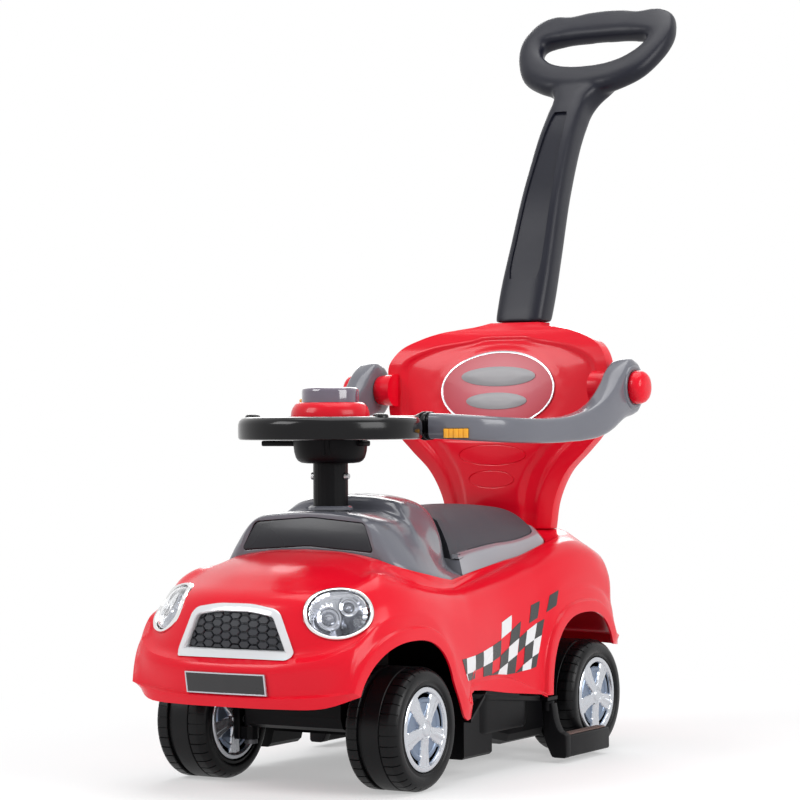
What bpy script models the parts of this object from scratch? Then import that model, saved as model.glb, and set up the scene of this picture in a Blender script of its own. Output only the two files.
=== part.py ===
"""Ride-on push car: moulded body on four wheels, steering, guard ring, backrest and push handle.

Metres, +Z up, +X is the car's own left side, the bonnet faces -Y. The origin lies on the floor
under the middle of the car's outline.
"""

import bpy
import bmesh
from math import cos, pi, radians, sin
from mathutils import Matrix, Vector
from mathutils.bvhtree import BVHTree

# Overall sizes
WHEELBASE = 0.407
BODY_WIDTH = 0.316
FRONT_AXLE_Y = -0.3060
CLEARANCE = 0.0003
SHELL_WALL = 0.0024

# Wheels and axles
TYRE_RADIUS = 0.067
TYRE_WIDTH = 0.0645
RIM_RADIUS = 0.0460
WHEEL_INSET = 0.003
TYRE_SEGMENTS = 24
TREAD_GROOVE_DEPTH = 0.0038
COVER_THICKNESS = 0.0048
COVER_DEPTH = 0.0030
SPOKE_COUNT = 5
AXLE_RADIUS = 0.004
RUNNING_GAP = 0.0005

# Wheel arches, measured from the tyre
ARCH_GAP = 0.0305
ARCH_REACH = 0.0880
REAR_ARCH_REACH = 0.0860
ARCH_EXPONENT = 2.5
ARCH_CENTRE_LIFT = 0.008
FRONT_ARCH_SHIFT = -0.030
REAR_ARCH_SHIFT = -0.034
FLARE_WIDTH = 0.0130
FLARE_STEP = 0.0042
SILL_FRONT_Z = 0.0975

# Recess in the top of the body that takes the cowl and the seat lid
LEDGE_DROP = 0.0100
LEDGE_WIDTH = 0.0085
TRIM_GAP = 0.0007

# Steering
COLUMN_BEHIND_AXLE = 0.055
COLUMN_RADIUS = 0.0195
KINGPIN_X = 0.0720
KINGPIN_RADIUS = 0.0045
STEER_ARM = 0.030
STEERING_RING_RADIUS = 0.1030
STEERING_RING_TUBE = 0.0290
STEERING_RING_BOTTOM = 0.3775
STEERING_RING_HEIGHT = 0.0255
HUB_BOWL_RADIUS = 0.0415
HUB_DOME_RADIUS = 0.0440
HORN_CAP_RADIUS = 0.0318

# Seat, backrest, guard and handle
SEAT_HEIGHT = 0.2990
LID_FRONT_Y = 0.1590
LID_REAR_Y = 0.4290
GUARD_PIVOT_Y = 0.4330
GUARD_PIVOT_Z = 0.4362
GUARD_PIVOT_X = 0.1785
GUARD_BOSS_THICKNESS = 0.0300
GUARD_ARM_THICKNESS = 0.0230
CAP_RADIUS = 0.0200
CAP_DEPTH = 0.0175
GRIP_HALF_WIDTH = 0.1120
GRIP_TILT = 41.0

# Fittings on the nose
LAMP_CENTRE = (0.1066, -0.1002, 0.1971)
LAMP_FACING = (0.58, -0.74, 0.34)
LAMP_HALF_WIDTH = 0.0385
LAMP_HALF_HEIGHT = 0.0285
LAMP_TILT = 8.0
LAMP_SEGMENTS = 24
LAMP_GAP = 0.0004
GRILLE_FOOT = 0.0745
GRILLE_TOP = 0.0520
GRILLE_LOW = 0.1505
GRILLE_HIGH = 0.2000
PLATE_HALF_WIDTH = 0.0505
PLATE_LOW = 0.1115
PLATE_HIGH = 0.1345

# Under the body
TUB_HALF_WIDTH = 0.1185
TUB_FLOOR = 0.0225
TUB_FRONT_FLOOR = 0.0420
TUB_WALL = 0.0030
TUB_REAR = 0.3340
TUB_TOP = 0.0870
BEAM_LOW = 0.0600
BEAM_HIGH = 0.1060
BEAM_BOSS_RADIUS = 0.0078
KNUCKLE_TOP = 0.1170
BEARING_TOP = 0.1360
SHAFT_RADIUS = 0.0100
TIE_PIN_RADIUS = 0.0028
TIE_PIN_PLAY = 0.0014
CARRIER_HALF_WIDTH = 0.0780
FOOTREST_HINGE = (0.1500, 0.2880)
STEP_INNER = 0.1580
STEP_OUTER = 0.1760
STEP_LOW = 0.0060
STEP_HIGH = 0.0320
STEP_LENGTH = 0.1080
LUG_LOW = 0.0726
LUG_HIGH = 0.0766

# Steering wheel's middle
HUB_LOW = 0.3510
HUB_TOP = 0.4190
HORN_TOP = 0.4356
HORN_TRAVEL = 0.0030
BOLT_Z = 0.3365
BOLT_RADIUS = 0.0022
MELODY_RADIUS = 0.0030
MELODY_REACH = 0.0375
STALK_REACH = 0.0880

# Backrest badge, guard release buttons and grip
BADGE_Z = 0.4360
BADGE_HALF_WIDTH = 0.0800
BADGE_HALF_HEIGHT = 0.0480
PIVOT_PIN_RADIUS = 0.0060
BUTTON_LENGTH = 0.0280
BUTTON_HEIGHT = 0.0110
BUTTON_DEPTH = 0.0060
BUTTON_PROUD = 0.0020
BUTTON_Z = 0.3835
GRIP_THICKNESS = 0.0290

HALF_WIDTH = BODY_WIDTH / 2
REAR_AXLE_Y = FRONT_AXLE_Y + WHEELBASE
WHEEL_X = HALF_WIDTH - WHEEL_INSET - TYRE_WIDTH / 2
COLUMN_Y = FRONT_AXLE_Y + COLUMN_BEHIND_AXLE
ARCH_HEIGHT = 2 * TYRE_RADIUS + ARCH_GAP

RED = (0.76, 0.012, 0.022)
GREY = (0.155, 0.165, 0.195)
DARK_GREY = (0.048, 0.050, 0.060)
BLACK = (0.012, 0.012, 0.013)
SILVER = (0.62, 0.64, 0.67)
CHROME = (0.80, 0.80, 0.80)
ORANGE = (0.90, 0.34, 0.02)


def clear_scene():
    for old in list(bpy.data.objects):
        bpy.data.objects.remove(old, do_unlink=True)


def paint(name, colour, roughness, metallic=0.0):
    material = bpy.data.materials.new(name)
    material.use_nodes = True
    shader = material.node_tree.nodes["Principled BSDF"]
    shader.inputs["Base Color"].default_value = (*colour, 1.0)
    shader.inputs["Roughness"].default_value = roughness
    shader.inputs["Metallic"].default_value = metallic
    return material


def add_object(name, bm, colour, roughness=0.3, metallic=0.0, smooth_angle=35):
    """Turn a bmesh into a named, painted object with outward faces."""
    bmesh.ops.recalc_face_normals(bm, faces=bm.faces)
    if all(len(edge.link_faces) == 2 for edge in bm.edges) and bm.calc_volume(signed=True) < 0:
        bmesh.ops.reverse_faces(bm, faces=bm.faces)
    mesh = bpy.data.meshes.new(name)
    bm.to_mesh(mesh)
    bm.free()
    mesh.shade_smooth()
    mesh.set_sharp_from_angle(angle=radians(smooth_angle))
    mesh.materials.append(paint(name + "_finish", colour, roughness, metallic))
    part = bpy.data.objects.new(name, mesh)
    bpy.context.scene.collection.objects.link(part)
    return part


def add_cutter(name, bm):
    cutter = add_object(name, bm, BLACK)
    cutter.hide_render = True
    cutter.display_type = 'WIRE'
    return cutter


def boolean(part, other, operation='DIFFERENCE'):
    step = part.modifiers.new(operation.lower() + "_" + other.name, 'BOOLEAN')
    step.operation = operation
    step.object = other


def grid(bm, rows, close_around=False):
    """Skin a list of equal rows of points and return their vertices."""
    lines = [[bm.verts.new(point) for point in row] for row in rows]
    around = len(lines[0]) if close_around else len(lines[0]) - 1
    for low, high in zip(lines, lines[1:]):
        for i in range(around):
            j = (i + 1) % len(low)
            bm.faces.new((low[i], low[j], high[j], high[i]))
    return lines


def tube_solid(sections):
    """Closed solid through rings of points, with flat ends."""
    bm = bmesh.new()
    lines = grid(bm, sections, close_around=True)
    bm.faces.new(lines[0])
    bm.faces.new(lines[-1])
    return bm


def fan(bm, ring):
    """Close a ring of vertices with triangles to its middle."""
    middle = bm.verts.new(sum((v.co for v in ring), Vector()) / len(ring))
    for a, b in zip(ring, ring[1:] + ring[:1]):
        bm.faces.new((a, b, middle))


def turned(profile, segments, axis='Z', centre=(0, 0, 0)):
    """Revolve a closed profile of (radius, height) points about an axis."""
    bm = bmesh.new()
    rings = []
    for i in range(segments):
        turn = 2 * pi * i / segments
        rings.append([bm.verts.new((r * cos(turn), r * sin(turn), h)) for r, h in profile])
    for i in range(segments):
        here, after = rings[i], rings[(i + 1) % segments]
        for j in range(len(profile)):
            k = (j + 1) % len(profile)
            bm.faces.new((here[j], here[k], after[k], after[j]))
    bmesh.ops.remove_doubles(bm, verts=bm.verts, dist=1e-7)
    bmesh.ops.delete(bm, geom=[edge for edge in bm.edges if not edge.link_faces], context='EDGES')
    place = Matrix.Translation(centre)
    if axis == 'X':
        place = place @ Matrix.Rotation(pi / 2, 4, 'Y')
    if axis == 'Y':
        place = place @ Matrix.Rotation(-pi / 2, 4, 'X')
    bm.transform(place)
    return bm


def rod(radius, start, end, segments=20):
    """Solid cylinder between two points."""
    start, end = Vector(start), Vector(end)
    span = end - start
    bm = bmesh.new()
    bmesh.ops.create_cone(bm, cap_ends=True, segments=segments, radius1=radius,
                          radius2=radius, depth=span.length)
    turn = span.to_track_quat('Z', 'Y').to_matrix().to_4x4()
    bm.transform(Matrix.Translation((start + end) / 2) @ turn)
    return bm


def block(low, high, bevel=0.0, segments=1):
    """Box between two corners with its edges rounded."""
    bm = bmesh.new()
    bmesh.ops.create_cube(bm, size=1.0)
    low, high = ([f(a, b) for a, b in zip(low, high)] for f in (min, max))
    low, high = Vector(low), Vector(high)
    size = high - low
    bm.transform(Matrix.Translation((low + high) / 2) @ Matrix.Diagonal((*size, 1.0)))
    if bevel:
        bmesh.ops.bevel(bm, geom=bm.edges, offset=bevel, segments=segments, affect='EDGES')
    return bm


def prism(outline, depth, place=None):
    """Extrude a flat outline of (u, v) points symmetrically along its normal."""
    bm = bmesh.new()
    back = [bm.verts.new((u, v, -depth / 2)) for u, v in outline]
    front = [bm.verts.new((u, v, depth / 2)) for u, v in outline]
    bm.faces.new(list(reversed(back)))
    bm.faces.new(front)
    for i in range(len(outline)):
        j = (i + 1) % len(outline)
        bm.faces.new((back[i], back[j], front[j], front[i]))
    if place is not None:
        bm.transform(place)
    return bm


def merge(*pieces):
    """Gather bmeshes that don't touch into one."""
    whole = pieces[0]
    for piece in pieces[1:]:
        mesh = bpy.data.meshes.new("piece")
        piece.to_mesh(mesh)
        piece.free()
        whole.from_mesh(mesh)
        bpy.data.meshes.remove(mesh)
    return whole


def spline(points, count):
    """Points evenly spaced along a smooth curve through the given ones, ends included."""
    points = [Vector(p) for p in points]
    if len(points) == 2:
        return [points[0].lerp(points[1], i / count) for i in range(count + 1)]
    ends = [2 * points[0] - points[1]] + points + [2 * points[-1] - points[-2]]
    fine = []
    steps = 16
    for a, b, c, d in zip(ends, ends[1:], ends[2:], ends[3:]):
        for i in range(steps):
            t = i / steps
            fine.append(0.5 * (2 * b + (c - a) * t + (2 * a - 5 * b + 4 * c - d) * t ** 2
                               + (3 * b - a - 3 * c + d) * t ** 3))
    fine.append(points[-1])
    reach = [0.0]
    for a, b in zip(fine, fine[1:]):
        reach.append(reach[-1] + (b - a).length)
    result = []
    k = 0
    for i in range(count + 1):
        goal = reach[-1] * i / count
        while k < len(reach) - 2 and reach[k + 1] < goal:
            k += 1
        span = reach[k + 1] - reach[k]
        result.append(fine[k].lerp(fine[k + 1], (goal - reach[k]) / span if span else 0.0))
    return result


def along(y):
    """Distance behind the front axle, stretched with the wheelbase between the axles."""
    designed = 0.407
    if y <= 0:
        return FRONT_AXLE_Y + y
    if y >= designed:
        return REAR_AXLE_Y + (y - designed)
    return FRONT_AXLE_Y + y * WHEELBASE / designed


def across(x):
    """Distance from the middle, stretched with the body's width."""
    return x * HALF_WIDTH / 0.158


def on_body(points):
    return [Vector((across(x), along(y), z)) for x, y, z in points]


def mirrored(half):
    """Complete a half row that starts and ends on the middle plane."""
    other = [Vector((-p.x, p.y, p.z)) for p in reversed(half[1:-1])]
    return half + other


# Columns of the body's skin, from the middle of the nose round one side to the middle of the tail
NOSE, ARCH, LEG, SILL, REAR_ARCH, TAIL = 5, 9, 3, 3, 8, 4


def arch_curve(rear, offset, inset, count):
    """One guide over a wheel arch: a superellipse grown outward by offset and set in by inset."""
    axle = WHEELBASE if rear else 0.0
    shift = REAR_ARCH_SHIFT if rear else FRONT_ARCH_SHIFT
    reach = (REAR_ARCH_REACH if rear else ARCH_REACH) + offset
    low = TYRE_RADIUS + ARCH_CENTRE_LIFT
    rise = ARCH_HEIGHT - low + offset + (0.005 if rear else 0.0)
    first, last = (179, 27) if rear else (161, 22)
    points = []
    for i in range(count + 1):
        turn = radians(first + (last - first) * i / count)
        y = shift + reach * (1 if cos(turn) > 0 else -1) * abs(cos(turn)) ** (2 / ARCH_EXPONENT)
        z = low + rise * sin(turn) ** (2 / ARCH_EXPONENT)
        if rear:
            x = 0.1580 - 0.004 * max(0.0, (y - shift) / reach) ** 2
        else:
            x = 0.1580 - 0.0180 * max(0.0, (shift - y) / reach) ** 2.6
        points.append(Vector((across(x - inset), FRONT_AXLE_Y + axle + y, z)))
    return points


def skin_row(nose, front, leg, sill, rear, tail):
    """One row of the skin: smooth guides for each stretch, joined end to end."""
    row = spline(on_body(nose), NOSE)
    for guide, count in ((front, ARCH), (leg, LEG), (sill, SILL), (rear, REAR_ARCH), (tail, TAIL)):
        row += spline(on_body(guide), count)[1:]
    return row


def lip_row(offset, inset, nose, leg, sill, tail):
    """A row that follows both wheel arches at a set distance from their lips."""
    front = arch_curve(False, offset, inset, ARCH)
    rear = arch_curve(True, offset, inset, REAR_ARCH)
    nose_line = spline(on_body(nose) + front[:1], NOSE)
    leg_line = spline(front[-1:] + on_body(leg), LEG)
    sill_line = spline(leg_line[-1:] + on_body(sill) + rear[:1], SILL)
    tail_line = spline(rear[-1:] + on_body(tail), TAIL)
    row = nose_line
    for line in (front, leg_line, sill_line, rear, tail_line):
        row = row + line[1:]
    return row


def lip_rows():
    """The three lowest rows: the lower edge, the crest of the raised flange and its foot."""
    edge = lip_row(0.0, 0.0,
                   nose=[(0, -0.1525, 0.098), (0.060, -0.150, 0.0982), (0.110, -0.1385, 0.100)],
                   leg=[(0.1560, 0.0690, 0.0935), (0.1550, 0.0840, 0.0700),
                        (0.1530, 0.0990, 0.0690)],
                   sill=[(0.1475, 0.1090, SILL_FRONT_Z), (0.1500, 0.200, 0.0880)],
                   tail=[(0.1460, 0.479, 0.1225), (0.120, 0.503, 0.1215), (0.070, 0.515, 0.1215),
                         (0, 0.519, 0.1215)])
    crest = lip_row(FLARE_WIDTH, 0.0,
                    nose=[(0, -0.1565, 0.1085), (0.060, -0.1535, 0.109),
                          (0.108, -0.1415, 0.112)],
                    leg=[(0.1570, 0.0820, 0.0990), (0.1560, 0.0955, 0.0850),
                         (0.1535, 0.1040, 0.0860)],
                    sill=[(0.1480, 0.1130, 0.1040), (0.1470, 0.200, 0.1040)],
                    tail=[(0.1460, 0.483, 0.1350), (0.120, 0.506, 0.1340), (0.070, 0.518, 0.1340),
                          (0, 0.522, 0.1340)])
    step = FLARE_STEP
    foot = lip_row(FLARE_WIDTH + 0.0020, step,
                   nose=[(0, step - 0.1565, 0.1110), (0.060, step - 0.1535, 0.1115),
                         (0.107, step - 0.1415, 0.1145)],
                   leg=[(0.1570 - step, 0.0840, 0.1010), (0.1560 - step, 0.0965, 0.0880),
                        (0.1535 - step, 0.1050, 0.0890)],
                   sill=[(0.1450, 0.1140, 0.1070), (0.1430, 0.200, 0.1070)],
                   tail=[(0.1425, 0.482, 0.1375), (0.118, 0.503, 0.1370), (0.068, 0.514, 0.1370),
                         (0, 0.518, 0.1370)])
    return [edge, crest, foot]


def body_rows():
    """Rows of the outer skin, from the lower edge up to the rim of the recess."""
    lip = skin_row(
        nose=[(0, -0.1550, 0.1435), (0.060, -0.1515, 0.1450), (0.106, -0.1395, 0.1505),
              (0.1345, -0.1190, 0.1620)],
        front=[(0.1345, -0.1190, 0.1620), (0.1475, -0.0830, 0.1860), (0.1530, -0.0350, 0.1930),
               (0.1530, 0.0200, 0.1850), (0.1505, 0.0700, 0.1550)],
        leg=[(0.1505, 0.0700, 0.1550), (0.1480, 0.1150, 0.1350)],
        sill=[(0.1480, 0.1150, 0.1350), (0.1440, 0.2000, 0.1300), (0.1480, 0.2650, 0.1450)],
        rear=[(0.1480, 0.2650, 0.1450), (0.1515, 0.3080, 0.1850), (0.1525, 0.3730, 0.1980),
              (0.1510, 0.4250, 0.1900), (0.1485, 0.4600, 0.1680)],
        tail=[(0.1485, 0.4600, 0.1680), (0.1270, 0.4920, 0.1650), (0.0750, 0.5100, 0.1650),
              (0, 0.5155, 0.1650)])
    crease = skin_row(
        nose=[(0, -0.1430, 0.1490), (0.060, -0.1395, 0.1505), (0.103, -0.1275, 0.1560),
              (0.1310, -0.1080, 0.1675)],
        front=[(0.1310, -0.1080, 0.1675), (0.1455, -0.0780, 0.1890), (0.1520, -0.0340, 0.1960),
               (0.1522, 0.0200, 0.1890), (0.1500, 0.0720, 0.1620)],
        leg=[(0.1500, 0.0720, 0.1620), (0.1478, 0.1170, 0.1440)],
        sill=[(0.1478, 0.1170, 0.1440), (0.1440, 0.2000, 0.1390), (0.1478, 0.2640, 0.1530)],
        rear=[(0.1478, 0.2640, 0.1530), (0.1508, 0.3090, 0.1900), (0.1515, 0.3730, 0.2010),
              (0.1500, 0.4240, 0.1940), (0.1478, 0.4580, 0.1750)],
        tail=[(0.1478, 0.4580, 0.1750), (0.1265, 0.4900, 0.1730), (0.0745, 0.5085, 0.1730),
              (0, 0.5140, 0.1730)])
    face = skin_row(
        nose=[(0, -0.1405, 0.1790), (0.050, -0.1370, 0.1795), (0.092, -0.1230, 0.1820),
              (0.1230, -0.0960, 0.1880)],
        front=[(0.1230, -0.0960, 0.1880), (0.1385, -0.0660, 0.2020), (0.1465, -0.0250, 0.2080),
               (0.1480, 0.0250, 0.2010), (0.1465, 0.0750, 0.1870)],
        leg=[(0.1465, 0.0750, 0.1870), (0.1450, 0.1170, 0.1780)],
        sill=[(0.1450, 0.1170, 0.1780), (0.1420, 0.2000, 0.1780), (0.1450, 0.2700, 0.1890)],
        rear=[(0.1450, 0.2700, 0.1890), (0.1480, 0.3200, 0.2120), (0.1495, 0.3730, 0.2220),
              (0.1490, 0.4200, 0.2190), (0.1465, 0.4560, 0.2070)],
        tail=[(0.1465, 0.4560, 0.2070), (0.1240, 0.4860, 0.2080), (0.0730, 0.5040, 0.2090),
              (0, 0.5095, 0.2100)])
    brow = skin_row(
        nose=[(0, -0.1325, 0.2070), (0.045, -0.1290, 0.2070), (0.080, -0.1150, 0.2095),
              (0.1110, -0.0830, 0.2150)],
        front=[(0.1110, -0.0830, 0.2150), (0.1280, -0.0550, 0.2240), (0.1385, -0.0150, 0.2205),
               (0.1400, 0.0300, 0.2125), (0.1380, 0.0800, 0.2040)],
        leg=[(0.1380, 0.0800, 0.2040), (0.1350, 0.1200, 0.2020)],
        sill=[(0.1350, 0.1200, 0.2020), (0.1320, 0.2000, 0.2110), (0.1350, 0.2750, 0.2250)],
        rear=[(0.1350, 0.2750, 0.2250), (0.1400, 0.3250, 0.2370), (0.1425, 0.3730, 0.2430),
              (0.1425, 0.4150, 0.2400), (0.1395, 0.4480, 0.2310)],
        tail=[(0.1395, 0.4480, 0.2310), (0.1170, 0.4760, 0.2330), (0.0740, 0.4970, 0.2390),
              (0, 0.5050, 0.2420)])
    crown = skin_row(
        nose=[(0, -0.0980, 0.2265), (0.040, -0.0940, 0.2265), (0.072, -0.0800, 0.2270),
              (0.1020, -0.0560, 0.2300)],
        front=[(0.1020, -0.0560, 0.2300), (0.1180, -0.0400, 0.2345), (0.1310, -0.0050, 0.2255),
               (0.1320, 0.0400, 0.2165), (0.1290, 0.0850, 0.2110)],
        leg=[(0.1290, 0.0850, 0.2110), (0.1255, 0.1200, 0.2095)],
        sill=[(0.1255, 0.1200, 0.2095), (0.1180, 0.2000, 0.2190), (0.1180, 0.2800, 0.2330)],
        rear=[(0.1180, 0.2800, 0.2330), (0.1240, 0.3300, 0.2460), (0.1270, 0.3730, 0.2530),
              (0.1260, 0.4120, 0.2520), (0.1200, 0.4460, 0.2450)],
        tail=[(0.1200, 0.4460, 0.2450), (0.0970, 0.4720, 0.2490), (0.0620, 0.4905, 0.2560),
              (0, 0.4970, 0.2600)])
    return lip_rows() + [lip, crease, face, brow, crown, bonnet_row(), rim_row()]


def bonnet_row():
    """Row halfway up the bonnet; along the sides, the foot of the low wall round the recess."""
    return skin_row(
        nose=[(0, -0.0480, 0.2440), (0.040, -0.0470, 0.2430), (0.068, -0.0420, 0.2410),
              (0.0950, -0.0300, 0.2390)],
        front=[(0.0950, -0.0300, 0.2390), (0.1110, -0.0130, 0.2370), (0.1275, 0.0150, 0.2245),
               (0.1295, 0.0450, 0.2180), (0.1265, 0.0870, 0.2125)],
        leg=[(0.1265, 0.0870, 0.2125), (0.1220, 0.1210, 0.2105)],
        sill=[(0.1220, 0.1210, 0.2105), (0.1110, 0.2000, 0.2200), (0.1075, 0.2800, 0.2330)],
        rear=[(0.1075, 0.2800, 0.2330), (0.1085, 0.3300, 0.2450), (0.1080, 0.3730, 0.2530),
              (0.1030, 0.4100, 0.2570), (0.0940, 0.4420, 0.2580)],
        tail=[(0.0940, 0.4420, 0.2580), (0.0800, 0.4650, 0.2615), (0.0520, 0.4850, 0.2635),
              (0, 0.4890, 0.2635)])


def rim_row():
    """Edge of the recess that holds the cowl in front and the seat lid behind."""
    return skin_row(
        nose=[(0, 0.0035, 0.2575), (0.040, 0.0040, 0.2560), (0.070, 0.0045, 0.2525),
              (0.0923, 0.0040, 0.2480)],
        front=[(0.0923, 0.0040, 0.2480), (0.1090, 0.0110, 0.2415), (0.1215, 0.0300, 0.2350),
               (0.1250, 0.0550, 0.2300), (0.1225, 0.0880, 0.2245)],
        leg=[(0.1225, 0.0880, 0.2245), (0.1170, 0.1210, 0.2205)],
        sill=[(0.1170, 0.1210, 0.2205), (0.1035, 0.2000, 0.2265), (0.0985, 0.2800, 0.2345)],
        rear=[(0.0985, 0.2800, 0.2345), (0.0960, 0.3300, 0.2380), (0.0925, 0.3730, 0.2440),
              (0.0870, 0.4020, 0.2500), (0.0740, 0.4190, 0.2560)],
        tail=[(0.0740, 0.4190, 0.2560), (0.0560, 0.4260, 0.2600), (0.0300, 0.4290, 0.2625),
              (0, 0.4300, 0.2635)])


def ledge_rows(rim):
    """Wall down from the rim of the recess and the ledge at its foot."""
    wall = [Vector((p.x, p.y, p.z - LEDGE_DROP)) for p in rim]
    ledge = []
    for i, p in enumerate(wall):
        before, after = wall[max(i - 1, 0)], wall[min(i + 1, len(wall) - 1)]
        run = Vector((after.x - before.x, after.y - before.y, 0)).normalized()
        ledge.append(p + Vector((-run.y, run.x, 0)) * LEDGE_WIDTH)
    ledge[0].x = 0
    ledge[-1].x = 0
    return wall, ledge


def at(x, y, z):
    """Point of a fitting that stays with the body when its sizes change."""
    return Vector((across(x), along(y), z))


def outer_skin():
    """Outside of the body as an open sheet, with the wall and ledge of the recess."""
    rows = body_rows()
    wall, ledge = ledge_rows(rows[-1])
    bm = bmesh.new()
    grid(bm, [mirrored(row) for row in rows + [wall, ledge]], close_around=True)
    bmesh.ops.recalc_face_normals(bm, faces=bm.faces)
    return bm


def rim_at(y):
    """Half width and height of the recess rim beside a point behind the front axle."""
    rim = [p for p in rim_row() if p.x > 0.03]
    goal = along(y)
    for a, b in zip(rim, rim[1:]):
        if a.y <= goal <= b.y and b.y > a.y:
            t = (goal - a.y) / (b.y - a.y)
            return a.x + (b.x - a.x) * t, a.z + (b.z - a.z) * t
    return rim[-1].x, rim[-1].z


def offset_outline(outline, grow):
    """Move each point of a closed flat outline outward by grow."""
    result = []
    count = len(outline)
    for i in range(count):
        before, here, after = (Vector(outline[(i + k) % count]) for k in (-1, 0, 1))
        one = (here - before).normalized()
        two = (after - here).normalized()
        normal = Vector((one.y + two.y, -one.x - two.x)).normalized()
        result.append(here + normal * grow / max(0.5, normal.dot(Vector((one.y, -one.x)))))
    return result


def rounded_outline(corners, radius, steps=4):
    """Closed outline, counterclockwise, with every corner rounded."""
    outline = []
    count = len(corners)
    for i in range(count):
        before, here, after = (Vector(corners[(i + k) % count]) for k in (-1, 0, 1))
        r = radius[i] if isinstance(radius, (list, tuple)) else radius
        one, two = (before - here).normalized(), (after - here).normalized()
        half = one.angle(two) / 2
        middle = here + (one + two).normalized() * (r / sin(half))
        start = here + one * (r / (sin(half) / cos(half)))
        turn = (pi - 2 * half) * (1 if one.x * two.y - one.y * two.x < 0 else -1)
        arm = start - middle
        for k in range(steps + 1):
            a = turn * k / steps
            outline.append(middle + Vector((arm.x * cos(a) - arm.y * sin(a),
                                            arm.x * sin(a) + arm.y * cos(a))))
    return outline


def onto_skin(tree, point, direction):
    """Where a line through the point meets the outside of the body."""
    hit = tree.ray_cast(point - direction * 0.3, direction)[0]
    return hit if hit is not None else Vector(point)


def ring_solid(rings):
    """Closed annular solid through a loop of rings."""
    bm = bmesh.new()
    lines = grid(bm, rings, close_around=True)
    first, last = lines[0], lines[-1]
    for i in range(len(first)):
        j = (i + 1) % len(first)
        bm.faces.new((last[i], last[j], first[j], first[i]))
    return bm


def body_shell(skin, lamps, grille):
    shell = add_object("body_shell", skin, RED, roughness=0.12, smooth_angle=30)
    wall_step = shell.modifiers.new("wall", 'SOLIDIFY')
    wall_step.thickness = SHELL_WALL
    wall_step.offset = -1
    for side, lamp in lamps.items():
        boolean(shell, add_cutter("lamp_hole_" + side, tube_solid(
            [lamp.ring(LAMP_GAP, -0.020, flat=True), lamp.ring(LAMP_GAP, 0.030, flat=True)])))
    outline = offset_outline(grille.outline, CLEARANCE)
    boolean(shell, add_cutter("grille_hole", tube_solid(
        [[Vector((u, grille.face - 0.03, v)) for u, v in outline],
         [Vector((u, grille.face + 0.05, v)) for u, v in outline]])))
    return shell


class Lamp:
    """One headlight's oval, laid on the curved corner of the nose."""

    def __init__(self, tree, side):
        self.tree = tree
        self.side = side
        self.out = Vector((side * LAMP_FACING[0], LAMP_FACING[1], LAMP_FACING[2])).normalized()
        self.across = Vector((0, 0, 1)).cross(self.out).normalized()
        self.up = self.out.cross(self.across)
        self.centre = onto_skin(tree, at(side * LAMP_CENTRE[0], LAMP_CENTRE[1], LAMP_CENTRE[2]),
                                -self.out)

    def ring(self, grow, lift, flat=False, shrink=1.0):
        points = []
        for i in range(LAMP_SEGMENTS):
            turn = 2 * pi * i / LAMP_SEGMENTS
            u = (LAMP_HALF_WIDTH * shrink + grow) * cos(turn)
            v = (LAMP_HALF_HEIGHT * shrink + grow) * sin(turn)
            tilt = radians(LAMP_TILT) * self.side
            p = (self.centre + self.across * (u * cos(tilt) - v * sin(tilt))
                 + self.up * (u * sin(tilt) + v * cos(tilt)))
            if not flat:
                p = onto_skin(self.tree, p, -self.out)
            points.append(p + self.out * lift)
        return points


def headlight(lamp, name):
    bezel = ring_solid([lamp.ring(0, -0.0080), lamp.ring(0, 0.0012), lamp.ring(-0.0018, 0.0026),
                        lamp.ring(-0.0042, 0.0014), lamp.ring(-0.0050, -0.0080)])
    add_object("headlight_bezel_" + name, bezel, SILVER, roughness=0.15, metallic=0.8)
    lens_sections = [lamp.ring(-0.0054, -0.0030), lamp.ring(-0.0054, -0.0008),
                     lamp.ring(0, 0.0028, shrink=0.62), lamp.ring(0, 0.0042, shrink=0.25)]
    inside = [lamp.ring(0, 0.0022, shrink=0.25), lamp.ring(0, 0.0008, shrink=0.62)]
    lens = bmesh.new()
    lines = grid(lens, inside + lens_sections, close_around=True)
    lens.faces.new(lines[0])
    lens.faces.new(lines[-1])
    add_object("headlight_lens_" + name, lens, (0.85, 0.87, 0.88), roughness=0.05)
    bowl = bmesh.new()
    lines = grid(bowl, [lamp.ring(0, -0.0190, shrink=0.30), lamp.ring(0, -0.0130, shrink=0.62),
                        lamp.ring(-0.0056, -0.0048), lamp.ring(-0.0056, -0.0036),
                        lamp.ring(-0.0072, -0.0036), lamp.ring(0, -0.0112, shrink=0.60),
                        lamp.ring(0, -0.0170, shrink=0.28)], close_around=True)
    bowl.faces.new(lines[0])
    bowl.faces.new(lines[-1])
    add_object("headlight_reflector_" + name, bowl, CHROME, roughness=0.12, metallic=1.0)


class Grille:
    """Rounded trapezoid of the grille, projected onto the nose."""

    def __init__(self, tree):
        self.tree = tree
        self.face = along(-0.139)
        corners = [(-GRILLE_FOOT, GRILLE_LOW), (GRILLE_FOOT, GRILLE_LOW),
                   (GRILLE_TOP, GRILLE_HIGH), (0, GRILLE_HIGH + 0.0055), (-GRILLE_TOP, GRILLE_HIGH)]
        corners = [(across(u), v) for u, v in corners]
        self.outline = rounded_outline(corners, [0.0055, 0.0055, 0.0130, 0.060, 0.0130])

    def ring(self, grow, lift, shrink=1.0):
        points = []
        middle = (GRILLE_LOW + GRILLE_HIGH) / 2
        for u, v in offset_outline(self.outline, grow):
            u, v = u * shrink, middle + (v - middle) * shrink
            p = onto_skin(self.tree, Vector((u, self.face, v)), Vector((0, 1, 0)))
            points.append(p + Vector((0, -lift, 0)))
        return points


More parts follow.
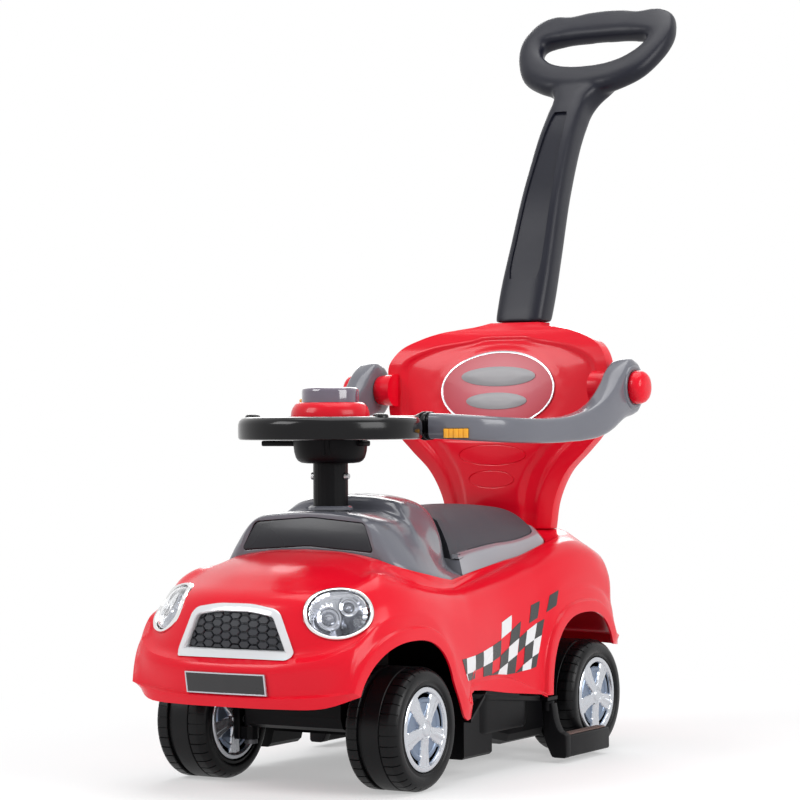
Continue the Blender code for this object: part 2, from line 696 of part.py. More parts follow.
def grille_set(grille):
    bezel = ring_solid([grille.ring(0, -0.0065), grille.ring(0, 0.0010),
                        grille.ring(-0.0016, 0.0024), grille.ring(-0.0042, 0.0016),
                        grille.ring(-0.0055, -0.0065)])
    add_object("grille_bezel", bezel, SILVER, roughness=0.15, metallic=0.8)
    mesh = bmesh.new()
    lines = grid(mesh, [grille.ring(-0.0060, -0.0062, shrink) for shrink in (0.5, 1.0)]
                 + [grille.ring(-0.0060, -0.0030, shrink) for shrink in (1.0, 0.5)],
                 close_around=True)
    fan(mesh, lines[0])
    fan(mesh, lines[-1])
    add_object("grille_mesh", mesh, BLACK, roughness=0.5)


def number_plate(tree):
    """Plate bent round the nose, resting just off the bumper."""
    sections = []
    for i in range(9):
        u = across(PLATE_HALF_WIDTH) * (i / 4 - 1)
        low, high = (onto_skin(tree, Vector((u, along(-0.15), v)), Vector((0, 1, 0)))
                     for v in (PLATE_LOW, PLATE_HIGH))
        sections.append([low + Vector((0, -lift, 0)) for lift in (0.0007, 0.0030)]
                        + [high + Vector((0, -lift, 0)) for lift in (0.0030, 0.0007)])
    add_object("number_plate", tube_solid(sections), (0.030, 0.031, 0.036), roughness=0.25)


# Ribs of the cowl above its foot: half widths, distances behind the front axle and heights
COWL_RIBS = [
    [(0.0860, 0.0045, 0.2620), (0.0790, 0.0080, 0.2770), (0.0600, 0.0110, 0.2910),
     (0.0300, 0.0120, 0.2945), (0, 0.0125, 0.2955)],
    [(0.1020, 0.0170, 0.2600), (0.0830, 0.0210, 0.2820), (0.0570, 0.0230, 0.2940),
     (0.0300, 0.0240, 0.2970), (0, 0.0240, 0.2978)],
    [(0.1040, 0.0400, 0.2620), (0.0850, 0.0400, 0.2850), (0.0550, 0.0400, 0.2950),
     (0.0300, 0.0400, 0.2975), (0, 0.0400, 0.2982)],
    [(0.1055, 0.0700, 0.2560), (0.0870, 0.0750, 0.2825), (0.0580, 0.0790, 0.2965),
     (0.0320, 0.0815, 0.2984), (0, 0.0815, 0.2984)],
    [(0.1060, 0.0860, 0.2520), (0.0880, 0.0880, 0.2800), (0.0650, 0.0900, 0.3020),
     (0.0350, 0.0920, 0.3085), (0, 0.0920, 0.3105)],
    [(0.1000, 0.1180, 0.2450), (0.0860, 0.1180, 0.2750), (0.0680, 0.1200, 0.3020),
     (0.0370, 0.1200, 0.3125), (0, 0.1200, 0.3155)],
    [(0.0930, 0.1480, 0.2380), (0.0830, 0.1520, 0.2680), (0.0660, 0.1540, 0.2950),
     (0.0360, 0.1570, 0.3070), (0, 0.1580, 0.3100)],
    [(0.0900, 0.1570, 0.2350), (0.0780, 0.1650, 0.2620), (0.0620, 0.1700, 0.2860),
     (0.0340, 0.1740, 0.2970), (0, 0.1750, 0.3000)],
]
COWL_FEET = [0.0050, 0.0160, 0.0400, 0.0680, 0.0850, 0.1150, 0.1470, 0.1545]


def cowl_foot(y):
    x, z = rim_at(y)
    return Vector((x - TRIM_GAP, along(y), z))


def cowl_cover():
    rows = []
    for y, rib in zip(COWL_FEET, COWL_RIBS):
        foot = cowl_foot(y)
        low = foot + Vector((0, 0, 0.0008 - LEDGE_DROP))
        half = [low] + spline([foot] + on_body(rib), 8)
        rows.append([Vector((-p.x, p.y, p.z)) for p in half] + half[-2::-1])
    front_low, rear_low = [], []
    count = len(rows[0])
    for i in range(count):
        p = rows[0][i]
        reach = min(abs(p.x), abs(rows[0][0].x))
        y = along(0.0062) - 0.0012 * (reach / 0.09) ** 2
        front_low.append(Vector((p.x, y, 0.2585 - 0.0095 * (p.x / 0.0923) ** 2
                                 + 0.0008 - LEDGE_DROP)))
        q = rows[-1][i]
        rear_low.append(Vector((q.x, q.y, 0.2120)))
    front_low[0], front_low[-1] = rows[0][0], rows[0][-1]
    front_rim = [Vector((p.x, p.y, p.z + LEDGE_DROP - 0.0008)) for p in front_low]
    front_rim[0], front_rim[-1] = rows[0][0], rows[0][-1]
    rear_low[0], rear_low[-1] = rows[-1][0], rows[-1][-1]
    for i, corner in ((1, 0), (-2, -1)):
        rear_low[i] = rows[-1][corner].lerp(rear_low[i + (1 if i > 0 else -1)], 0.3)
        rear_low[i].z = rows[-1][corner].z
    bm = bmesh.new()
    grid(bm, [front_low, front_rim] + rows + [rear_low])
    bmesh.ops.remove_doubles(bm, verts=bm.verts, dist=1e-6)
    bmesh.ops.recalc_face_normals(bm, faces=bm.faces)
    if sum(face.normal.z for face in bm.faces) < 0:
        bmesh.ops.reverse_faces(bm, faces=bm.faces)
    cowl = add_object("cowl_cover", bm, GREY, roughness=0.18, smooth_angle=40)
    wall = cowl.modifiers.new("wall", 'SOLIDIFY')
    wall.thickness = 0.0022
    wall.offset = -1
    boolean(cowl, add_cutter("column_hole", rod(COLUMN_RADIUS + 0.0012, (0, COLUMN_Y, 0.27),
                                                (0, COLUMN_Y, 0.33), 24)))
    outline = windscreen_outline()
    boolean(cowl, add_cutter("windscreen_hole", prism(
        offset_outline(outline, CLEARANCE), 0.030, windscreen_place(0.0))))
    return cowl


def windscreen_outline():
    corners = [(-0.0790, 0.0050), (0, 0.0110), (0.0790, 0.0050), (0.0700, 0.0270),
               (0, 0.0390), (-0.0700, 0.0270)]
    corners = [(across(u), v) for u, v in corners]
    return rounded_outline(corners, [0.004, 0.10, 0.004, 0.006, 0.10, 0.006])


def windscreen_place(lift):
    """Frame of the windscreen: leaning back, its foot on the rim of the bonnet."""
    lean = radians(13)
    foot = Vector((0, along(0.0048), 0.2525))
    out = Vector((0, -cos(lean), sin(lean)))
    up = Vector((0, sin(lean), cos(lean)))
    frame = Matrix((Vector((1, 0, 0)), up, out)).transposed().to_4x4()
    return Matrix.Translation(foot + out * lift) @ frame


def windscreen_panel():
    panel = prism(windscreen_outline(), 0.0050, windscreen_place(-0.0012))
    add_object("windscreen_panel", panel, (0.030, 0.031, 0.036), roughness=0.12)


def column_collar():
    r = COLUMN_RADIUS
    collar = turned([(r + 0.0006, 0.2945), (r + 0.0006, 0.3035), (r + 0.0030, 0.3035),
                     (r + 0.0058, 0.3018), (r + 0.0058, 0.2992), (r + 0.0008, 0.2988)],
                    24, 'Z', (0, COLUMN_Y, 0))
    return add_object("column_collar", collar, GREY, roughness=0.2)


def lid_loop(inset, lift):
    """Loop round the seat lid: inset from the rim, raised above the rim's height."""
    front_x, front_z = rim_at(0.1600)
    half = [(Vector((across(x), along(y), 0)), front_z) for x, y in
            ((0, 0.1765), (0.0340, 0.1755), (0.0620, 0.1716), (0.0780, 0.1672), (0.0920, 0.1610))]
    half.append((Vector((front_x, along(0.1600), 0)), front_z))
    half += [(Vector((p.x, p.y, 0)), p.z) for p in rim_row() if p.y > along(0.1700)]
    full = half + [(Vector((-p.x, p.y, 0)), z) for p, z in reversed(half[1:-1])]
    flat = offset_outline([(p.x, p.y) for p, _ in full], -inset - TRIM_GAP)
    low = min(p[1] for p in flat)
    loop = []
    for (p, z), q in zip(full, flat):
        rise = lift(along_share(q[1])) if callable(lift) else lift
        loop.append(Vector((q[0], max(q[1], low), z + rise)))
    return loop


def along_share(y):
    """0 at the lid's front, 1 at its rear."""
    return min(1.0, max(0.0, (y - along(LID_FRONT_Y)) / (along(LID_REAR_Y) - along(LID_FRONT_Y))))


def band_rise(t):
    return 0.0225 - 0.0115 * t ** 1.5


def seat_lid():
    rings = [lid_loop(0.0, 0.0008 - LEDGE_DROP), lid_loop(0.0, 0.0),
             lid_loop(0.0060, lambda t: 0.6 * band_rise(t)),
             lid_loop(0.0130, band_rise), lid_loop(0.0150, band_rise),
             lid_loop(0.0155, 0.0008 - LEDGE_DROP)]
    add_object("seat_lid", ring_solid(rings), GREY, roughness=0.16, smooth_angle=40)


def seat_pad():
    base = lid_loop(0.0161, band_rise)
    rings = [lid_loop(0.0161, -0.0060), base]
    middle = sum(base, Vector()) / len(base)
    for u in (0.97, 0.88, 0.72, 0.50, 0.25):
        ring = []
        for p in base:
            spine = Vector((0, min(max(p.y, along(0.235)), along(0.395)), 0))
            flat = spine.lerp(Vector((p.x, p.y, 0)), u)
            t = along_share(flat.y)
            top = SEAT_HEIGHT - 0.0020 * (1 - t) - 0.010 * max(0.0, t - 0.55) ** 1.5 / 0.3
            ring.append(Vector((flat.x, flat.y, p.z + (top - p.z) * (1 - u ** 2.3))))
        rings.append(ring)
    pad = bmesh.new()
    lines = grid(pad, rings, close_around=True)
    pad.faces.new(lines[0])
    pad.faces.new(lines[-1])
    add_object("seat_pad", pad, (0.060, 0.061, 0.070), roughness=0.75, smooth_angle=45)


def tub_rings(inset, raise_floor, top):
    """Rings of the tub: its floor slopes down from behind the front beam to the rear."""
    rings = []
    for y, floor in ((0.100 + inset, TUB_FRONT_FLOOR), (0.165, TUB_FRONT_FLOOR - 0.002),
                     (0.250, TUB_FLOOR), (TUB_REAR - inset, TUB_FLOOR)):
        half = TUB_HALF_WIDTH - inset
        low = floor + raise_floor
        section = rounded_outline([(-half, low), (half, low), (half, top), (-half, top)],
                                  [0.012, 0.012, 0.002, 0.002], steps=2)
        rings.append([Vector((across(u), along(y), v)) for u, v in section])
    return rings


def chassis():
    half = TUB_HALF_WIDTH
    body = add_object("chassis", tube_solid(tub_rings(0.0, 0.0, TUB_TOP)), BLACK, roughness=0.45,
                      smooth_angle=30)
    for side in (-1, 1):
        cheek = prism([Vector(p) for p in ((0.104, 0.060), (0.112, 0.0270), (0.1170, 0.0225),
                                           (0.1400, 0.0225), (0.1430, 0.0255), (0.1430, 0.0900),
                                           (0.104, 0.0900))],
                      along(0.165) - along(0.101),
                      Matrix.Translation((0, (along(0.165) + along(0.101)) / 2, 0))
                      @ Matrix(((side * HALF_WIDTH / 0.158, 0, 0, 0), (0, 0, 1, 0), (0, 1, 0, 0),
                                (0, 0, 0, 1))))
        boolean(body, add_cutter("tub_cheek_" + str(side), cheek), 'UNION')
    hollow = tub_rings(TUB_WALL, TUB_WALL, TUB_TOP + 0.02)
    boolean(body, add_cutter("tub_hollow", tube_solid(hollow)))
    edge = lip_rows()[0]
    first = NOSE + ARCH + LEG
    for side in (-1, 1):
        strip = []
        for p in edge[first:first + SILL]:
            top = p.z - 0.0006
            y = p.y + (0.0012 if p is edge[first] else 0.0)
            strip.append([Vector((side * (p.x - 0.0002), y, top)),
                          Vector((side * (across(half) - 0.002), y, top)),
                          Vector((side * (across(half) - 0.002), y, top - 0.0040)),
                          Vector((side * (p.x - 0.0002), y, top - 0.0040))])
        boolean(body, add_cutter("sill_flange_" + str(side), tube_solid(strip)), 'UNION')
        boolean(body, add_cutter("beam_end_" + str(side), rod(
            BEAM_BOSS_RADIUS, (side * KINGPIN_X, FRONT_AXLE_Y, BEAM_LOW),
            (side * KINGPIN_X, FRONT_AXLE_Y, BEAM_HIGH), 16)), 'UNION')
        boolean(body, add_cutter("beam_neck_" + str(side), block(
            (side * KINGPIN_X, FRONT_AXLE_Y - BEAM_BOSS_RADIUS * 0.95, BEAM_LOW + 0.0005),
            (side * 0.050, FRONT_AXLE_Y + BEAM_BOSS_RADIUS * 0.95, BEAM_HIGH - 0.0005))), 'UNION')
        boolean(body, add_cutter("column_post_" + str(side), block(
            (side * 0.048, COLUMN_Y - 0.020, BEAM_HIGH - 0.004),
            (side * 0.060, COLUMN_Y + 0.023, 0.205))), 'UNION')
        boolean(body, add_cutter("footrest_lug_" + str(side), block(
            at(side * (half - 0.002), 0.274, LUG_LOW), at(side * 0.157, 0.2985, LUG_HIGH))), 'UNION')
    beam = prism(rounded_outline([(-0.026, BEAM_LOW), (0.026, BEAM_LOW), (0.026, BEAM_HIGH),
                                  (-0.026, BEAM_HIGH)], [0.016, 0.016, 0.003, 0.003], steps=2),
                 0.124, Matrix.Translation((0, FRONT_AXLE_Y, 0))
                 @ Matrix(((0, 0, 1, 0), (1, 0, 0, 0), (0, 1, 0, 0), (0, 0, 0, 1))))
    boolean(body, add_cutter("front_beam", beam), 'UNION')
    boolean(body, add_cutter("spine", block((-0.060, FRONT_AXLE_Y + 0.016, 0.062),
                                            (0.060, along(0.1015), BEAM_HIGH - 0.001))), 'UNION')
    boolean(body, add_cutter("bearing_plate", block(
        (-0.050, COLUMN_Y - 0.018, BEARING_TOP - 0.006), (0.050, COLUMN_Y + 0.021, BEARING_TOP))),
        'UNION')
    boolean(body, add_cutter("rear_carrier", block(
        (-CARRIER_HALF_WIDTH, along(TUB_REAR - 0.0015), 0.045),
        (CARRIER_HALF_WIDTH, along(0.450), 0.110),
        0.0025, 1)), 'UNION')
    boolean(body, add_cutter("carrier_hollow", block(
        (-CARRIER_HALF_WIDTH + 0.004, REAR_AXLE_Y + 0.010, 0.040),
        (CARRIER_HALF_WIDTH - 0.004, along(0.450) - 0.004, 0.106))))
    boolean(body, add_cutter("rear_axle_bore", rod(
        AXLE_RADIUS + CLEARANCE, (-0.1, REAR_AXLE_Y, TYRE_RADIUS), (0.1, REAR_AXLE_Y, TYRE_RADIUS),
        14)))
    boolean(body, add_cutter("column_bearing", rod(
        SHAFT_RADIUS + RUNNING_GAP, (0, COLUMN_Y, 0.12), (0, COLUMN_Y, 0.15), 20)))
    for side in (-1, 1):
        boolean(body, add_cutter("kingpin_bore_" + str(side), rod(
            KINGPIN_RADIUS + CLEARANCE, (side * KINGPIN_X, FRONT_AXLE_Y, 0.04),
            (side * KINGPIN_X, FRONT_AXLE_Y, 0.14), 14)))
        boolean(body, add_cutter("footrest_bore_" + str(side), rod(
            0.0034, at(side * FOOTREST_HINGE[0], FOOTREST_HINGE[1], 0.070),
            at(side * FOOTREST_HINGE[0], FOOTREST_HINGE[1], 0.090), 12)))
    return body


def knuckle(side, name):
    """Steering knuckle: a C round the beam's end with its steering arm."""
    x, y = side * KINGPIN_X, FRONT_AXLE_Y
    web_in, web_out = 0.0085 + x * side, 0.0165 + x * side
    web = block((side * web_in, y - 0.011, 0.0450), (side * web_out, y + 0.011, KNUCKLE_TOP),
                0.0012)
    body = add_object("steering_knuckle_" + name, web, BLACK, roughness=0.45)
    body.location = (x, y, 0)
    body.data.transform(Matrix.Translation((-x, -y, 0)))
    for label, low, high in (("upper", KNUCKLE_TOP - 0.0080, KNUCKLE_TOP - 0.0004),
                             ("lower", 0.0454, BEAM_LOW - 0.0008)):
        lug = prism(rounded_outline([(-0.0085, -0.0085), (0.0120, -0.0085), (0.0120, 0.0085),
                                     (-0.0085, 0.0085)], [0.008, 0.001, 0.001, 0.008], 2),
                    high - low, Matrix.Translation((x, y, (low + high) / 2))
                    @ Matrix.Diagonal((side, 1, 1, 1)))
        boolean(body, add_cutter("knuckle_" + label + "_" + name, lug), 'UNION')
    arm = prism(rounded_outline([(-0.0075, -STEER_ARM - 0.0075), (0.0075, -STEER_ARM - 0.0075),
                                 (0.0075, 0), (-0.0075, 0)], [0.006, 0.006, 0.001, 0.001], 2),
                0.0072, Matrix.Translation((x, y, KNUCKLE_TOP - 0.0040)))
    boolean(body, add_cutter("steering_arm_" + name, arm), 'UNION')
    boolean(body, add_cutter("arm_eye_" + name, rod(
        TIE_PIN_RADIUS + TIE_PIN_PLAY, (x, y - STEER_ARM, 0.1), (x, y - STEER_ARM, 0.13), 14)))
    boolean(body, add_cutter("knuckle_bore_" + name, rod(
        KINGPIN_RADIUS + CLEARANCE, (x, y, 0.03), (x, y, 0.13), 14)))
    boolean(body, add_cutter("stub_bore_" + name, rod(
        AXLE_RADIUS + CLEARANCE, (side * (web_in - 0.002), y, TYRE_RADIUS),
        (side * (web_out + 0.002), y, TYRE_RADIUS), 14)))
    pin = turned([(0, 0.0400), (0.0075, 0.0400), (0.0075, 0.0445), (KINGPIN_RADIUS, 0.0445),
                  (KINGPIN_RADIUS, KNUCKLE_TOP + 0.0005), (0.0075, KNUCKLE_TOP + 0.0005),
                  (0.0065, KNUCKLE_TOP + 0.0035), (0, KNUCKLE_TOP + 0.0035)], 14, 'Z', (x, y, 0))
    add_object("kingpin_" + name, pin, (0.10, 0.10, 0.11), roughness=0.35, metallic=1.0)
    hub = WHEEL_X
    stub = turned([(0, web_in + 0.0006), (AXLE_RADIUS, web_in + 0.0006), (AXLE_RADIUS, hub + 0.0230),
                   (0.0082, hub + 0.0230), (0.0070, hub + 0.0255), (0, hub + 0.0255)], 14, 'X',
                  (0, y, TYRE_RADIUS))
    if side < 0:
        stub.transform(Matrix.Diagonal((-1, 1, 1, 1)))
    add_object("stub_axle_" + name, stub, SILVER, roughness=0.3, metallic=1.0)
    return body


def tie_rod():
    low = KNUCKLE_TOP + 0.0006
    high = low + 0.0040
    y = FRONT_AXLE_Y - STEER_ARM
    outline = [(-KINGPIN_X - 0.0065, y - 0.0060), (KINGPIN_X + 0.0065, y - 0.0060),
               (KINGPIN_X + 0.0065, y + 0.0060), (0.0110, y + 0.0060),
               (0.0110, COLUMN_Y - STEER_ARM + 0.0060), (-0.0110, COLUMN_Y - STEER_ARM + 0.0060),
               (-0.0110, y + 0.0060), (-KINGPIN_X - 0.0065, y + 0.0060)]
    plate = prism([Vector(p) for p in outline], high - low,
                  Matrix.Translation((0, 0, (low + high) / 2)))
    bar = add_object("tie_rod", plate, SILVER, roughness=0.4, metallic=1.0)
    for name, x, py in (("left", KINGPIN_X, y), ("right", -KINGPIN_X, y),
                        ("middle", 0, COLUMN_Y - STEER_ARM)):
        boolean(bar, add_cutter("tie_pin_" + name, rod(
            TIE_PIN_RADIUS, (x, py, KNUCKLE_TOP - 0.0075), (x, py, low + 0.001), 12)), 'UNION')
    return bar


def steering_column():
    x, y = 0, COLUMN_Y
    top = HUB_LOW + 0.0040
    column = turned([(0, KNUCKLE_TOP - 0.0080), (SHAFT_RADIUS, KNUCKLE_TOP - 0.0080),
                     (SHAFT_RADIUS, BEARING_TOP + 0.0005), (COLUMN_RADIUS, BEARING_TOP + 0.0005),
                     (COLUMN_RADIUS, top), (0, top)], 24)
    body = add_object("steering_column", column, BLACK, roughness=0.35)
    body.location = (x, y, 0)
    arm = prism(rounded_outline([(-0.0075, -STEER_ARM - 0.0080), (0.0075, -STEER_ARM - 0.0080),
                                 (0.0095, 0), (-0.0095, 0)], [0.006, 0.006, 0.001, 0.001], 3),
                0.0080, Matrix.Translation((x, y, KNUCKLE_TOP - 0.0040)))
    boolean(body, add_cutter("pitman_arm", arm), 'UNION')
    boolean(body, add_cutter("pitman_eye", rod(
        TIE_PIN_RADIUS + TIE_PIN_PLAY, (x, y - STEER_ARM, 0.1), (x, y - STEER_ARM, 0.13), 14)))
    boolean(body, add_cutter("bolt_bore", rod(
        BOLT_RADIUS + CLEARANCE, (-0.03, y, BOLT_Z), (0.03, y, BOLT_Z), 12)))
    bolt = turned([(0, -COLUMN_RADIUS - 0.0045), (0.0042, -COLUMN_RADIUS - 0.0045),
                   (0.0042, -COLUMN_RADIUS - 0.0004), (BOLT_RADIUS, -COLUMN_RADIUS - 0.0004),
                   (BOLT_RADIUS, COLUMN_RADIUS + 0.0004), (0.0042, COLUMN_RADIUS + 0.0004),
                   (0.0030, COLUMN_RADIUS + 0.0045), (0, COLUMN_RADIUS + 0.0045)], 12, 'X',
                  (0, y, BOLT_Z))
    add_object("column_bolt", bolt, SILVER, roughness=0.25, metallic=1.0)
    return body


def steering_wheel():
    y = COLUMN_Y
    low, high = STEERING_RING_BOTTOM, STEERING_RING_BOTTOM + STEERING_RING_HEIGHT
    out, into = STEERING_RING_RADIUS, STEERING_RING_RADIUS - STEERING_RING_TUBE
    ring = turned([(into, low + 0.006), (into + 0.005, low), (out - 0.0020, low),
                   (out, low + 0.0020), (out, high - 0.0075), (out - 0.0030, high - 0.0018),
                   (out - 0.0090, high), (into + 0.007, high), (into, high - 0.0065)], 28)
    wheel = add_object("steering_wheel", ring, BLACK, roughness=0.28, smooth_angle=45)
    wheel.location = (0, y, 0)
    hub = turned([(0, low + 0.0010), (HUB_DOME_RADIUS - 0.001, low + 0.0010),
                  (HUB_DOME_RADIUS - 0.001, high - 0.0010), (0, high - 0.0010)], 20, 'Z', (0, y, 0))
    boolean(wheel, add_cutter("wheel_hub", hub), 'UNION')
    for k, turn in enumerate((0, 120, 240)):
        angle = radians(90 + turn)
        spoke = block((-0.013, HUB_DOME_RADIUS - 0.006, low + 0.004),
                      (0.013, into + 0.010, high - 0.005), 0.002)
        spoke.transform(Matrix.Translation((0, y, 0)) @ Matrix.Rotation(angle - pi / 2, 4, 'Z'))
        boolean(wheel, add_cutter("wheel_spoke_%d" % k, spoke), 'UNION')
    for side in (-1, 1):
        bump = turned([(0, high - 0.003), (0.0085, high - 0.003), (0.0085, high + 0.0008),
                       (0.0060, high + 0.0030), (0, high + 0.0030)], 12, 'Z',
                      (side * 0.0840, y - 0.030, 0))
        boolean(wheel, add_cutter("thumb_rest_" + str(side), bump), 'UNION')
    bowl = turned([(COLUMN_RADIUS + 0.0004, HUB_LOW), (HUB_BOWL_RADIUS - 0.012, HUB_LOW),
                   (HUB_BOWL_RADIUS - 0.004, HUB_LOW + 0.005), (HUB_BOWL_RADIUS, low + 0.0006),
                   (COLUMN_RADIUS - 0.004, low + 0.0006), (COLUMN_RADIUS - 0.004, HUB_LOW + 0.0046),
                   (COLUMN_RADIUS + 0.0004, HUB_LOW + 0.0046)], 24, 'Z', (0, y, 0))
    bowl = add_object("hub_bowl", bowl, BLACK, roughness=0.3)
    for way, reach in ((-1, STALK_REACH), (1, STALK_REACH - 0.026)):
        stalk = block((way * 0.034, y - 0.008, low - 0.0075), (way * reach, y + 0.008, low - 0.0012),
                      0.0015)
        boolean(bowl, add_cutter("stalk_%d" % way, stalk), 'UNION')
    dome_low = high - 0.0006
    r = HUB_DOME_RADIUS
    well = HORN_CAP_RADIUS + RUNNING_GAP
    dome = turned([(0, dome_low), (r, dome_low), (r, dome_low + 0.004), (r - 0.003, HUB_TOP - 0.004),
                   (r - 0.009, HUB_TOP), (well, HUB_TOP), (well, HUB_TOP - 0.0080),
                   (0, HUB_TOP - 0.0080)], 24, 'Z', (0, y, 0))
    hub_dome = add_object("hub_dome", dome, RED, roughness=0.15)
    cap = HORN_CAP_RADIUS
    base = HUB_TOP - 0.0080 + HORN_TRAVEL
    horn = turned([(0, base), (cap, base), (cap, HORN_TOP - 0.004), (cap - 0.0012, HORN_TOP - 0.0012),
                   (cap - 0.0045, HORN_TOP), (0, HORN_TOP)], 24)
    horn_cap = add_object("horn_cap", horn, (0.10, 0.085, 0.13), roughness=0.08)
    horn_cap.location = (0, y, 0)
    boolean(hub_dome, add_cutter("melody_well", rod(
        MELODY_RADIUS + RUNNING_GAP, (-MELODY_REACH, y, HUB_TOP - 0.0070),
        (-MELODY_REACH, y, HUB_TOP + 0.01), 14)))
    button = turned([(0, HUB_TOP - 0.0040), (MELODY_RADIUS, HUB_TOP - 0.0040),
                     (MELODY_RADIUS, HUB_TOP + 0.0030), (MELODY_RADIUS - 0.001, HUB_TOP + 0.0040),
                     (0, HUB_TOP + 0.0040)], 14)
    key = add_object("melody_button", button, ORANGE, roughness=0.2)
    key.location = (-MELODY_REACH, y, 0)
    return wheel


def wheel(side, y, name, inner_cover):
    """Tyre and rim in one moulding, with a pressed-in cover on each open face."""
    x = side * WHEEL_X
    half, r, rim = TYRE_WIDTH / 2, TYRE_RADIUS, RIM_RADIUS
    groove = r - TREAD_GROOVE_DEPTH
    bore = AXLE_RADIUS + RUNNING_GAP
    profile = [(rim, half), (r - 0.0060, half), (r - 0.0012, half - 0.0030), (r, half - 0.0075),
               (r, -0.0105), (groove, -0.0108), (groove, -0.0152), (r, -0.0155),
               (r, 0.0075 - half), (r - 0.0012, 0.0030 - half), (r - 0.0060, -half), (rim, -half),
               (rim, -0.0040),
               (0.0110, -0.0040), (0.0110, -0.0225), (bore, -0.0225), (bore, 0.0225),
               (0.0110, 0.0225), (0.0110, 0.0040), (rim, 0.0040)]
    tyre = add_object("wheel_" + name, turned(profile, TYRE_SEGMENTS, 'X'), BLACK, roughness=0.6,
                      smooth_angle=32)
    tyre.location = (x, y, TYRE_RADIUS)
    faces = [("outer", side)] + ([("inner", -side)] if inner_cover else [])
    for face, way in faces:
        out = half - COVER_DEPTH * 0.4
        back = out - COVER_THICKNESS
        edge = rim - CLEARANCE * 1.3
        eye = 0.0 if face == "outer" else AXLE_RADIUS + 0.0010
        cover = turned([(eye, back), (0.0098, back), (0.0098, 0.0230), (0.0128, 0.0230),
                        (0.0128, back), (edge, back), (edge, out), (0.0145, out - 0.0016),
                        (0.0100, out + 0.0010), (eye, out + 0.0010)], 20, 'X')
        if way < 0:
            cover.transform(Matrix.Diagonal((-1, 1, 1, 1)))
        cover.transform(Matrix.Translation((x, y, TYRE_RADIUS)))
        disc = add_object("wheel_cover_%s_%s" % (name, face), cover, SILVER, roughness=0.2,
                          metallic=0.7)
        windows = merge(*[window(k, way, out) for k in range(SPOKE_COUNT)])
        windows.transform(Matrix.Translation((x, y, TYRE_RADIUS)))
        boolean(disc, add_cutter("windows_%s_%s" % (name, face), windows))
    return tyre


def window(index, way, out):
    """Opening between two spokes of a wheel cover, with a spoke pointing straight down."""
    middle = 2 * pi * (index + 0.5) / SPOKE_COUNT
    share = 2 * pi / SPOKE_COUNT
    outline = []
    for r, spoke in ((0.0180, 0.0060), (0.0405, 0.0064)):
        span = share / 2 - spoke / r
        steps = 1 if r < 0.02 else 2
        turns = [middle - span + 2 * span * k / steps for k in range(steps + 1)]
        if r > 0.02:
            turns.reverse()
        outline += [(r * cos(a), r * sin(a)) for a in turns]
    return prism([Vector(p) for p in outline[::-1]], 0.020,
                 Matrix.Translation((way * (out - 0.003), 0, 0)) @ Matrix.Rotation(pi / 2, 4, 'Y'))


# Backrest sections: height, half width, front at the middle and edge, back at the middle and edge
BACKREST_LEVELS = [
    (0.2642, 0.0727, 0.4345, 0.4450, 0.4790, 0.4620),
    (0.3000, 0.0790, 0.4255, 0.4440, 0.4840, 0.4620),
    (0.3340, 0.0960, 0.4265, 0.4420, 0.4900, 0.4610),
    (0.3600, 0.1220, 0.4290, 0.4410, 0.4970, 0.4600),
    (0.3820, 0.1420, 0.4325, 0.4400, 0.5030, 0.4590),
    (0.4050, 0.1520, 0.4370, 0.4385, 0.5110, 0.4570),
    (0.4360, 0.1527, 0.4430, 0.4380, 0.5230, 0.4560),
    (0.4680, 0.1530, 0.4500, 0.4388, 0.5330, 0.4580),
    (0.4860, 0.1417, 0.4560, 0.4465, 0.5370, 0.4650),
    (0.4996, 0.1180, 0.4640, 0.4576, 0.5390, 0.4760),
    (0.5078, 0.0930, 0.4710, 0.4660, 0.5400, 0.4860),
    (0.5122, 0.0690, 0.4780, 0.4750, 0.5405, 0.4960),
    (0.5165, 0.0436, 0.4850, 0.4815, 0.5405, 0.5150),
    (0.5200, 0.0330, 0.4905, 0.4890, 0.5405, 0.5300),
]


def backrest():
    rings = []
    columns = 5
    for z, width, middle, edge, back_middle, back_edge in BACKREST_LEVELS:
        front, back = [], []
        for k in range(-columns, columns + 1):
            u = sin(pi / 2 * k / columns)
            bend = abs(u) ** 2.2
            front.append(at(u * width, middle + (edge - middle) * bend, z))
            if abs(k) < columns:
                back.append(at(u * width, back_middle + (back_edge - back_middle) * bend, z))
        back = [front[0].lerp(back[0], 0.6)] + back + [front[-1].lerp(back[-1], 0.6)]
        rings.append(front + back[::-1])
    shell = add_object("backrest", tube_solid(rings), RED, roughness=0.12, smooth_angle=50)
    for side, name in ((-1, "right"), (1, "left")):
        boss = turned([(0, across(0.1400)), (0.0205, across(0.1400)), (0.0175, across(0.1632)),
                       (0, across(0.1632))], 20, 'X', (0, along(GUARD_PIVOT_Y), GUARD_PIVOT_Z))
        if side < 0:
            boss.transform(Matrix.Diagonal((-1, 1, 1, 1)))
        boolean(shell, add_cutter("pivot_boss_" + name, boss), 'UNION')
        boolean(shell, add_cutter("pivot_bore_" + name, rod(
            PIVOT_PIN_RADIUS + CLEARANCE, (side * across(0.1400), along(GUARD_PIVOT_Y), GUARD_PIVOT_Z),
            (side * across(0.1700), along(GUARD_PIVOT_Y), GUARD_PIVOT_Z), 16)))
    boolean(shell, add_cutter("handle_socket", tongue(0.0005, 0.0010)))
    return shell


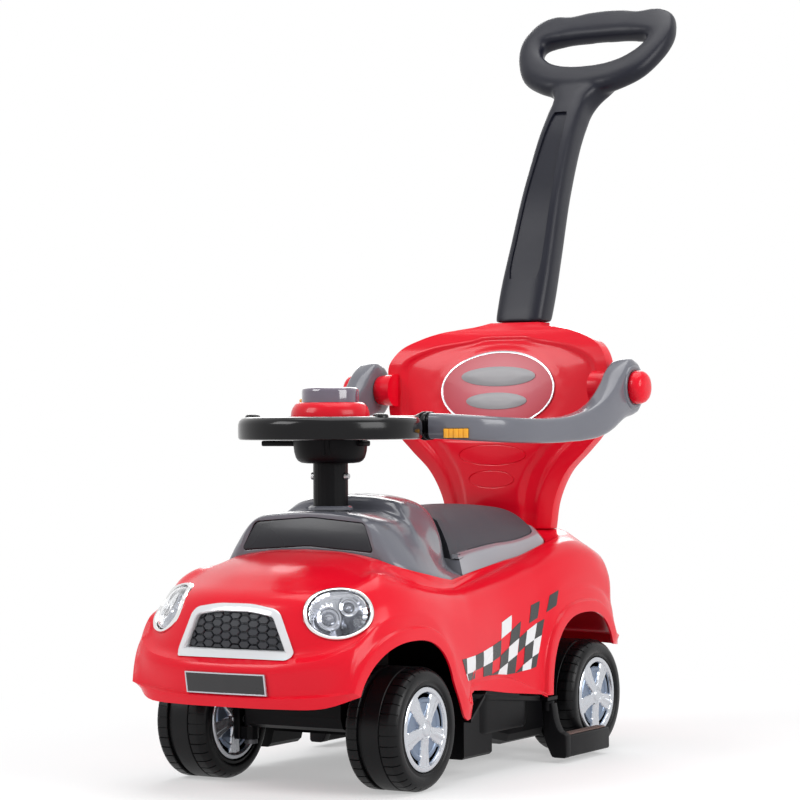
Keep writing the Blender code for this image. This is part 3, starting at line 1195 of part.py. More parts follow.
def badge(tree):
    """Oval badge and its ring, laid on the front of the backrest."""
    def ring(width, height, lift):
        points = []
        for i in range(28):
            turn = 2 * pi * i / 28
            p = at(width * cos(turn), 0.44, BADGE_Z + height * sin(turn))
            points.append(onto_skin(tree, p, Vector((0, 1, 0))) + Vector((0, -lift, 0)))
        return points
    w, h = BADGE_HALF_WIDTH, BADGE_HALF_HEIGHT
    plate = bmesh.new()
    inner_w, inner_h = w - 0.0045, h - 0.0045
    lines = grid(plate, [ring(0.5 * inner_w, 0.5 * inner_h, 0.0011), ring(inner_w, inner_h, 0.0010),
                         ring(inner_w, inner_h, 0.0020), ring(0.5 * inner_w, 0.5 * inner_h, 0.0023)],
                 close_around=True)
    plate.faces.new(lines[0])
    plate.faces.new(lines[-1])
    add_object("backrest_badge", plate, (0.42, 0.10, 0.12), roughness=0.2)
    frame = ring_solid([ring(w, h, 0.0009), ring(w, h, 0.0022), ring(w - 0.0020, h - 0.0020, 0.0030),
                        ring(w - 0.0040, h - 0.0040, 0.0022), ring(w - 0.0040, h - 0.0040, 0.0009)])
    add_object("badge_ring", frame, SILVER, roughness=0.2, metallic=0.6)


# One guard arm from behind its pivot to its front end:
# half width, distance, height, tallness, thickness
GUARD_LINE = [
    (0.1785, 0.4640, 0.4362, 0.0180, 0.0200), (0.1785, 0.4600, 0.4362, 0.0420, 0.0280),
    (0.1785, 0.4490, 0.4362, 0.0620, 0.0300), (0.1785, 0.4330, 0.4362, 0.0700, 0.0300),
    (0.1785, 0.4130, 0.4290, 0.0640, 0.0300), (0.1780, 0.3900, 0.4130, 0.0540, 0.0290),
    (0.1765, 0.3650, 0.4000, 0.0440, 0.0270), (0.1735, 0.3350, 0.3915, 0.0350, 0.0240),
    (0.1675, 0.3000, 0.3870, 0.0300, 0.0230), (0.1605, 0.2600, 0.3853, 0.0290, 0.0230),
    (0.1520, 0.2150, 0.3860, 0.0290, 0.0230), (0.1400, 0.1830, 0.3875, 0.0290, 0.0230),
    (0.1250, 0.1640, 0.3890, 0.0290, 0.0230), (0.1000, 0.1500, 0.3910, 0.0290, 0.0230),
    (0.0800, 0.1465, 0.3920, 0.0290, 0.0230),
]


def bar_section(point, run, width, height, bulge=0.0):
    """Rounded rectangular ring across a bar running level in a direction."""
    side = Vector((run.y, -run.x, 0)).normalized()
    points = []
    w, h = width / 2, height / 2
    for u, v in ((1, -0.55), (1, 0.55), (0.72, 0.95), (-0.72, 0.95), (-1, 0.55), (-1, -0.55),
                 (-0.72, -0.95), (0.72, -0.95)):
        points.append(point + side * (u * w) + Vector((0, 0, v * h / 0.95)))
    return points


def guard_arm(side, name):
    """Curved arm of the guard with its pivot cap and release button."""
    line = [Vector((across(x) * side, along(y), z)) for x, y, z, _, _ in GUARD_LINE]
    rings = []
    for i, (p, (_, y, _, tall, thick)) in enumerate(zip(line, GUARD_LINE)):
        run = line[min(i + 1, len(line) - 1)] - line[max(i - 1, 0)]
        if y >= GUARD_PIVOT_Y - 0.021:
            run = Vector((0, -1, 0))
        if i == len(line) - 1:
            run = Vector((-side, 0, 0))
        thick += GUARD_ARM_THICKNESS - 0.0230
        rings.append(bar_section(p, Vector((run.x, run.y, 0)), thick, tall))
    arm = add_object("guard_arm_" + name, tube_solid(rings), GREY, roughness=0.15, smooth_angle=40)
    pivot = Vector((side * across(GUARD_PIVOT_X), along(GUARD_PIVOT_Y), GUARD_PIVOT_Z))
    boolean(arm, add_cutter("arm_bore_" + name, rod(
        PIVOT_PIN_RADIUS + CLEARANCE, pivot - Vector((0.03, 0, 0)), pivot + Vector((0.03, 0, 0)), 16)))
    frame = button_place(side)
    pocket = add_cutter("button_pocket_" + name, block(
        (-BUTTON_LENGTH / 2 - RUNNING_GAP, -BUTTON_DEPTH - 0.003, -BUTTON_HEIGHT / 2 - RUNNING_GAP),
        (BUTTON_LENGTH / 2 + RUNNING_GAP, 0.02, BUTTON_HEIGHT / 2 + RUNNING_GAP)))
    pocket.matrix_world = frame
    boolean(arm, pocket)
    button = block((-BUTTON_LENGTH / 2, -BUTTON_DEPTH, -BUTTON_HEIGHT / 2),
                   (BUTTON_LENGTH / 2, BUTTON_PROUD, BUTTON_HEIGHT / 2), 0.0012)
    key = add_object("guard_button_" + name, button, ORANGE, roughness=0.3)
    key.matrix_world = frame
    inner = across(0.1425)
    outer = across(GUARD_PIVOT_X) + GUARD_BOSS_THICKNESS / 2 + 0.0005
    cap = turned([(0, inner), (PIVOT_PIN_RADIUS, inner), (PIVOT_PIN_RADIUS, outer),
                  (CAP_RADIUS, outer), (CAP_RADIUS, outer + CAP_DEPTH - 0.0075),
                  (CAP_RADIUS - 0.0030, outer + CAP_DEPTH - 0.0030),
                  (CAP_RADIUS - 0.0090, outer + CAP_DEPTH), (0, outer + CAP_DEPTH)], 20, 'X')
    if side < 0:
        cap.transform(Matrix.Diagonal((-1, 1, 1, 1)))
    cap.transform(Matrix.Translation((0, pivot.y, pivot.z)))
    add_object("guard_cap_" + name, cap, RED, roughness=0.12)
    return arm


def button_place(side):
    """Frame of a release button: origin on the arm's outer face, +Y pointing out of it."""
    a = Vector((side * across(0.1250), along(0.1640), 0))
    b = Vector((side * across(0.0900), along(0.1482), 0))
    run = (b - a).normalized()
    out = Vector((-run.y, run.x, 0)) * side
    if out.y > 0:
        out = -out
    middle = Vector((side * across(0.1070), along(0.1532), BUTTON_Z))
    spot = middle + out * (GUARD_ARM_THICKNESS / 2)
    level = out.cross(Vector((0, 0, 1)))
    frame = Matrix((level, out, Vector((0, 0, 1)))).transposed().to_4x4()
    return Matrix.Translation(spot) @ frame


def guard_front_bar():
    half = [(0.0794, 0.1465), (0.0745, 0.1470), (0.0740, 0.1472), (0.0665, 0.1508), (0.0660, 0.1512),
            (0.0450, 0.1632), (0.0220, 0.1712), (0, 0.1740)]
    sizes = [(0.0235, 0.0300), (0.0235, 0.0300), (0.0260, 0.0325), (0.0260, 0.0325),
             (0.0220, 0.0260), (0.0210, 0.0245), (0.0210, 0.0240), (0.0210, 0.0240)]
    points = [(Vector((-across(x), along(y), 0.3920)), s) for (x, y), s in zip(half, sizes)]
    points += [(Vector((-p.x, p.y, p.z)), s) for p, s in reversed(points[:-1])]
    rings = []
    for i, (p, (w, h)) in enumerate(points):
        before, after = points[max(i - 1, 0)][0], points[min(i + 1, len(points) - 1)][0]
        run = after - before if 0 < i < len(points) - 1 else Vector((1, 0, 0))
        rings.append(bar_section(p, run, w, h))
    add_object("guard_front_bar", tube_solid(rings), BLACK, roughness=0.3, smooth_angle=35)


# Stem of the push handle: distance behind the front axle, height, width, depth
STEM_LINE = [
    (0.5120, 0.4800, 0.0500, 0.0240), (0.5120, 0.5100, 0.0500, 0.0240),
    (0.5120, 0.5206, 0.0500, 0.0240), (0.5135, 0.5207, 0.0680, 0.0430),
    (0.5270, 0.5560, 0.0690, 0.0440), (0.5520, 0.6180, 0.0640, 0.0440),
    (0.5770, 0.6800, 0.0580, 0.0440), (0.5970, 0.7200, 0.0540, 0.0440),
    (0.6175, 0.7570, 0.0510, 0.0440), (0.6370, 0.7840, 0.0490, 0.0440),
    (0.6566, 0.8075, 0.0480, 0.0440), (0.6860, 0.8450, 0.0500, 0.0340),
]


def stem_rings(line, grow=0.0):
    rings = []
    for i, (y, z, width, depth) in enumerate(line):
        before, after = line[max(i - 1, 0)], line[min(i + 1, len(line) - 1)]
        run = Vector((0, after[0] - before[0], after[1] - before[1]))
        if i <= 3:
            run = Vector((0, 0, 1))
        run.normalize()
        out = Vector((0, run.z, -run.y))
        w, d = width / 2 + grow, depth / 2 + grow
        middle = Vector((0, along(y), z))
        rings.append([middle + Vector((u * w, 0, 0)) + out * (v * d) for u, v in
                      ((-0.86, -1), (0.86, -1), (1, -0.78), (1, 0.78), (0.86, 1), (-0.86, 1),
                       (-1, 0.78), (-1, -0.78))])
    return rings


def tongue(grow, deeper):
    """Socket in the backrest that takes the foot of the handle."""
    rings = stem_rings(STEM_LINE[:3], grow)
    for p in rings[0]:
        p.z -= deeper
    for p in rings[-1]:
        p.z += 0.01
    return tube_solid(rings)


GRIP_OUTER = [(0, -0.0300), (0.0350, -0.0250), (0.0600, -0.0160), (0.0885, 0.0050),
              (0.1060, 0.0400), (0.1120, 0.0700), (0.1090, 0.0930), (0.1000, 0.1130),
              (0.0790, 0.1245), (0.0530, 0.1215), (0.0280, 0.1265), (0, 0.1290)]
GRIP_HOLE = [(0, 0.0200), (0.0260, 0.0215), (0.0500, 0.0290), (0.0690, 0.0450), (0.0765, 0.0620),
             (0.0725, 0.0720), (0.0550, 0.0755), (0.0315, 0.0775), (0, 0.0780)]


def at_angle(outline, centre, turn):
    """Point where a line from the centre at an angle meets a closed outline."""
    way = Vector((cos(turn), sin(turn)))
    best = None
    for a, b in zip(outline, outline[1:] + outline[:1]):
        edge = b - a
        cross = way.x * edge.y - way.y * edge.x
        if abs(cross) < 1e-12:
            continue
        rel = a - centre
        t = (rel.x * edge.y - rel.y * edge.x) / cross
        s = (rel.x * way.y - rel.y * way.x) / cross
        if t > 0 and -1e-9 <= s <= 1 + 1e-9 and (best is None or t > best):
            best = t
    return centre + way * best


def push_handle():
    handle = add_object("push_handle", tube_solid(stem_rings(STEM_LINE)), DARK_GREY,
                        roughness=0.35, smooth_angle=40)
    tilt = radians(GRIP_TILT)
    up = Vector((0, sin(tilt), cos(tilt)))
    out = Vector((0, -cos(tilt), sin(tilt)))
    foot = Vector((0, along(0.6800), 0.8450))
    stretch = GRIP_HALF_WIDTH / 0.1120

    def closed(half):
        fine = spline([(x * stretch, y, 0) for x, y in half], 24)
        half = [Vector((p.x, p.y)) for p in fine]
        return half + [Vector((-p.x, p.y)) for p in reversed(half[1:-1])]

    outer, hole = closed(GRIP_OUTER), closed(GRIP_HOLE)
    centre = Vector((0, 0.0520))
    rings = []
    count = 32
    for i in range(count):
        turn = 2 * pi * (i + 0.5) / count
        o, h = at_angle(outer, centre, turn), at_angle(hole, centre, turn)
        ring = []
        for u, v in ((0, -0.45), (0, 0.45), (0.22, 0.92), (0.5, 1.0), (0.78, 0.92), (1, 0.45),
                     (1, -0.45), (0.78, -0.92), (0.5, -1.0), (0.22, -0.92)):
            q = h.lerp(o, u)
            ring.append(foot + Vector((q.x, 0, 0)) + up * q.y + out * (v * GRIP_THICKNESS / 2))
        rings.append(ring)
    loop = bmesh.new()
    lines = grid(loop, rings + rings[:1], close_around=True)
    bmesh.ops.remove_doubles(loop, verts=loop.verts, dist=1e-7)
    boolean(handle, add_cutter("grip_loop", loop), 'UNION')
    return handle


def footrest(side, name):
    """Folding side step: a bracket that swings out from beside the rear wheel."""
    hx, hy = FOOTREST_HINGE
    hinge = at(side * hx, hy, 0)
    top = LUG_LOW - 0.0006
    boss = turned([(0, 0.0600), (0.0072, 0.0600), (0.0072, top), (0.0030, top),
                   (0.0030, LUG_HIGH + 0.0004), (0, LUG_HIGH + 0.0004)], 14)
    body = add_object("footrest_" + name, boss, BLACK, roughness=0.4)
    body.location = (hinge.x, hinge.y, 0)
    inner, outer = STEP_INNER - hx, STEP_OUTER - hx
    outline = [(-0.0040, 0.0690), (-0.0020, 0.0300), (inner - 0.0030, STEP_LOW + 0.0030),
               (inner + 0.0020, STEP_LOW), (outer - 0.0020, STEP_LOW), (outer, STEP_LOW + 0.0030),
               (outer, STEP_HIGH), (outer - 0.0060, STEP_HIGH + 0.0020), (0.0120, 0.0500),
               (0.0080, 0.0690)]
    facing = Matrix(((side, 0, 0, 0), (0, 0, 1, 0), (0, 1, 0, 0), (0, 0, 0, 1)))
    drop = prism([Vector(p) for p in outline], 0.0130,
                 Matrix.Translation((hinge.x, hinge.y + 0.0008, 0)) @ facing)
    boolean(body, add_cutter("footrest_drop_" + name, drop), 'UNION')
    low, high = STEP_LOW + 0.0006, STEP_HIGH
    outline = [(inner + 0.0022, low), (outer - 0.0022, low), (outer - 0.0004, low + 0.0026),
               (outer - 0.0004, high - 0.0016), (outer - 0.0016, high - 0.0004),
               (inner + 0.0016, high - 0.0004), (inner + 0.0004, high - 0.0016),
               (inner + 0.0004, low + 0.0026)]
    shelf = prism([Vector(p) for p in outline], STEP_LENGTH - 0.001,
                  Matrix.Translation((hinge.x, hinge.y + 0.0006 + STEP_LENGTH / 2, 0)) @ facing)
    boolean(body, add_cutter("footrest_shelf_" + name, shelf), 'UNION')
    strip = block((hinge.x + side * (inner + 0.003), hinge.y + 0.010, STEP_HIGH - 0.0001),
                  (hinge.x + side * (outer - 0.003), hinge.y + STEP_LENGTH - 0.006,
                   STEP_HIGH + 0.0018))
    add_object("footrest_tread_" + name, strip, (0.16, 0.10, 0.09), roughness=0.8)
    return body


def rear_axle():
    end = WHEEL_X + 0.0255
    axle = turned([(0, -end), (0.0070, -end), (0.0082, 0.0025 - end), (AXLE_RADIUS, 0.0025 - end),
                   (AXLE_RADIUS, end - 0.0025), (0.0082, end - 0.0025), (0.0070, end), (0, end)],
                  14, 'X', (0, REAR_AXLE_Y, TYRE_RADIUS))
    add_object("rear_axle", axle, SILVER, roughness=0.3, metallic=1.0)


def main():
    clear_scene()
    skin = outer_skin()
    tree = BVHTree.FromBMesh(skin)
    lamps = {"left": Lamp(tree, 1), "right": Lamp(tree, -1)}
    grille = Grille(tree)
    for name, lamp in lamps.items():
        headlight(lamp, name)
    grille_set(grille)
    number_plate(tree)
    body_shell(skin, lamps, grille)
    chassis()
    cowl_cover()
    windscreen_panel()
    column_collar()
    seat_lid()
    seat_pad()
    for side, name in ((1, "left"), (-1, "right")):
        knuckle(side, name)
        guard_arm(side, name)
        footrest(side, name)
        wheel(side, FRONT_AXLE_Y, "front_" + name, True)
        wheel(side, REAR_AXLE_Y, "rear_" + name, False)
    tie_rod()
    rear_axle()
    steering_column()
    steering_wheel()
    rest = backrest()
    badge(BVHTree.FromPolygons([v.co for v in rest.data.vertices],
                               [p.vertices for p in rest.data.polygons]))
    guard_front_bar()
    push_handle()


if __name__ == "__main__":
    main()
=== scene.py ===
"""Ride-on push car: detailed pieces, finishes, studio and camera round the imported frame."""
from math import atan2, cos, pi, radians, sin, sqrt

import bmesh
import bpy
from mathutils import Matrix, Vector
from mathutils.bvhtree import BVHTree


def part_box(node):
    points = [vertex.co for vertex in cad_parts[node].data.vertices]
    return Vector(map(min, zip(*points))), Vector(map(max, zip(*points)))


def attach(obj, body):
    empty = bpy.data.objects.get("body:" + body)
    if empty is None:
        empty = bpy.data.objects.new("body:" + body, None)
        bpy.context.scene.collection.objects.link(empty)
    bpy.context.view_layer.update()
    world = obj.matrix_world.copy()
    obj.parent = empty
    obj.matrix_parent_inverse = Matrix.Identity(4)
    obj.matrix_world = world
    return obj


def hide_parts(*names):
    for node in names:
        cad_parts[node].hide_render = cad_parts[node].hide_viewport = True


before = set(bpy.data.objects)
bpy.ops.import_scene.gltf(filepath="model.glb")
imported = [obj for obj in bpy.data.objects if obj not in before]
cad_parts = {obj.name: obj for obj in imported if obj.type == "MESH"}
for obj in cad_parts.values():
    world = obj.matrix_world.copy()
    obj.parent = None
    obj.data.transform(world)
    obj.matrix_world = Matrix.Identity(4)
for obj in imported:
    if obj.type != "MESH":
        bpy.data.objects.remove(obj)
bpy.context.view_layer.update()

bl_info = {
    "name": "Ride-on push car",
    "version": (1, 0, 0),
    "blender": (4, 5, 0),
    "location": "3D View > Sidebar > Push car",
    "description": "Moulded ride-on push car with steering, guard ring and push handle",
    "category": "Add Mesh",
}

# Sizes shared with the frame, in metres
AXLE_Y = -0.306
WHEEL_X = 0.12275
TYRE_RADIUS = 0.067
HALF_TYRE = 0.03225
REAR_AXLE_Y = AXLE_Y + 0.407
WHEELS = [("front_left", 1, AXLE_Y), ("front_right", -1, AXLE_Y),
          ("rear_left", 1, REAR_AXLE_Y), ("rear_right", -1, REAR_AXLE_Y)]
SIDES = ((1, "left"), (-1, "right"))
MIRROR = Matrix.Diagonal((-1, 1, 1, 1))
COLUMN_Y = AXLE_Y + 0.055
BADGE_Z = 0.436
GUARD_PIVOT_X, GUARD_PIVOT_Y, GUARD_PIVOT_Z = 0.1785, 0.433, 0.4362


def length_property(label, about, value, low, high):
    return bpy.props.FloatProperty(name=label, description=about, default=value, min=low,
                                   max=high, unit='LENGTH', subtype='DISTANCE')


class PushCarSizes(bpy.types.PropertyGroup):
    """Sizes of the fine details"""
    lug_depth: length_property("Lug depth", "Depth of the slits between the tread lugs",
                               0.0014, 0.0002, 0.003)
    lug_count: bpy.props.IntProperty(
        name="Lugs", description="Tread lugs round each tyre", default=36, min=12, max=60)
    edge_round: length_property("Edge rounding", "Rounding of the moulded edges of the body",
                                0.0011, 0.0002, 0.003)
    panel_depth: length_property("Backrest panel depth",
                                 "How far the backrest's inner panel is set in",
                                 0.0036, 0.001, 0.006)
    foil_lift: length_property("Foil lift", "How far the chequer foils stand off the body",
                               0.00025, 0.0001, 0.001)
    cell_width: length_property("Grille cell width", "Pitch of the grille's cells across the nose",
                                0.015, 0.006, 0.03)
    cell_height: length_property("Grille row height", "Pitch of the grille's rows of cells",
                                 0.0088, 0.003, 0.014)


def colour_property(label, about, value):
    return bpy.props.FloatVectorProperty(name=label, description=about, default=value,
                                         min=0.0, max=1.0, size=3, subtype='COLOR')


class PushCarColours(bpy.types.PropertyGroup):
    """Colours of the mouldings"""
    body: colour_property("Body", "Red of the body, backrest and caps", (0.75, 0.0032, 0.018))
    trim: colour_property("Trim", "Grey of the cowl, seat lid and guard arms",
                          (0.14, 0.143, 0.168))
    handle: colour_property("Handle", "Dark grey of the push handle", (0.0085, 0.0092, 0.0165))
    seat: colour_property("Seat", "Matte grey of the seat pad", (0.04, 0.041, 0.051))
    black: colour_property("Black", "Black of the chassis and steering", (0.0032, 0.003, 0.0038))
    tyre: colour_property("Tyre", "Black of the tyres", (0.0058, 0.0058, 0.0066))
    silver: colour_property("Silver", "Silver of the wheel covers", (0.58, 0.60, 0.64))
    key: colour_property("Keys", "Orange of the push keys", (0.90, 0.40, 0.012))


def sizes():
    return bpy.context.scene.push_car_sizes


def colours():
    return bpy.context.scene.push_car_colours


# Materials

def give(node, values):
    """Set a node's plain inputs by name."""
    for key, value in values.items():
        node.inputs[key].default_value = value


def add(nodes, kind, values=None, **settings):
    """A new node with its settings and its plain inputs."""
    node = nodes.new('ShaderNode' + kind)
    for key, value in settings.items():
        setattr(node, key, value)
    give(node, values or {})
    return node


def join(links, *rows):
    """Link nodes; each row is a node, its output, the next node and its input."""
    for source, output, target, entry in rows:
        links.new(source.outputs[output], target.inputs[entry])


def blank_material(name):
    """A new material with its nodes, links and shader."""
    material = bpy.data.materials.new(name)
    material.use_nodes = True
    tree = material.node_tree
    return material, tree.nodes, tree.links, tree.nodes["Principled BSDF"]


def skin_group():
    """Shared look of a moulded surface: cloudy shade, uneven gloss and fine grain."""
    known = bpy.data.node_groups.get("moulded_skin")
    if known:
        return known
    group = bpy.data.node_groups.new("moulded_skin", 'ShaderNodeTree')
    for label, kind, value in (("Colour", 'Color', (0.5, 0.5, 0.5, 1.0)),
                               ("Shade", 'Color', (0.4, 0.4, 0.4, 1.0)),
                               ("Cloud Scale", 'Float', 9.0), ("Grain Scale", 'Float', 900.0),
                               ("Smooth", 'Float', 0.2), ("Rough", 'Float', 0.3)):
        socket = group.interface.new_socket(label, in_out='INPUT', socket_type='NodeSocket' + kind)
        socket.default_value = value
    for label, kind in (("Colour", 'Color'), ("Roughness", 'Float'), ("Height", 'Float')):
        group.interface.new_socket(label, in_out='OUTPUT', socket_type='NodeSocket' + kind)
    nodes = group.nodes
    given = nodes.new('NodeGroupInput')
    result = nodes.new('NodeGroupOutput')
    place = add(nodes, 'TexCoord')
    cloud = add(nodes, 'TexNoise', {"Detail": 3.0})
    mix = add(nodes, 'Mix', data_type='RGBA')
    spread = add(nodes, 'MapRange', {"From Min": 0.3, "From Max": 0.7})
    grain = add(nodes, 'TexNoise', {"Detail": 2.0})
    join(group.links, (place, "Object", cloud, "Vector"), (given, "Cloud Scale", cloud, "Scale"),
         (cloud, "Fac", mix, "Factor"), (given, "Shade", mix, "A"), (given, "Colour", mix, "B"),
         (mix, "Result", result, "Colour"), (cloud, "Fac", spread, "Value"),
         (given, "Smooth", spread, "To Min"), (given, "Rough", spread, "To Max"),
         (spread, "Result", result, "Roughness"), (place, "Object", grain, "Vector"),
         (given, "Grain Scale", grain, "Scale"), (grain, "Fac", result, "Height"))
    return group


def finish(name, colour, smooth, rough, shade=0.86, cloud=9.0, grain=900.0, bump=0.05,
           metallic=0.0, coat=0.0, coat_roughness=0.06, specular=0.5):
    """A moulded plastic or metal finish built on the shared skin."""
    known = bpy.data.materials.get(name)
    if known:
        return known
    material, nodes, links, shader = blank_material(name)
    skin = add(nodes, 'Group', {"Colour": (*colour, 1.0),
                                "Shade": (*(c * shade for c in colour), 1.0),
                                "Cloud Scale": cloud, "Grain Scale": grain,
                                "Smooth": smooth, "Rough": rough}, node_tree=skin_group())
    height = add(nodes, 'Bump', {"Strength": bump, "Distance": 0.001})
    join(links, (skin, "Colour", shader, "Base Color"), (skin, "Roughness", shader, "Roughness"),
         (skin, "Height", height, "Height"), (height, "Normal", shader, "Normal"))
    give(shader, {"Metallic": metallic, "Coat Weight": coat, "Coat Roughness": coat_roughness,
                  "Specular IOR Level": specular})
    return material


def red():
    return finish("body_red", colours().body, 0.20, 0.27, shade=0.93, cloud=5.0, grain=160.0,
                  coat=0.13, specular=0.18)


def trim_grey():
    return finish("trim_grey", colours().trim, 0.17, 0.24, shade=0.88, grain=260.0, bump=0.04,
                  coat=0.30, specular=0.35)


def handle_grey():
    return finish("handle_grey", colours().handle, 0.30, 0.40, grain=1500.0, bump=0.10,
                  specular=0.24)


def seat_grey():
    return finish("seat_grey", colours().seat, 0.52, 0.64, shade=0.9, grain=1100.0, bump=0.35)


def black():
    return finish("moulded_black", colours().black, 0.34, 0.46, grain=1100.0, bump=0.12,
                  specular=0.11)


def black_gloss():
    return finish("gloss_black", colours().black, 0.14, 0.22, grain=300.0, bump=0.03, coat=0.12,
                  specular=0.18)


def tyre_black():
    return finish("tyre_black", colours().tyre, 0.26, 0.40, grain=1300.0, bump=0.14, specular=0.18)


def silver():
    return finish("cover_silver", colours().silver, 0.16, 0.26, metallic=0.75, grain=700.0,
                  bump=0.03, coat=0.3)


# Darker, bluer metal for the covers' recesses: painted shade in the recesses of the silver cover.
def recess_painted_shade():
    return finish("cover_recess", (0.20, 0.25, 0.34), 0.25, 0.40, metallic=0.7, bump=0.08)


def chrome():
    return finish("bright_trim", (0.80, 0.81, 0.83), 0.10, 0.18, metallic=0.50, shade=0.94,
                  grain=200.0, bump=0.02, coat=0.5, coat_roughness=0.04)


def lamp_silver():
    return finish("lamp_silver", (0.50, 0.51, 0.54), 0.08, 0.16, metallic=0.95, shade=0.75,
                  cloud=60.0, grain=200.0, bump=0.02)


def steel():
    return finish("zinc_steel", (0.52, 0.52, 0.53), 0.28, 0.42, metallic=1.0, bump=0.1)


def dark_steel():
    return finish("dark_steel", (0.09, 0.09, 0.10), 0.30, 0.42, metallic=1.0, bump=0.1)


def orange():
    return finish("key_orange", colours().key, 0.20, 0.30, shade=0.88, grain=400.0, bump=0.04,
                  coat=0.3)


def smoke():
    return finish("horn_smoke", (0.145, 0.115, 0.165), 0.07, 0.14, shade=0.75, cloud=14.0,
                  grain=300.0, bump=0.02, coat=0.8, coat_roughness=0.04)


def screen_black():
    return finish("windscreen_dark", (0.013, 0.014, 0.019), 0.26, 0.34, grain=250.0, bump=0.03,
                  coat=0.06, coat_roughness=0.10, specular=0.26)


def grip_brown():
    return finish("grip_brown", (0.15, 0.098, 0.085), 0.70, 0.85, shade=0.8, cloud=60.0,
                  grain=1600.0, bump=0.4)


def foil_black():
    return finish("foil_black", (0.028, 0.029, 0.03), 0.22, 0.30, shade=0.94, grain=500.0,
                  bump=0.03)


def foil_white():
    return finish("foil_white", (0.76, 0.76, 0.77), 0.22, 0.30, shade=0.97, grain=500.0, bump=0.03)


def clear_lens():
    """Clear moulded plastic; only plain numbers drive the glass."""
    known = bpy.data.materials.get("clear_lens")
    if known:
        return known
    material, nodes, links, shader = blank_material("clear_lens")
    give(shader, {"Base Color": (0.97, 0.98, 1.0, 1.0), "Transmission Weight": 1.0, "IOR": 1.18})
    place = add(nodes, 'TexCoord')
    grain = add(nodes, 'TexNoise', {"Scale": 120.0})
    spread = add(nodes, 'MapRange', {"To Min": 0.02, "To Max": 0.07})
    height = add(nodes, 'Bump', {"Strength": 0.06, "Distance": 0.001})
    join(links, (place, "Object", grain, "Vector"), (grain, "Fac", spread, "Value"),
         (spread, "Result", shader, "Roughness"), (grain, "Fac", height, "Height"),
         (height, "Normal", shader, "Normal"))
    return material


# Modelling helpers

def deselect():
    if bpy.context.object and bpy.context.object.mode != 'OBJECT':
        bpy.ops.object.mode_set(mode='OBJECT')
    bpy.ops.object.select_all(action='DESELECT')


def pick(piece):
    deselect()
    piece.select_set(True)
    bpy.context.view_layer.objects.active = piece


def modify(piece, kind, **values):
    """Add a modifier with its values and apply it."""
    pick(piece)
    step = piece.modifiers.new(kind.lower(), kind)
    for key, value in values.items():
        setattr(step, key, value)
    bpy.ops.object.modifier_apply(modifier=step.name)


def remove(piece):
    bpy.data.objects.remove(piece, do_unlink=True)


def cut(piece, cutter, operation='DIFFERENCE'):
    modify(piece, 'BOOLEAN', operation=operation, object=cutter, solver='EXACT')
    remove(cutter)


def unify(pieces):
    """Join pieces into the first one."""
    deselect()
    for piece in pieces:
        piece.select_set(True)
    bpy.context.view_layer.objects.active = pieces[0]
    if len(pieces) > 1:
        bpy.ops.object.join()
    return pieces[0]


def hand_in(piece, name, body, finishes, replaced=None, angle=35):
    """Name, shade, paint and place a finished piece on its body."""
    piece.name = name
    piece.data.name = name
    pick(piece)
    bpy.ops.object.shade_smooth_by_angle(angle=radians(angle))
    finishes = finishes if isinstance(finishes, list) else [finishes]
    slots = [polygon.material_index for polygon in piece.data.polygons]
    piece.data.materials.clear()
    for material in finishes:
        piece.data.materials.append(material)
    for polygon, index in zip(piece.data.polygons, slots):
        polygon.material_index = min(index, len(finishes) - 1)
    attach(piece, body)
    if replaced:
        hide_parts(replaced)


def round_edges(piece, width, degrees, segments=3):
    """Bevel the edges sharper than an angle."""
    modify(piece, 'BEVEL', width=width, segments=segments, limit_method='ANGLE',
           angle_limit=radians(degrees))


def edit(piece, action='SELECT'):
    """Open a piece in edit mode with all of it selected, or none."""
    pick(piece)
    bpy.ops.object.mode_set(mode='EDIT')
    bpy.ops.mesh.select_all(action=action)


def piece_of(name, mesh):
    """Put a mesh in the scene as a new piece."""
    piece = bpy.data.objects.new(name, mesh)
    bpy.context.scene.collection.objects.link(piece)
    return piece


def built(name, bm):
    """Close mesh code and put its mesh in the scene as a new piece."""
    mesh = bpy.data.meshes.new(name)
    bm.to_mesh(mesh)
    bm.free()
    return piece_of(name, mesh)


def placed(piece, place):
    """Move, turn or mirror a piece's mesh, its faces still outward."""
    piece.data.transform(place)
    if place.determinant() < 0:
        piece.data.flip_normals()
    return piece


def sided(piece, side):
    """Mirror a piece across the car where its side is the right."""
    return placed(piece, MIRROR) if side < 0 else piece


def tree_of(piece):
    """Ray target of a piece's mesh."""
    return BVHTree.FromPolygons([v.co for v in piece.data.vertices],
                                [p.vertices for p in piece.data.polygons])


def round_turn(count, start=0.0):
    """Cosine and sine of evenly spaced angles round a circle, from some steps in."""
    angles = [2 * pi * (i + start) / count for i in range(count)]
    return [(cos(a), sin(a)) for a in angles]


def bulge(value, power):
    """A sine or cosine raised to a power, with its sign kept."""
    return (1 if value > 0 else -1) * abs(value) ** power


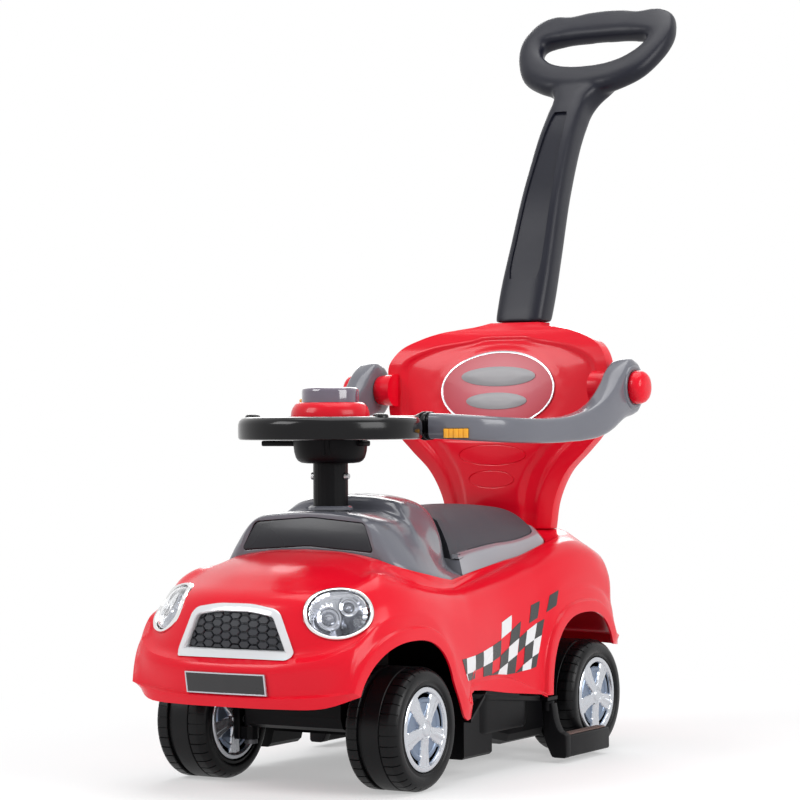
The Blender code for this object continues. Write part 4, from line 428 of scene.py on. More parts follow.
def spun(name, profile, segments, axis='Z', centre=(0, 0, 0)):
    """Draw a profile of (radius, height) points in mm and spin it about an axis."""
    centre = Vector(centre)
    along_axis = Vector((1, 0, 0)) if axis == 'X' else Vector((0, 0, 1))
    away = Vector((0, 0, 1)) if axis == 'X' else Vector((1, 0, 0))
    points = [centre + away * (r / 1000) + along_axis * (h / 1000) for r, h in profile]
    deselect()
    bpy.ops.mesh.primitive_plane_add(size=0.001, location=points[0])
    piece = bpy.context.object
    bpy.ops.object.transform_apply(location=True, rotation=True, scale=True)
    edit(piece)
    bpy.ops.mesh.merge(type='CENTER')
    bpy.ops.mesh.select_all(action='SELECT')
    for before, after in zip(points, points[1:]):
        bpy.ops.mesh.extrude_vertices_move(TRANSFORM_OT_translate={"value": tuple(after - before)})
    bpy.ops.mesh.select_all(action='SELECT')
    bpy.ops.mesh.spin(steps=segments, angle=2 * pi, center=centre, axis=along_axis)
    bpy.ops.mesh.select_all(action='SELECT')
    bpy.ops.mesh.remove_doubles(threshold=2e-6)
    bpy.ops.mesh.normals_make_consistent(inside=False)
    bpy.ops.object.mode_set(mode='OBJECT')
    piece.name = name
    return piece


def slab(name, low, high, bevel=0.001, segments=3):
    """Cube between two corners with its edges bevelled."""
    deselect()
    low, high = Vector(low), Vector(high)
    size = Vector([abs(v) for v in high - low])
    bpy.ops.mesh.primitive_cube_add(size=1.0, location=(low + high) / 2, scale=size)
    piece = bpy.context.object
    bpy.ops.object.transform_apply(location=True, rotation=True, scale=True)
    if bevel:
        edit(piece)
        bpy.ops.mesh.bevel(offset=bevel, segments=segments, affect='EDGES')
        bpy.ops.object.mode_set(mode='OBJECT')
    piece.name = name
    return piece


def skinned(name, rings, around=True, caps=True, loop=False):
    """Loft through rows of points; caps close the two ends."""
    bm = bmesh.new()
    rows = [[bm.verts.new(p) for p in ring] for ring in rings]
    pairs = list(zip(rows, rows[1:])) + ([(rows[-1], rows[0])] if loop else [])
    count = len(rows[0]) if around else len(rows[0]) - 1
    for low, high in pairs:
        for i in range(count):
            j = (i + 1) % len(low)
            bm.faces.new((low[i], low[j], high[j], high[i]))
    if caps and not loop:
        bm.faces.new(rows[0])
        bm.faces.new(rows[-1])
    bmesh.ops.remove_doubles(bm, verts=bm.verts, dist=1e-6)
    bmesh.ops.recalc_face_normals(bm, faces=bm.faces)
    closed = all(len(edge.link_faces) == 2 for edge in bm.edges)
    if closed and bm.calc_volume(signed=True) < 0:
        bmesh.ops.reverse_faces(bm, faces=bm.faces)
    return built(name, bm)


def plate(name, outline, depth, place=Matrix()):
    """Extrude a flat outline of (u, v) points by a depth, half to each side."""
    rings = [[Vector((u, v, w)) for u, v in outline] for w in (-depth / 2, depth / 2)]
    return placed(skinned(name, rings), place)


def own_copy(piece, name, place=Matrix()):
    """Copy a piece with its own mesh, moved or mirrored."""
    return placed(piece_of(name, piece.data.copy()), place)


def carried(material, *names):
    """Give CAD nodes that keep their shape a full finish."""
    for name in names:
        node = bpy.data.objects[name]
        for slot in node.material_slots:
            slot.material = material


def through(values, steps, breaks=()):
    """Smooth curve through rows of numbers that stays close to each span, with corners kept."""
    values = [Vector(v) for v in values]
    last = len(values) - 1
    fine = []
    for k in range(last):
        a, b = values[k], values[k + 1]
        before = values[k - 1] if k > 0 and k not in breaks else None
        after = values[k + 2] if k + 2 <= last and k + 1 not in breaks else None
        span = max((b - a).length, 1e-9)

        def slope(p, q, r):
            left, right = max((q - p).length, 1e-9), max((r - q).length, 1e-9)
            way = ((q - p) / left * right + (r - q) / right * left) / (left + right)
            return way * min(1.0, 2.2 * min(left, right) / span) * span
        start = slope(before, a, b) if before is not None else b - a
        end = slope(a, b, after) if after is not None else b - a
        count = steps[k] if isinstance(steps, (list, tuple)) else steps
        for i in range(count):
            t = i / count
            fine.append(a * (2 * t ** 3 - 3 * t ** 2 + 1) + start * (t ** 3 - 2 * t ** 2 + t)
                        + b * (3 * t ** 2 - 2 * t ** 3) + end * (t ** 3 - t ** 2))
    fine.append(values[-1].copy())
    return fine


# Columns of the body's skin on one side, stretch by stretch
NOSE, ARCH, LEG, SILL, REAR_ARCH, TAIL = 16, 30, 8, 10, 26, 14

ARCH_REACH, REAR_ARCH_REACH = 0.088, 0.086
ARCH_EXPONENT = 2.5
ARCH_CENTRE_LIFT = 0.008
ARCH_HEIGHT = 2 * TYRE_RADIUS + 0.0305
FRONT_ARCH_SHIFT, REAR_ARCH_SHIFT = -0.03, -0.034
FLARE_WIDTH, FLARE_STEP = 0.013, 0.0042
LEDGE_DROP, LEDGE_WIDTH = 0.01, 0.0085
WHEELBASE = 0.407


def spline(points, count):
    """Points evenly spaced along a smooth curve through the given ones, ends included."""
    points = [Vector(p) for p in points]
    if len(points) == 2:
        return [points[0].lerp(points[1], i / count) for i in range(count + 1)]
    ends = [2 * points[0] - points[1]] + points + [2 * points[-1] - points[-2]]
    fine = []
    steps = 16
    for a, b, c, d in zip(ends, ends[1:], ends[2:], ends[3:]):
        for i in range(steps):
            t = i / steps
            fine.append(0.5 * (2 * b + (c - a) * t + (2 * a - 5 * b + 4 * c - d) * t ** 2
                               + (3 * b - a - 3 * c + d) * t ** 3))
    fine.append(points[-1])
    reach = [0.0]
    for a, b in zip(fine, fine[1:]):
        reach.append(reach[-1] + (b - a).length)
    result = []
    k = 0
    for i in range(count + 1):
        goal = reach[-1] * i / count
        while k < len(reach) - 2 and reach[k + 1] < goal:
            k += 1
        span = reach[k + 1] - reach[k]
        result.append(fine[k].lerp(fine[k + 1], (goal - reach[k]) / span if span else 0.0))
    return result


def metres(rows):
    """Rows of millimetres as rows of metres."""
    return [tuple(value / 1000 for value in row) for row in rows]


def on_body(points):
    """Places on the car of points in mm, measured from the front axle."""
    return [Vector((x, y + AXLE_Y, z)) for x, y, z in metres(points)]


def arch_curve(rear, offset, inset, count):
    """One guide over a wheel arch: a superellipse grown outward by offset and set in by inset."""
    axle = WHEELBASE if rear else 0.0
    shift = REAR_ARCH_SHIFT if rear else FRONT_ARCH_SHIFT
    reach = (REAR_ARCH_REACH if rear else ARCH_REACH) + offset
    low = TYRE_RADIUS + ARCH_CENTRE_LIFT
    rise = ARCH_HEIGHT - low + offset + (0.005 if rear else 0.0)
    first, last = (179, 27) if rear else (161, 22)
    points = []
    for i in range(count + 1):
        turn = radians(first + (last - first) * i / count)
        y = shift + reach * bulge(cos(turn), 2 / ARCH_EXPONENT)
        z = low + rise * sin(turn) ** (2 / ARCH_EXPONENT)
        if rear:
            x = 0.158 - 0.004 * max(0.0, (y - shift) / reach) ** 2
        else:
            x = 0.158 - 0.018 * max(0.0, (shift - y) / reach) ** 2.6
        points.append(Vector((x - inset, AXLE_Y + axle + y, z)))
    return points


def skin_row(*guides):
    """One row of the skin; the guide of each stretch runs on from the last one's end."""
    row = []
    for guide, count in zip(guides, (NOSE, ARCH, LEG, SILL, REAR_ARCH, TAIL)):
        row += spline(row[-1:] + on_body(guide), count)[1 if row else 0:]
    return row


def lip_row(offset, inset, nose, leg, sill, tail):
    """A row that follows both wheel arches at a set distance from their lips."""
    front = arch_curve(False, offset, inset, ARCH)
    rear = arch_curve(True, offset, inset, REAR_ARCH)
    row = spline(on_body(nose) + front[:1], NOSE) + front[1:]
    row += spline(row[-1:] + on_body(leg), LEG)[1:]
    row += spline(row[-1:] + on_body(sill) + rear[:1], SILL)[1:] + rear[1:]
    return row + spline(row[-1:] + on_body(tail), TAIL)[1:]


def lip_rows():
    """The three lowest rows: the lower edge, the crest of the raised flange and its foot."""
    edge = lip_row(0.0, 0.0, nose=[(0, -152.5, 98), (60, -150, 98.2), (110, -138.5, 100)],
                   leg=[(156, 69, 93.5), (155, 84, 70), (153, 99, 69)],
                   sill=[(147.5, 109, 97.5), (150, 200, 88)],
                   tail=[(146, 479, 122.5), (120, 503, 121.5), (70, 515, 121.5),
                         (0, 519, 121.5)])
    crest = lip_row(FLARE_WIDTH, 0.0,
                    nose=[(0, -156.5, 108.5), (60, -153.5, 109), (108, -141.5, 112)],
                    leg=[(157, 82, 99), (156, 95.5, 85), (153.5, 104, 86)],
                    sill=[(148, 113, 104), (147, 200, 104)],
                    tail=[(146, 483, 135), (120, 506, 134), (70, 518, 134), (0, 522, 134)])
    foot = lip_row(FLARE_WIDTH + 0.002, FLARE_STEP,
                   nose=[(0, -152.3, 111), (60, -149.3, 111.5), (107, -137.3, 114.5)],
                   leg=[(152.8, 84, 101), (151.8, 96.5, 88), (149.3, 105, 89)],
                   sill=[(145, 114, 107), (143, 200, 107)],
                   tail=[(142.5, 482, 137.5), (118, 503, 137), (68, 514, 137), (0, 518, 137)])
    return [edge, crest, foot]


# Guides of the skin's upper rows in mm: nose, front arch, leg, sill, rear arch and tail of each
SKIN_GUIDES = [
    # foot of the sides
    ([(0, -155, 143.5), (60, -151.5, 145), (106, -139.5, 150.5), (134.5, -119, 162)],
     [(147.5, -83, 186), (153, -35, 193), (153, 20, 185), (150.5, 70, 155)],
     [(148, 115, 135)], [(144, 200, 130), (148, 265, 145)],
     [(151.5, 308, 185), (152.5, 373, 198), (151, 425, 190), (148.5, 460, 168)],
     [(127, 492, 165), (75, 510, 165), (0, 515.5, 165)]),
    # crease
    ([(0, -143, 149), (60, -139.5, 150.5), (103, -127.5, 156), (131, -108, 167.5)],
     [(145.5, -78, 189), (152, -34, 196), (152.2, 20, 189), (150, 72, 162)],
     [(147.8, 117, 144)], [(144, 200, 139), (147.8, 264, 153)],
     [(150.8, 309, 190), (151.5, 373, 201), (150, 424, 194), (147.8, 458, 175)],
     [(126.5, 490, 173), (74.5, 508.5, 173), (0, 514, 173)]),
    # face
    ([(0, -140.5, 179), (50, -137, 179.5), (92, -123, 182), (123, -96, 188)],
     [(138.5, -66, 202), (146.5, -25, 208), (148, 25, 201), (146.5, 75, 187)],
     [(145, 117, 178)], [(142, 200, 178), (145, 270, 189)],
     [(148, 320, 212), (149.5, 373, 222), (149, 420, 219), (146.5, 456, 207)],
     [(124, 486, 208), (73, 504, 209), (0, 509.5, 210)]),
    # brow
    ([(0, -132.5, 207), (45, -129, 207), (80, -115, 209.5), (111, -83, 215)],
     [(128, -55, 224), (138.5, -15, 220.5), (140, 30, 212.5), (138, 80, 204)],
     [(135, 120, 202)], [(132, 200, 211), (135, 275, 225)],
     [(140, 325, 237), (142.5, 373, 243), (142.5, 415, 240), (139.5, 448, 231)],
     [(117, 476, 233), (74, 497, 239), (0, 505, 242)]),
    # crown
    ([(0, -98, 226.5), (40, -94, 226.5), (72, -80, 227), (102, -56, 230)],
     [(118, -40, 234.5), (131, -5, 225.5), (132, 40, 216.5), (129, 85, 211)],
     [(125.5, 120, 209.5)], [(118, 200, 219), (118, 280, 233)],
     [(124, 330, 246), (127, 373, 253), (126, 412, 252), (120, 446, 245)],
     [(97, 472, 249), (62, 490.5, 256), (0, 497, 260)]),
    # halfway up the bonnet, and along the sides the foot of the low wall round the recess
    ([(0, -48, 244), (40, -47, 243), (68, -42, 241), (95, -30, 239)],
     [(111, -13, 237), (127.5, 15, 224.5), (129.5, 45, 218), (126.5, 87, 212.5)],
     [(122, 121, 210.5)], [(111, 200, 220), (107.5, 280, 233)],
     [(108.5, 330, 245), (108, 373, 253), (103, 410, 257), (94, 442, 258)],
     [(80, 465, 261.5), (52, 485, 263.5), (0, 489, 263.5)]),
    # edge of the recess that holds the cowl in front and the seat lid behind
    ([(0, 3.5, 257.5), (40, 4, 256), (70, 4.5, 252.5), (92.3, 4, 248)],
     [(109, 11, 241.5), (121.5, 30, 235), (125, 55, 230), (122.5, 88, 224.5)],
     [(117, 121, 220.5)], [(103.5, 200, 226.5), (98.5, 280, 234.5)],
     [(96, 330, 238), (92.5, 373, 244), (87, 402, 250), (74, 419, 256)],
     [(56, 426, 260), (30, 429, 262.5), (0, 430, 263.5)]),
]
def body_rows():
    """Rows of the outer skin, from the lower edge up to the rim of the recess."""
    return lip_rows() + [skin_row(*guides) for guides in SKIN_GUIDES]


def rim_row():
    """Edge of the recess that holds the cowl and the seat lid."""
    return skin_row(*SKIN_GUIDES[-1])


def ledge_rows(rim):
    """Wall down from the rim of the recess and the ledge at its foot."""
    wall = [Vector((p.x, p.y, p.z - LEDGE_DROP)) for p in rim]
    ledge = []
    for i, p in enumerate(wall):
        before, after = wall[max(i - 1, 0)], wall[min(i + 1, len(wall) - 1)]
        run = Vector((after.x - before.x, after.y - before.y, 0)).normalized()
        ledge.append(p + Vector((-run.y, run.x, 0)) * LEDGE_WIDTH)
    ledge[0].x = 0
    ledge[-1].x = 0
    return wall, ledge


def offset_outline(outline, grow):
    """Move each point of a closed flat outline outward by grow."""
    result = []
    count = len(outline)
    for i in range(count):
        before, here, after = (Vector(outline[(i + k) % count]) for k in (-1, 0, 1))
        one = (here - before).normalized()
        two = (after - here).normalized()
        normal = Vector((one.y + two.y, -one.x - two.x)).normalized()
        result.append(here + normal * grow / max(0.5, normal.dot(Vector((one.y, -one.x)))))
    return result


def rounded_outline(corners, radius, steps=4):
    """Closed outline, counterclockwise, with every corner rounded."""
    outline = []
    count = len(corners)
    for i in range(count):
        before, here, after = (Vector(corners[(i + k) % count]) for k in (-1, 0, 1))
        r = radius[i] if isinstance(radius, (list, tuple)) else radius
        one, two = (before - here).normalized(), (after - here).normalized()
        half = one.angle(two) / 2
        middle = here + (one + two).normalized() * (r / sin(half))
        start = here + one * (r / (sin(half) / cos(half)))
        turn = (pi - 2 * half) * (1 if one.x * two.y - one.y * two.x < 0 else -1)
        arm = start - middle
        for k in range(steps + 1):
            a = turn * k / steps
            outline.append(middle + Vector((arm.x * cos(a) - arm.y * sin(a),
                                            arm.x * sin(a) + arm.y * cos(a))))
    return outline


def onto_skin(tree, point, direction):
    """Where a line through the point meets a surface from outside."""
    hit = tree.ray_cast(point - direction * 0.3, direction)[0]
    return hit if hit is not None else Vector(point)


def onto_front(tree, x, z, y, lift=0.0):
    """Where a line going backward meets a surface, stood off by lift."""
    p = onto_skin(tree, Vector((x, y + AXLE_Y, z)), Vector((0, 1, 0)))
    return p + Vector((0, -lift, 0))


# Levels of the backrest in mm: height, half width, then front and back, each at middle and edge
BACKREST_LEVELS = metres([
    (264.2, 72.7, 434.5, 445, 479, 462), (300, 79, 425.5, 444, 484, 462),
    (334, 96, 426.5, 442, 490, 461), (360, 122, 429, 441, 497, 460),
    (382, 142, 432.5, 440, 503, 459), (405, 152, 437, 438.5, 511, 457),
    (436, 152.7, 443, 438, 523, 456), (468, 153, 450, 438.8, 533, 458),
    (486, 141.7, 456, 446.5, 537, 465), (499.6, 118, 464, 457.6, 539, 476),
    (507.8, 93, 471, 466, 540, 486), (512.2, 69, 478, 475, 540.5, 496),
    (516.5, 43.6, 485, 481.5, 540.5, 515), (520, 33, 490.5, 489, 540.5, 530)])


# Line of a guard arm in mm: place, then height and thickness of its section
GUARD_LINE = metres([
    (178.5, 464, 436.2, 18, 20), (178.5, 460, 436.2, 42, 28), (178.5, 449, 436.2, 62, 30),
    (178.5, 433, 436.2, 70, 30), (178.5, 413, 429, 64, 30), (178, 390, 413, 54, 29),
    (176.5, 365, 400, 44, 27), (173.5, 335, 391.5, 35, 24), (167.5, 300, 387, 30, 23),
    (160.5, 260, 385.3, 29, 23), (152, 215, 386, 29, 23), (140, 183, 387.5, 29, 23),
    (125, 164, 389, 29, 23), (100, 150, 391, 29, 23), (80, 146.5, 392, 29, 23)])


# Line of the handle's stem in mm: distance behind the front axle, height, width and depth
STEM_LINE = metres([
    (513.5, 520.7, 68, 43), (527, 556, 69, 44), (552, 618, 64, 44), (577, 680, 58, 44),
    (597, 720, 54, 44), (617.5, 757, 51, 44), (637, 784, 49, 44), (656, 806.8, 50, 43),
    (665.5, 818.5, 63, 40), (674.5, 829.5, 87, 36), (683, 840, 108, 31)])


GRIP_OUTER = metres([
    (0, -30), (35, -25), (60, -16), (88.5, 5), (106, 40), (112, 70), (109, 93), (100, 113),
    (79, 124.5), (53, 121.5), (28, 126.5), (0, 129)])


GRIP_HOLE = metres([
    (0, 20), (26, 21.5), (50, 29), (69, 45), (76.5, 62), (72.5, 72), (55, 75.5), (31.5, 77.5),
    (0, 78)])


def at_angle(outline, centre, way):
    """Point where a line from the centre in a direction meets a closed outline."""
    way = Vector(way)
    best = None
    for a, b in zip(outline, outline[1:] + outline[:1]):
        edge = b - a
        cross = way.x * edge.y - way.y * edge.x
        if abs(cross) < 1e-12:
            continue
        rel = a - centre
        t = (rel.x * edge.y - rel.y * edge.x) / cross
        s = (rel.x * way.y - rel.y * way.x) / cross
        if t > 0 and -1e-9 <= s <= 1 + 1e-9 and (best is None or t > best):
            best = t
    return centre + way * best


def lengthen(points, corners, radius):
    """Round the corners of a row of points, three points for each corner."""
    result = []
    for i, p in enumerate(points):
        if i not in corners:
            result.append(p)
            continue
        arms = []
        for q in (points[i - 1], points[i + 1]):
            reach = (q - p).length
            arms.append(p.lerp(q, min(radius / reach, 0.45) if reach else 0.0))
        result += [arms[0], (arms[0] + arms[1]) / 4 + p / 2, arms[1]]
    return result


# Fine rows in each span between the guide rows, and the guide rows that keep a corner
SPANS = [2, 1, 5, 2, 5, 5, 5, 5, 3, 1, 1]
KEPT_CORNERS = (1, 2, 9, 10)


def fine_skin():
    """Columns of the body's outside, smooth between the guide rows with rounded edges."""
    rows = body_rows()
    rows += list(ledge_rows(rows[-1]))
    corner_places = [sum(SPANS[:k]) for k in (1, 2, 9)]
    columns = []
    for i in range(len(rows[0])):
        column = through([row[i] for row in rows], SPANS, KEPT_CORNERS)
        columns.append(lengthen(column, corner_places, sizes().edge_round))
    for column in (columns[0], columns[-1]):
        for p in column:
            p.x = 0.0
    other = [[Vector((-p.x, p.y, p.z)) for p in column] for column in reversed(columns[1:-1])]
    return columns + other


def skin_tree():
    """Ray target of the body's outside."""
    columns = fine_skin()
    verts = [p for column in columns for p in column]
    height = len(columns[0])
    faces = []
    for i in range(len(columns)):
        j = (i + 1) % len(columns)
        for k in range(height - 1):
            faces.append((i * height + k, j * height + k, j * height + k + 1, i * height + k + 1))
    return BVHTree.FromPolygons(verts, faces)


LAMP_CENTRE = Vector((0.1066, -0.1002 + AXLE_Y, 0.1971))
LAMP_FACING = Vector((0.58, -0.74, 0.34)).normalized()
LAMP_HALF_WIDTH, LAMP_HALF_HEIGHT = 0.038, 0.0312


class LampOval:
    """The left headlight's oval, laid on the corner of the nose."""

    def __init__(self, tree):
        self.tree = tree
        self.out = LAMP_FACING
        self.across = Vector((0, 0, 1)).cross(self.out).normalized()
        self.up = self.out.cross(self.across)
        self.centre = onto_skin(tree, LAMP_CENTRE, -self.out)

    def point(self, u, v, lift, flat=False):
        tilt = radians(8.0)
        p = (self.centre + self.across * (u * cos(tilt) - v * sin(tilt))
             + self.up * (u * sin(tilt) + v * cos(tilt)))
        if not flat:
            p = onto_skin(self.tree, p, -self.out)
        return p + self.out * lift

    def ring(self, grow, lift, flat=False, shrink=1.0, count=64):
        wide, tall = LAMP_HALF_WIDTH * shrink + grow, LAMP_HALF_HEIGHT * shrink + grow
        return [self.point(wide * c, tall * s, lift, flat) for c, s in round_turn(count)]

    def rings(self, rows):
        """Rings in mm: how far each is grown and lifted."""
        return [self.ring(grow, lift) for grow, lift in metres(rows)]


GRILLE_FACE = -0.139
GRILLE_LOW, GRILLE_HIGH = 0.1505, 0.2


GRILLE_CORNERS = [(-0.0745, GRILLE_LOW), (0.0745, GRILLE_LOW), (0.053, GRILLE_HIGH - 0.0005),
                  (0.0215, GRILLE_HIGH + 0.0048), (-0.0215, GRILLE_HIGH + 0.0048),
                  (-0.053, GRILLE_HIGH - 0.0005)]


def grille_outline(steps=4):
    return rounded_outline(GRILLE_CORNERS, [0.0055, 0.0055, 0.015, 0.12, 0.12, 0.015], steps)


def on_nose(tree, u, v, lift):
    return onto_front(tree, u, v, GRILLE_FACE, lift)


def grille_loop(grow):
    """Outline inside the grille's frame."""
    return rounded_outline(offset_outline(GRILLE_CORNERS, grow),
                           [0.002, 0.002, 0.009, 0.11, 0.11, 0.009], 6)


def make_body():
    """Body shell in one moulding, with openings for the lamps and the grille."""
    columns = fine_skin()
    shell = skinned("body_moulding", columns, around=False, caps=False, loop=True)
    modify(shell, 'SOLIDIFY', thickness=0.0024, offset=-1.0)
    oval = LampOval(skin_tree())
    hole = skinned("lamp_hole", [oval.ring(0.0003, lift, flat=True) for lift in (-0.03, 0.04)])
    cut(shell, own_copy(hole, "lamp_hole_right", MIRROR))
    cut(shell, hole)
    outline = offset_outline(grille_outline(), 0.0003)
    cut(shell, skinned("grille_hole", [[Vector((u, GRILLE_FACE + AXLE_Y + d, v))
                                        for u, v in outline] for d in (-0.03, 0.05)]))
    hand_in(shell, "body_moulding", "car", red(), "body_shell", 32)


# Chequer foil on the side: each cell's corners as (distance, height) in millimetres
CHEQUER_BLACK = [
    ((-221, 135.2), (-209.3, 135.5), (-210.1, 118.3), (-212.8, 118.5)),
    ((-209.6, 118.3), (-185, 119.6), (-183.3, 107.2), (-207.3, 106.2)),
    ((-186.3, 136.9), (-165.8, 139.7), (-164.5, 122.6), (-184.9, 119.7)),
    ((-183.2, 107.2), (-161.4, 109.4), (-163.2, 103.7), (-183.2, 102.9)),
    ((-164.5, 122.5), (-141.9, 126.4), (-140.2, 111.6), (-161.4, 109.4)),
    ((-141.8, 144.1), (-120.1, 149.1), (-122.0, 131.3), (-141.9, 126.4)),
    ((-140.2, 111.6), (-122.8, 115.8), (-126.2, 105.9), (-145.4, 104.6)),
    ((-122.0, 131.3), (-101.9, 139.0), (-104.1, 122.4), (-122.8, 116.0)),
    ((-95.6, 158.1), (-73.8, 167.2), (-78.4, 148.5), (-100.9, 140.4)),
    ((-104.1, 122.4), (-83.6, 129.6), (-88.4, 109.1), (-105.8, 107.1)),
    ((-78.4, 148.5), (-61.7, 155.5), (-66.6, 138.0), (-81.4, 131.4)),
    ((-87.3, 109.1), (-72.8, 116.6), (-74.5, 110.3), (-86.3, 108.9)),
    ((-66.6, 138.0), (-48.0, 144.0), (-53.2, 124.2), (-71.0, 117.8)),
    ((-40.0, 163.0), (-24.9, 166.8), (-31.7, 148.7), (-46.9, 144.3)),
    ((-53.0, 124.4), (-39.9, 128.4), (-46.3, 113.2), (-57.0, 111.4)),
    ((-49.3, 183.9), (-30.0, 187.8), (-38.2, 168.8), (-56.7, 163.7)),
    ((-9.7, 193.2), (9.6, 198.4), (0.5, 181.0), (-20.2, 174.1)),
]
CHEQUER_WHITE = [
    ((-212.8, 118.5), (-209.7, 118.2), (-207.3, 106.2), (-208.4, 105.5)),
    ((-209.2, 135.5), (-186.4, 136.9), (-185.0, 119.6), (-209.8, 118.3)),
    ((-207.3, 106.1), (-183.3, 107.1), (-183.3, 103.0), (-206.6, 102.2)),
    ((-165.8, 139.7), (-141.9, 144.0), (-142.0, 126.4), (-164.5, 122.6)),
    ((-161.3, 109.4), (-140.3, 111.5), (-145.6, 104.6), (-162.9, 103.8)),
    ((-122.8, 115.9), (-104.2, 122.0), (-105.9, 107.0), (-126.2, 105.8)),
    ((-116.9, 168.6), (-92.7, 175.3), (-95.8, 158.0), (-119.9, 150.3)),
    ((-101.8, 139.7), (-79.0, 148.2), (-83.3, 129.8), (-103.9, 122.6)),
    ((-61.6, 155.6), (-40.1, 162.9), (-47.2, 144.1), (-66.5, 138.1)),
    ((-72.7, 116.7), (-53.5, 123.9), (-57.3, 111.4), (-74.4, 110.2)),
    ((-47.6, 144.2), (-31.8, 148.6), (-39.7, 128.5), (-53.4, 124.4)),
]


def crease(y):
    """Height of the sill's crease under the foils."""
    return 0.1108 - 0.011 * ease(y, -0.115, -0.082)


def make_chequers():
    """Foils on both sides: every check is a thin plate that follows the body."""
    tree = skin_tree()
    for side, label in SIDES:
        foils = []
        for index, cells in enumerate((CHEQUER_BLACK, CHEQUER_WHITE)):
            for cell in cells:
                (a, b, c, d) = [Vector((y, max(z, crease(y)))) for y, z in metres(cell)]
                if max(a.y, b.y) - min(c.y, d.y) < 0.001:
                    continue
                rows = []
                for i in range(7):
                    row = []
                    for k in range(7):
                        q = a.lerp(b, k / 6).lerp(d.lerp(c, k / 6), i / 6)
                        p = onto_skin(tree, Vector((0.15, q.x, q.y)), Vector((-1, 0, 0)))
                        row.append(Vector((side * (p.x + sizes().foil_lift), p.y, p.z)))
                    rows.append(row if side > 0 else row[::-1])
                foil = skinned("foil", rows, around=False, caps=False)
                if sum(f.normal.x for f in foil.data.polygons) * side < 0:
                    foil.data.flip_normals()
                modify(foil, 'SOLIDIFY', thickness=0.0002, offset=1.0)
                for material in (foil_black(), foil_white()):
                    foil.data.materials.append(material)
                for polygon in foil.data.polygons:
                    polygon.material_index = index
                foils.append(foil)
        hand_in(unify(foils), "chequer_foil_" + label, "car",
                [foil_black(), foil_white()])


def make_headlights():
    """Bezel, clear lens, fluted reflector and two round lamps on each side."""
    oval = LampOval(skin_tree())
    bezel = skinned("bezel", oval.rings([(-0.3, -8), (0, 0.6), (-0.4, 1.8), (-1.4, 2.7),
                                         (-2.6, 2.7), (-3.8, 1.8), (-4.4, 0.4), (-5, -8)]),
                    loop=True)
    lens = skinned("lens", [oval.ring(0, 0.001, shrink=0.03), oval.ring(0, 0.0008, shrink=0.40),
                            oval.ring(0, -0.0006, shrink=0.70),
                            *oval.rings([(-5.4, -4), (-5.2, -1), (-6, 0.2)]),
                            oval.ring(0, 0.003, shrink=0.70), oval.ring(0, 0.0046, shrink=0.40),
                            oval.ring(0, 0.0052, shrink=0.03)])
    bowl_rings = []
    for shrink, lift in ((0.82, -0.0046), (0.78, -0.0056), (0.70, -0.008), (0.60, -0.011),
                         (0.48, -0.014), (0.34, -0.016), (0.10, -0.0168)):
        ring = oval.ring(0, lift, shrink=shrink, count=96)
        middle = sum(ring, Vector()) / len(ring)
        for i, p in enumerate(ring):
            ring[i] = p.lerp(middle, 0.012 * (1 + cos(2 * pi * 24 * i / 96)))
        bowl_rings.append(ring)
    back = [[p - oval.out * 0.0012 for p in ring] for ring in reversed(bowl_rings)]
    bowl = skinned("reflector", bowl_rings + back, caps=False)
    edit(bowl, 'DESELECT')
    bpy.ops.mesh.select_non_manifold()
    bpy.ops.mesh.bridge_edge_loops()
    bpy.ops.object.mode_set(mode='OBJECT')
    lamps = []
    for u, v, r in ((-0.0105, -0.004, 12.8), (0.0125, 0.0055, 10.0)):
        lamp = spun("lamp", [(0, 0), (r * 0.35, 0.2), (r * 0.55, 1.6), (r * 0.62, 3),
                             (r * 0.8, 3.6), (r * 0.86, 5.2), (r, 5.8), (r * 1.04, 4.4),
                             (r * 0.98, -4)], 40)
        bulb = spun("bulb", [(0, 5.6), (r * 0.16, 5.2), (r * 0.24, 3.6), (r * 0.26, 0)], 24)
        frame_at = Matrix((oval.across, oval.up, oval.out)).transposed().to_4x4()
        lamps.append(placed(unify([lamp, bulb]),
                            Matrix.Translation(oval.point(u, v, -0.0112)) @ frame_at))
    lamps = unify(lamps)
    edit(lamps, 'DESELECT')
    bpy.ops.mesh.select_non_manifold()
    bpy.ops.mesh.edge_face_add()
    bpy.ops.object.mode_set(mode='OBJECT')
    bowl = unify([bowl, lamps])
    for side, label in SIDES:
        for piece, slot, material, node, angle in (
                (bezel, "bright_trim", chrome(), "headlight_bezel_", 50),
                (lens, "lamp_lens", clear_lens(), "headlight_lens_", 60),
                (bowl, "bright_trim", lamp_silver(), "headlight_reflector_", 40)):
            made = sided(own_copy(piece, piece.name), side)
            hand_in(made, node.replace("headlight", "lamp") + label, "car", material,
                    node + label, angle)
    for piece in (bezel, lens, bowl):
        remove(piece)


def clip(shape, outline):
    """The part of a flat shape inside a convex counterclockwise outline."""
    for i in range(len(outline)):
        a, b = outline[i], outline[(i + 1) % len(outline)]
        edge = b - a
        kept = []
        for k in range(len(shape)):
            p, q = shape[k], shape[(k + 1) % len(shape)]
            one = edge.x * (p.y - a.y) - edge.y * (p.x - a.x)
            two = edge.x * (q.y - a.y) - edge.y * (q.x - a.x)
            if one >= 0:
                kept.append(p)
            if (one >= 0) != (two >= 0):
                kept.append(p.lerp(q, one / (one - two)))
        shape = kept
        if len(shape) < 3:
            return []
    return shape


def area(shape):
    return 0.5 * sum(p.x * q.y - q.x * p.y for p, q in zip(shape, shape[1:] + shape[:1]))


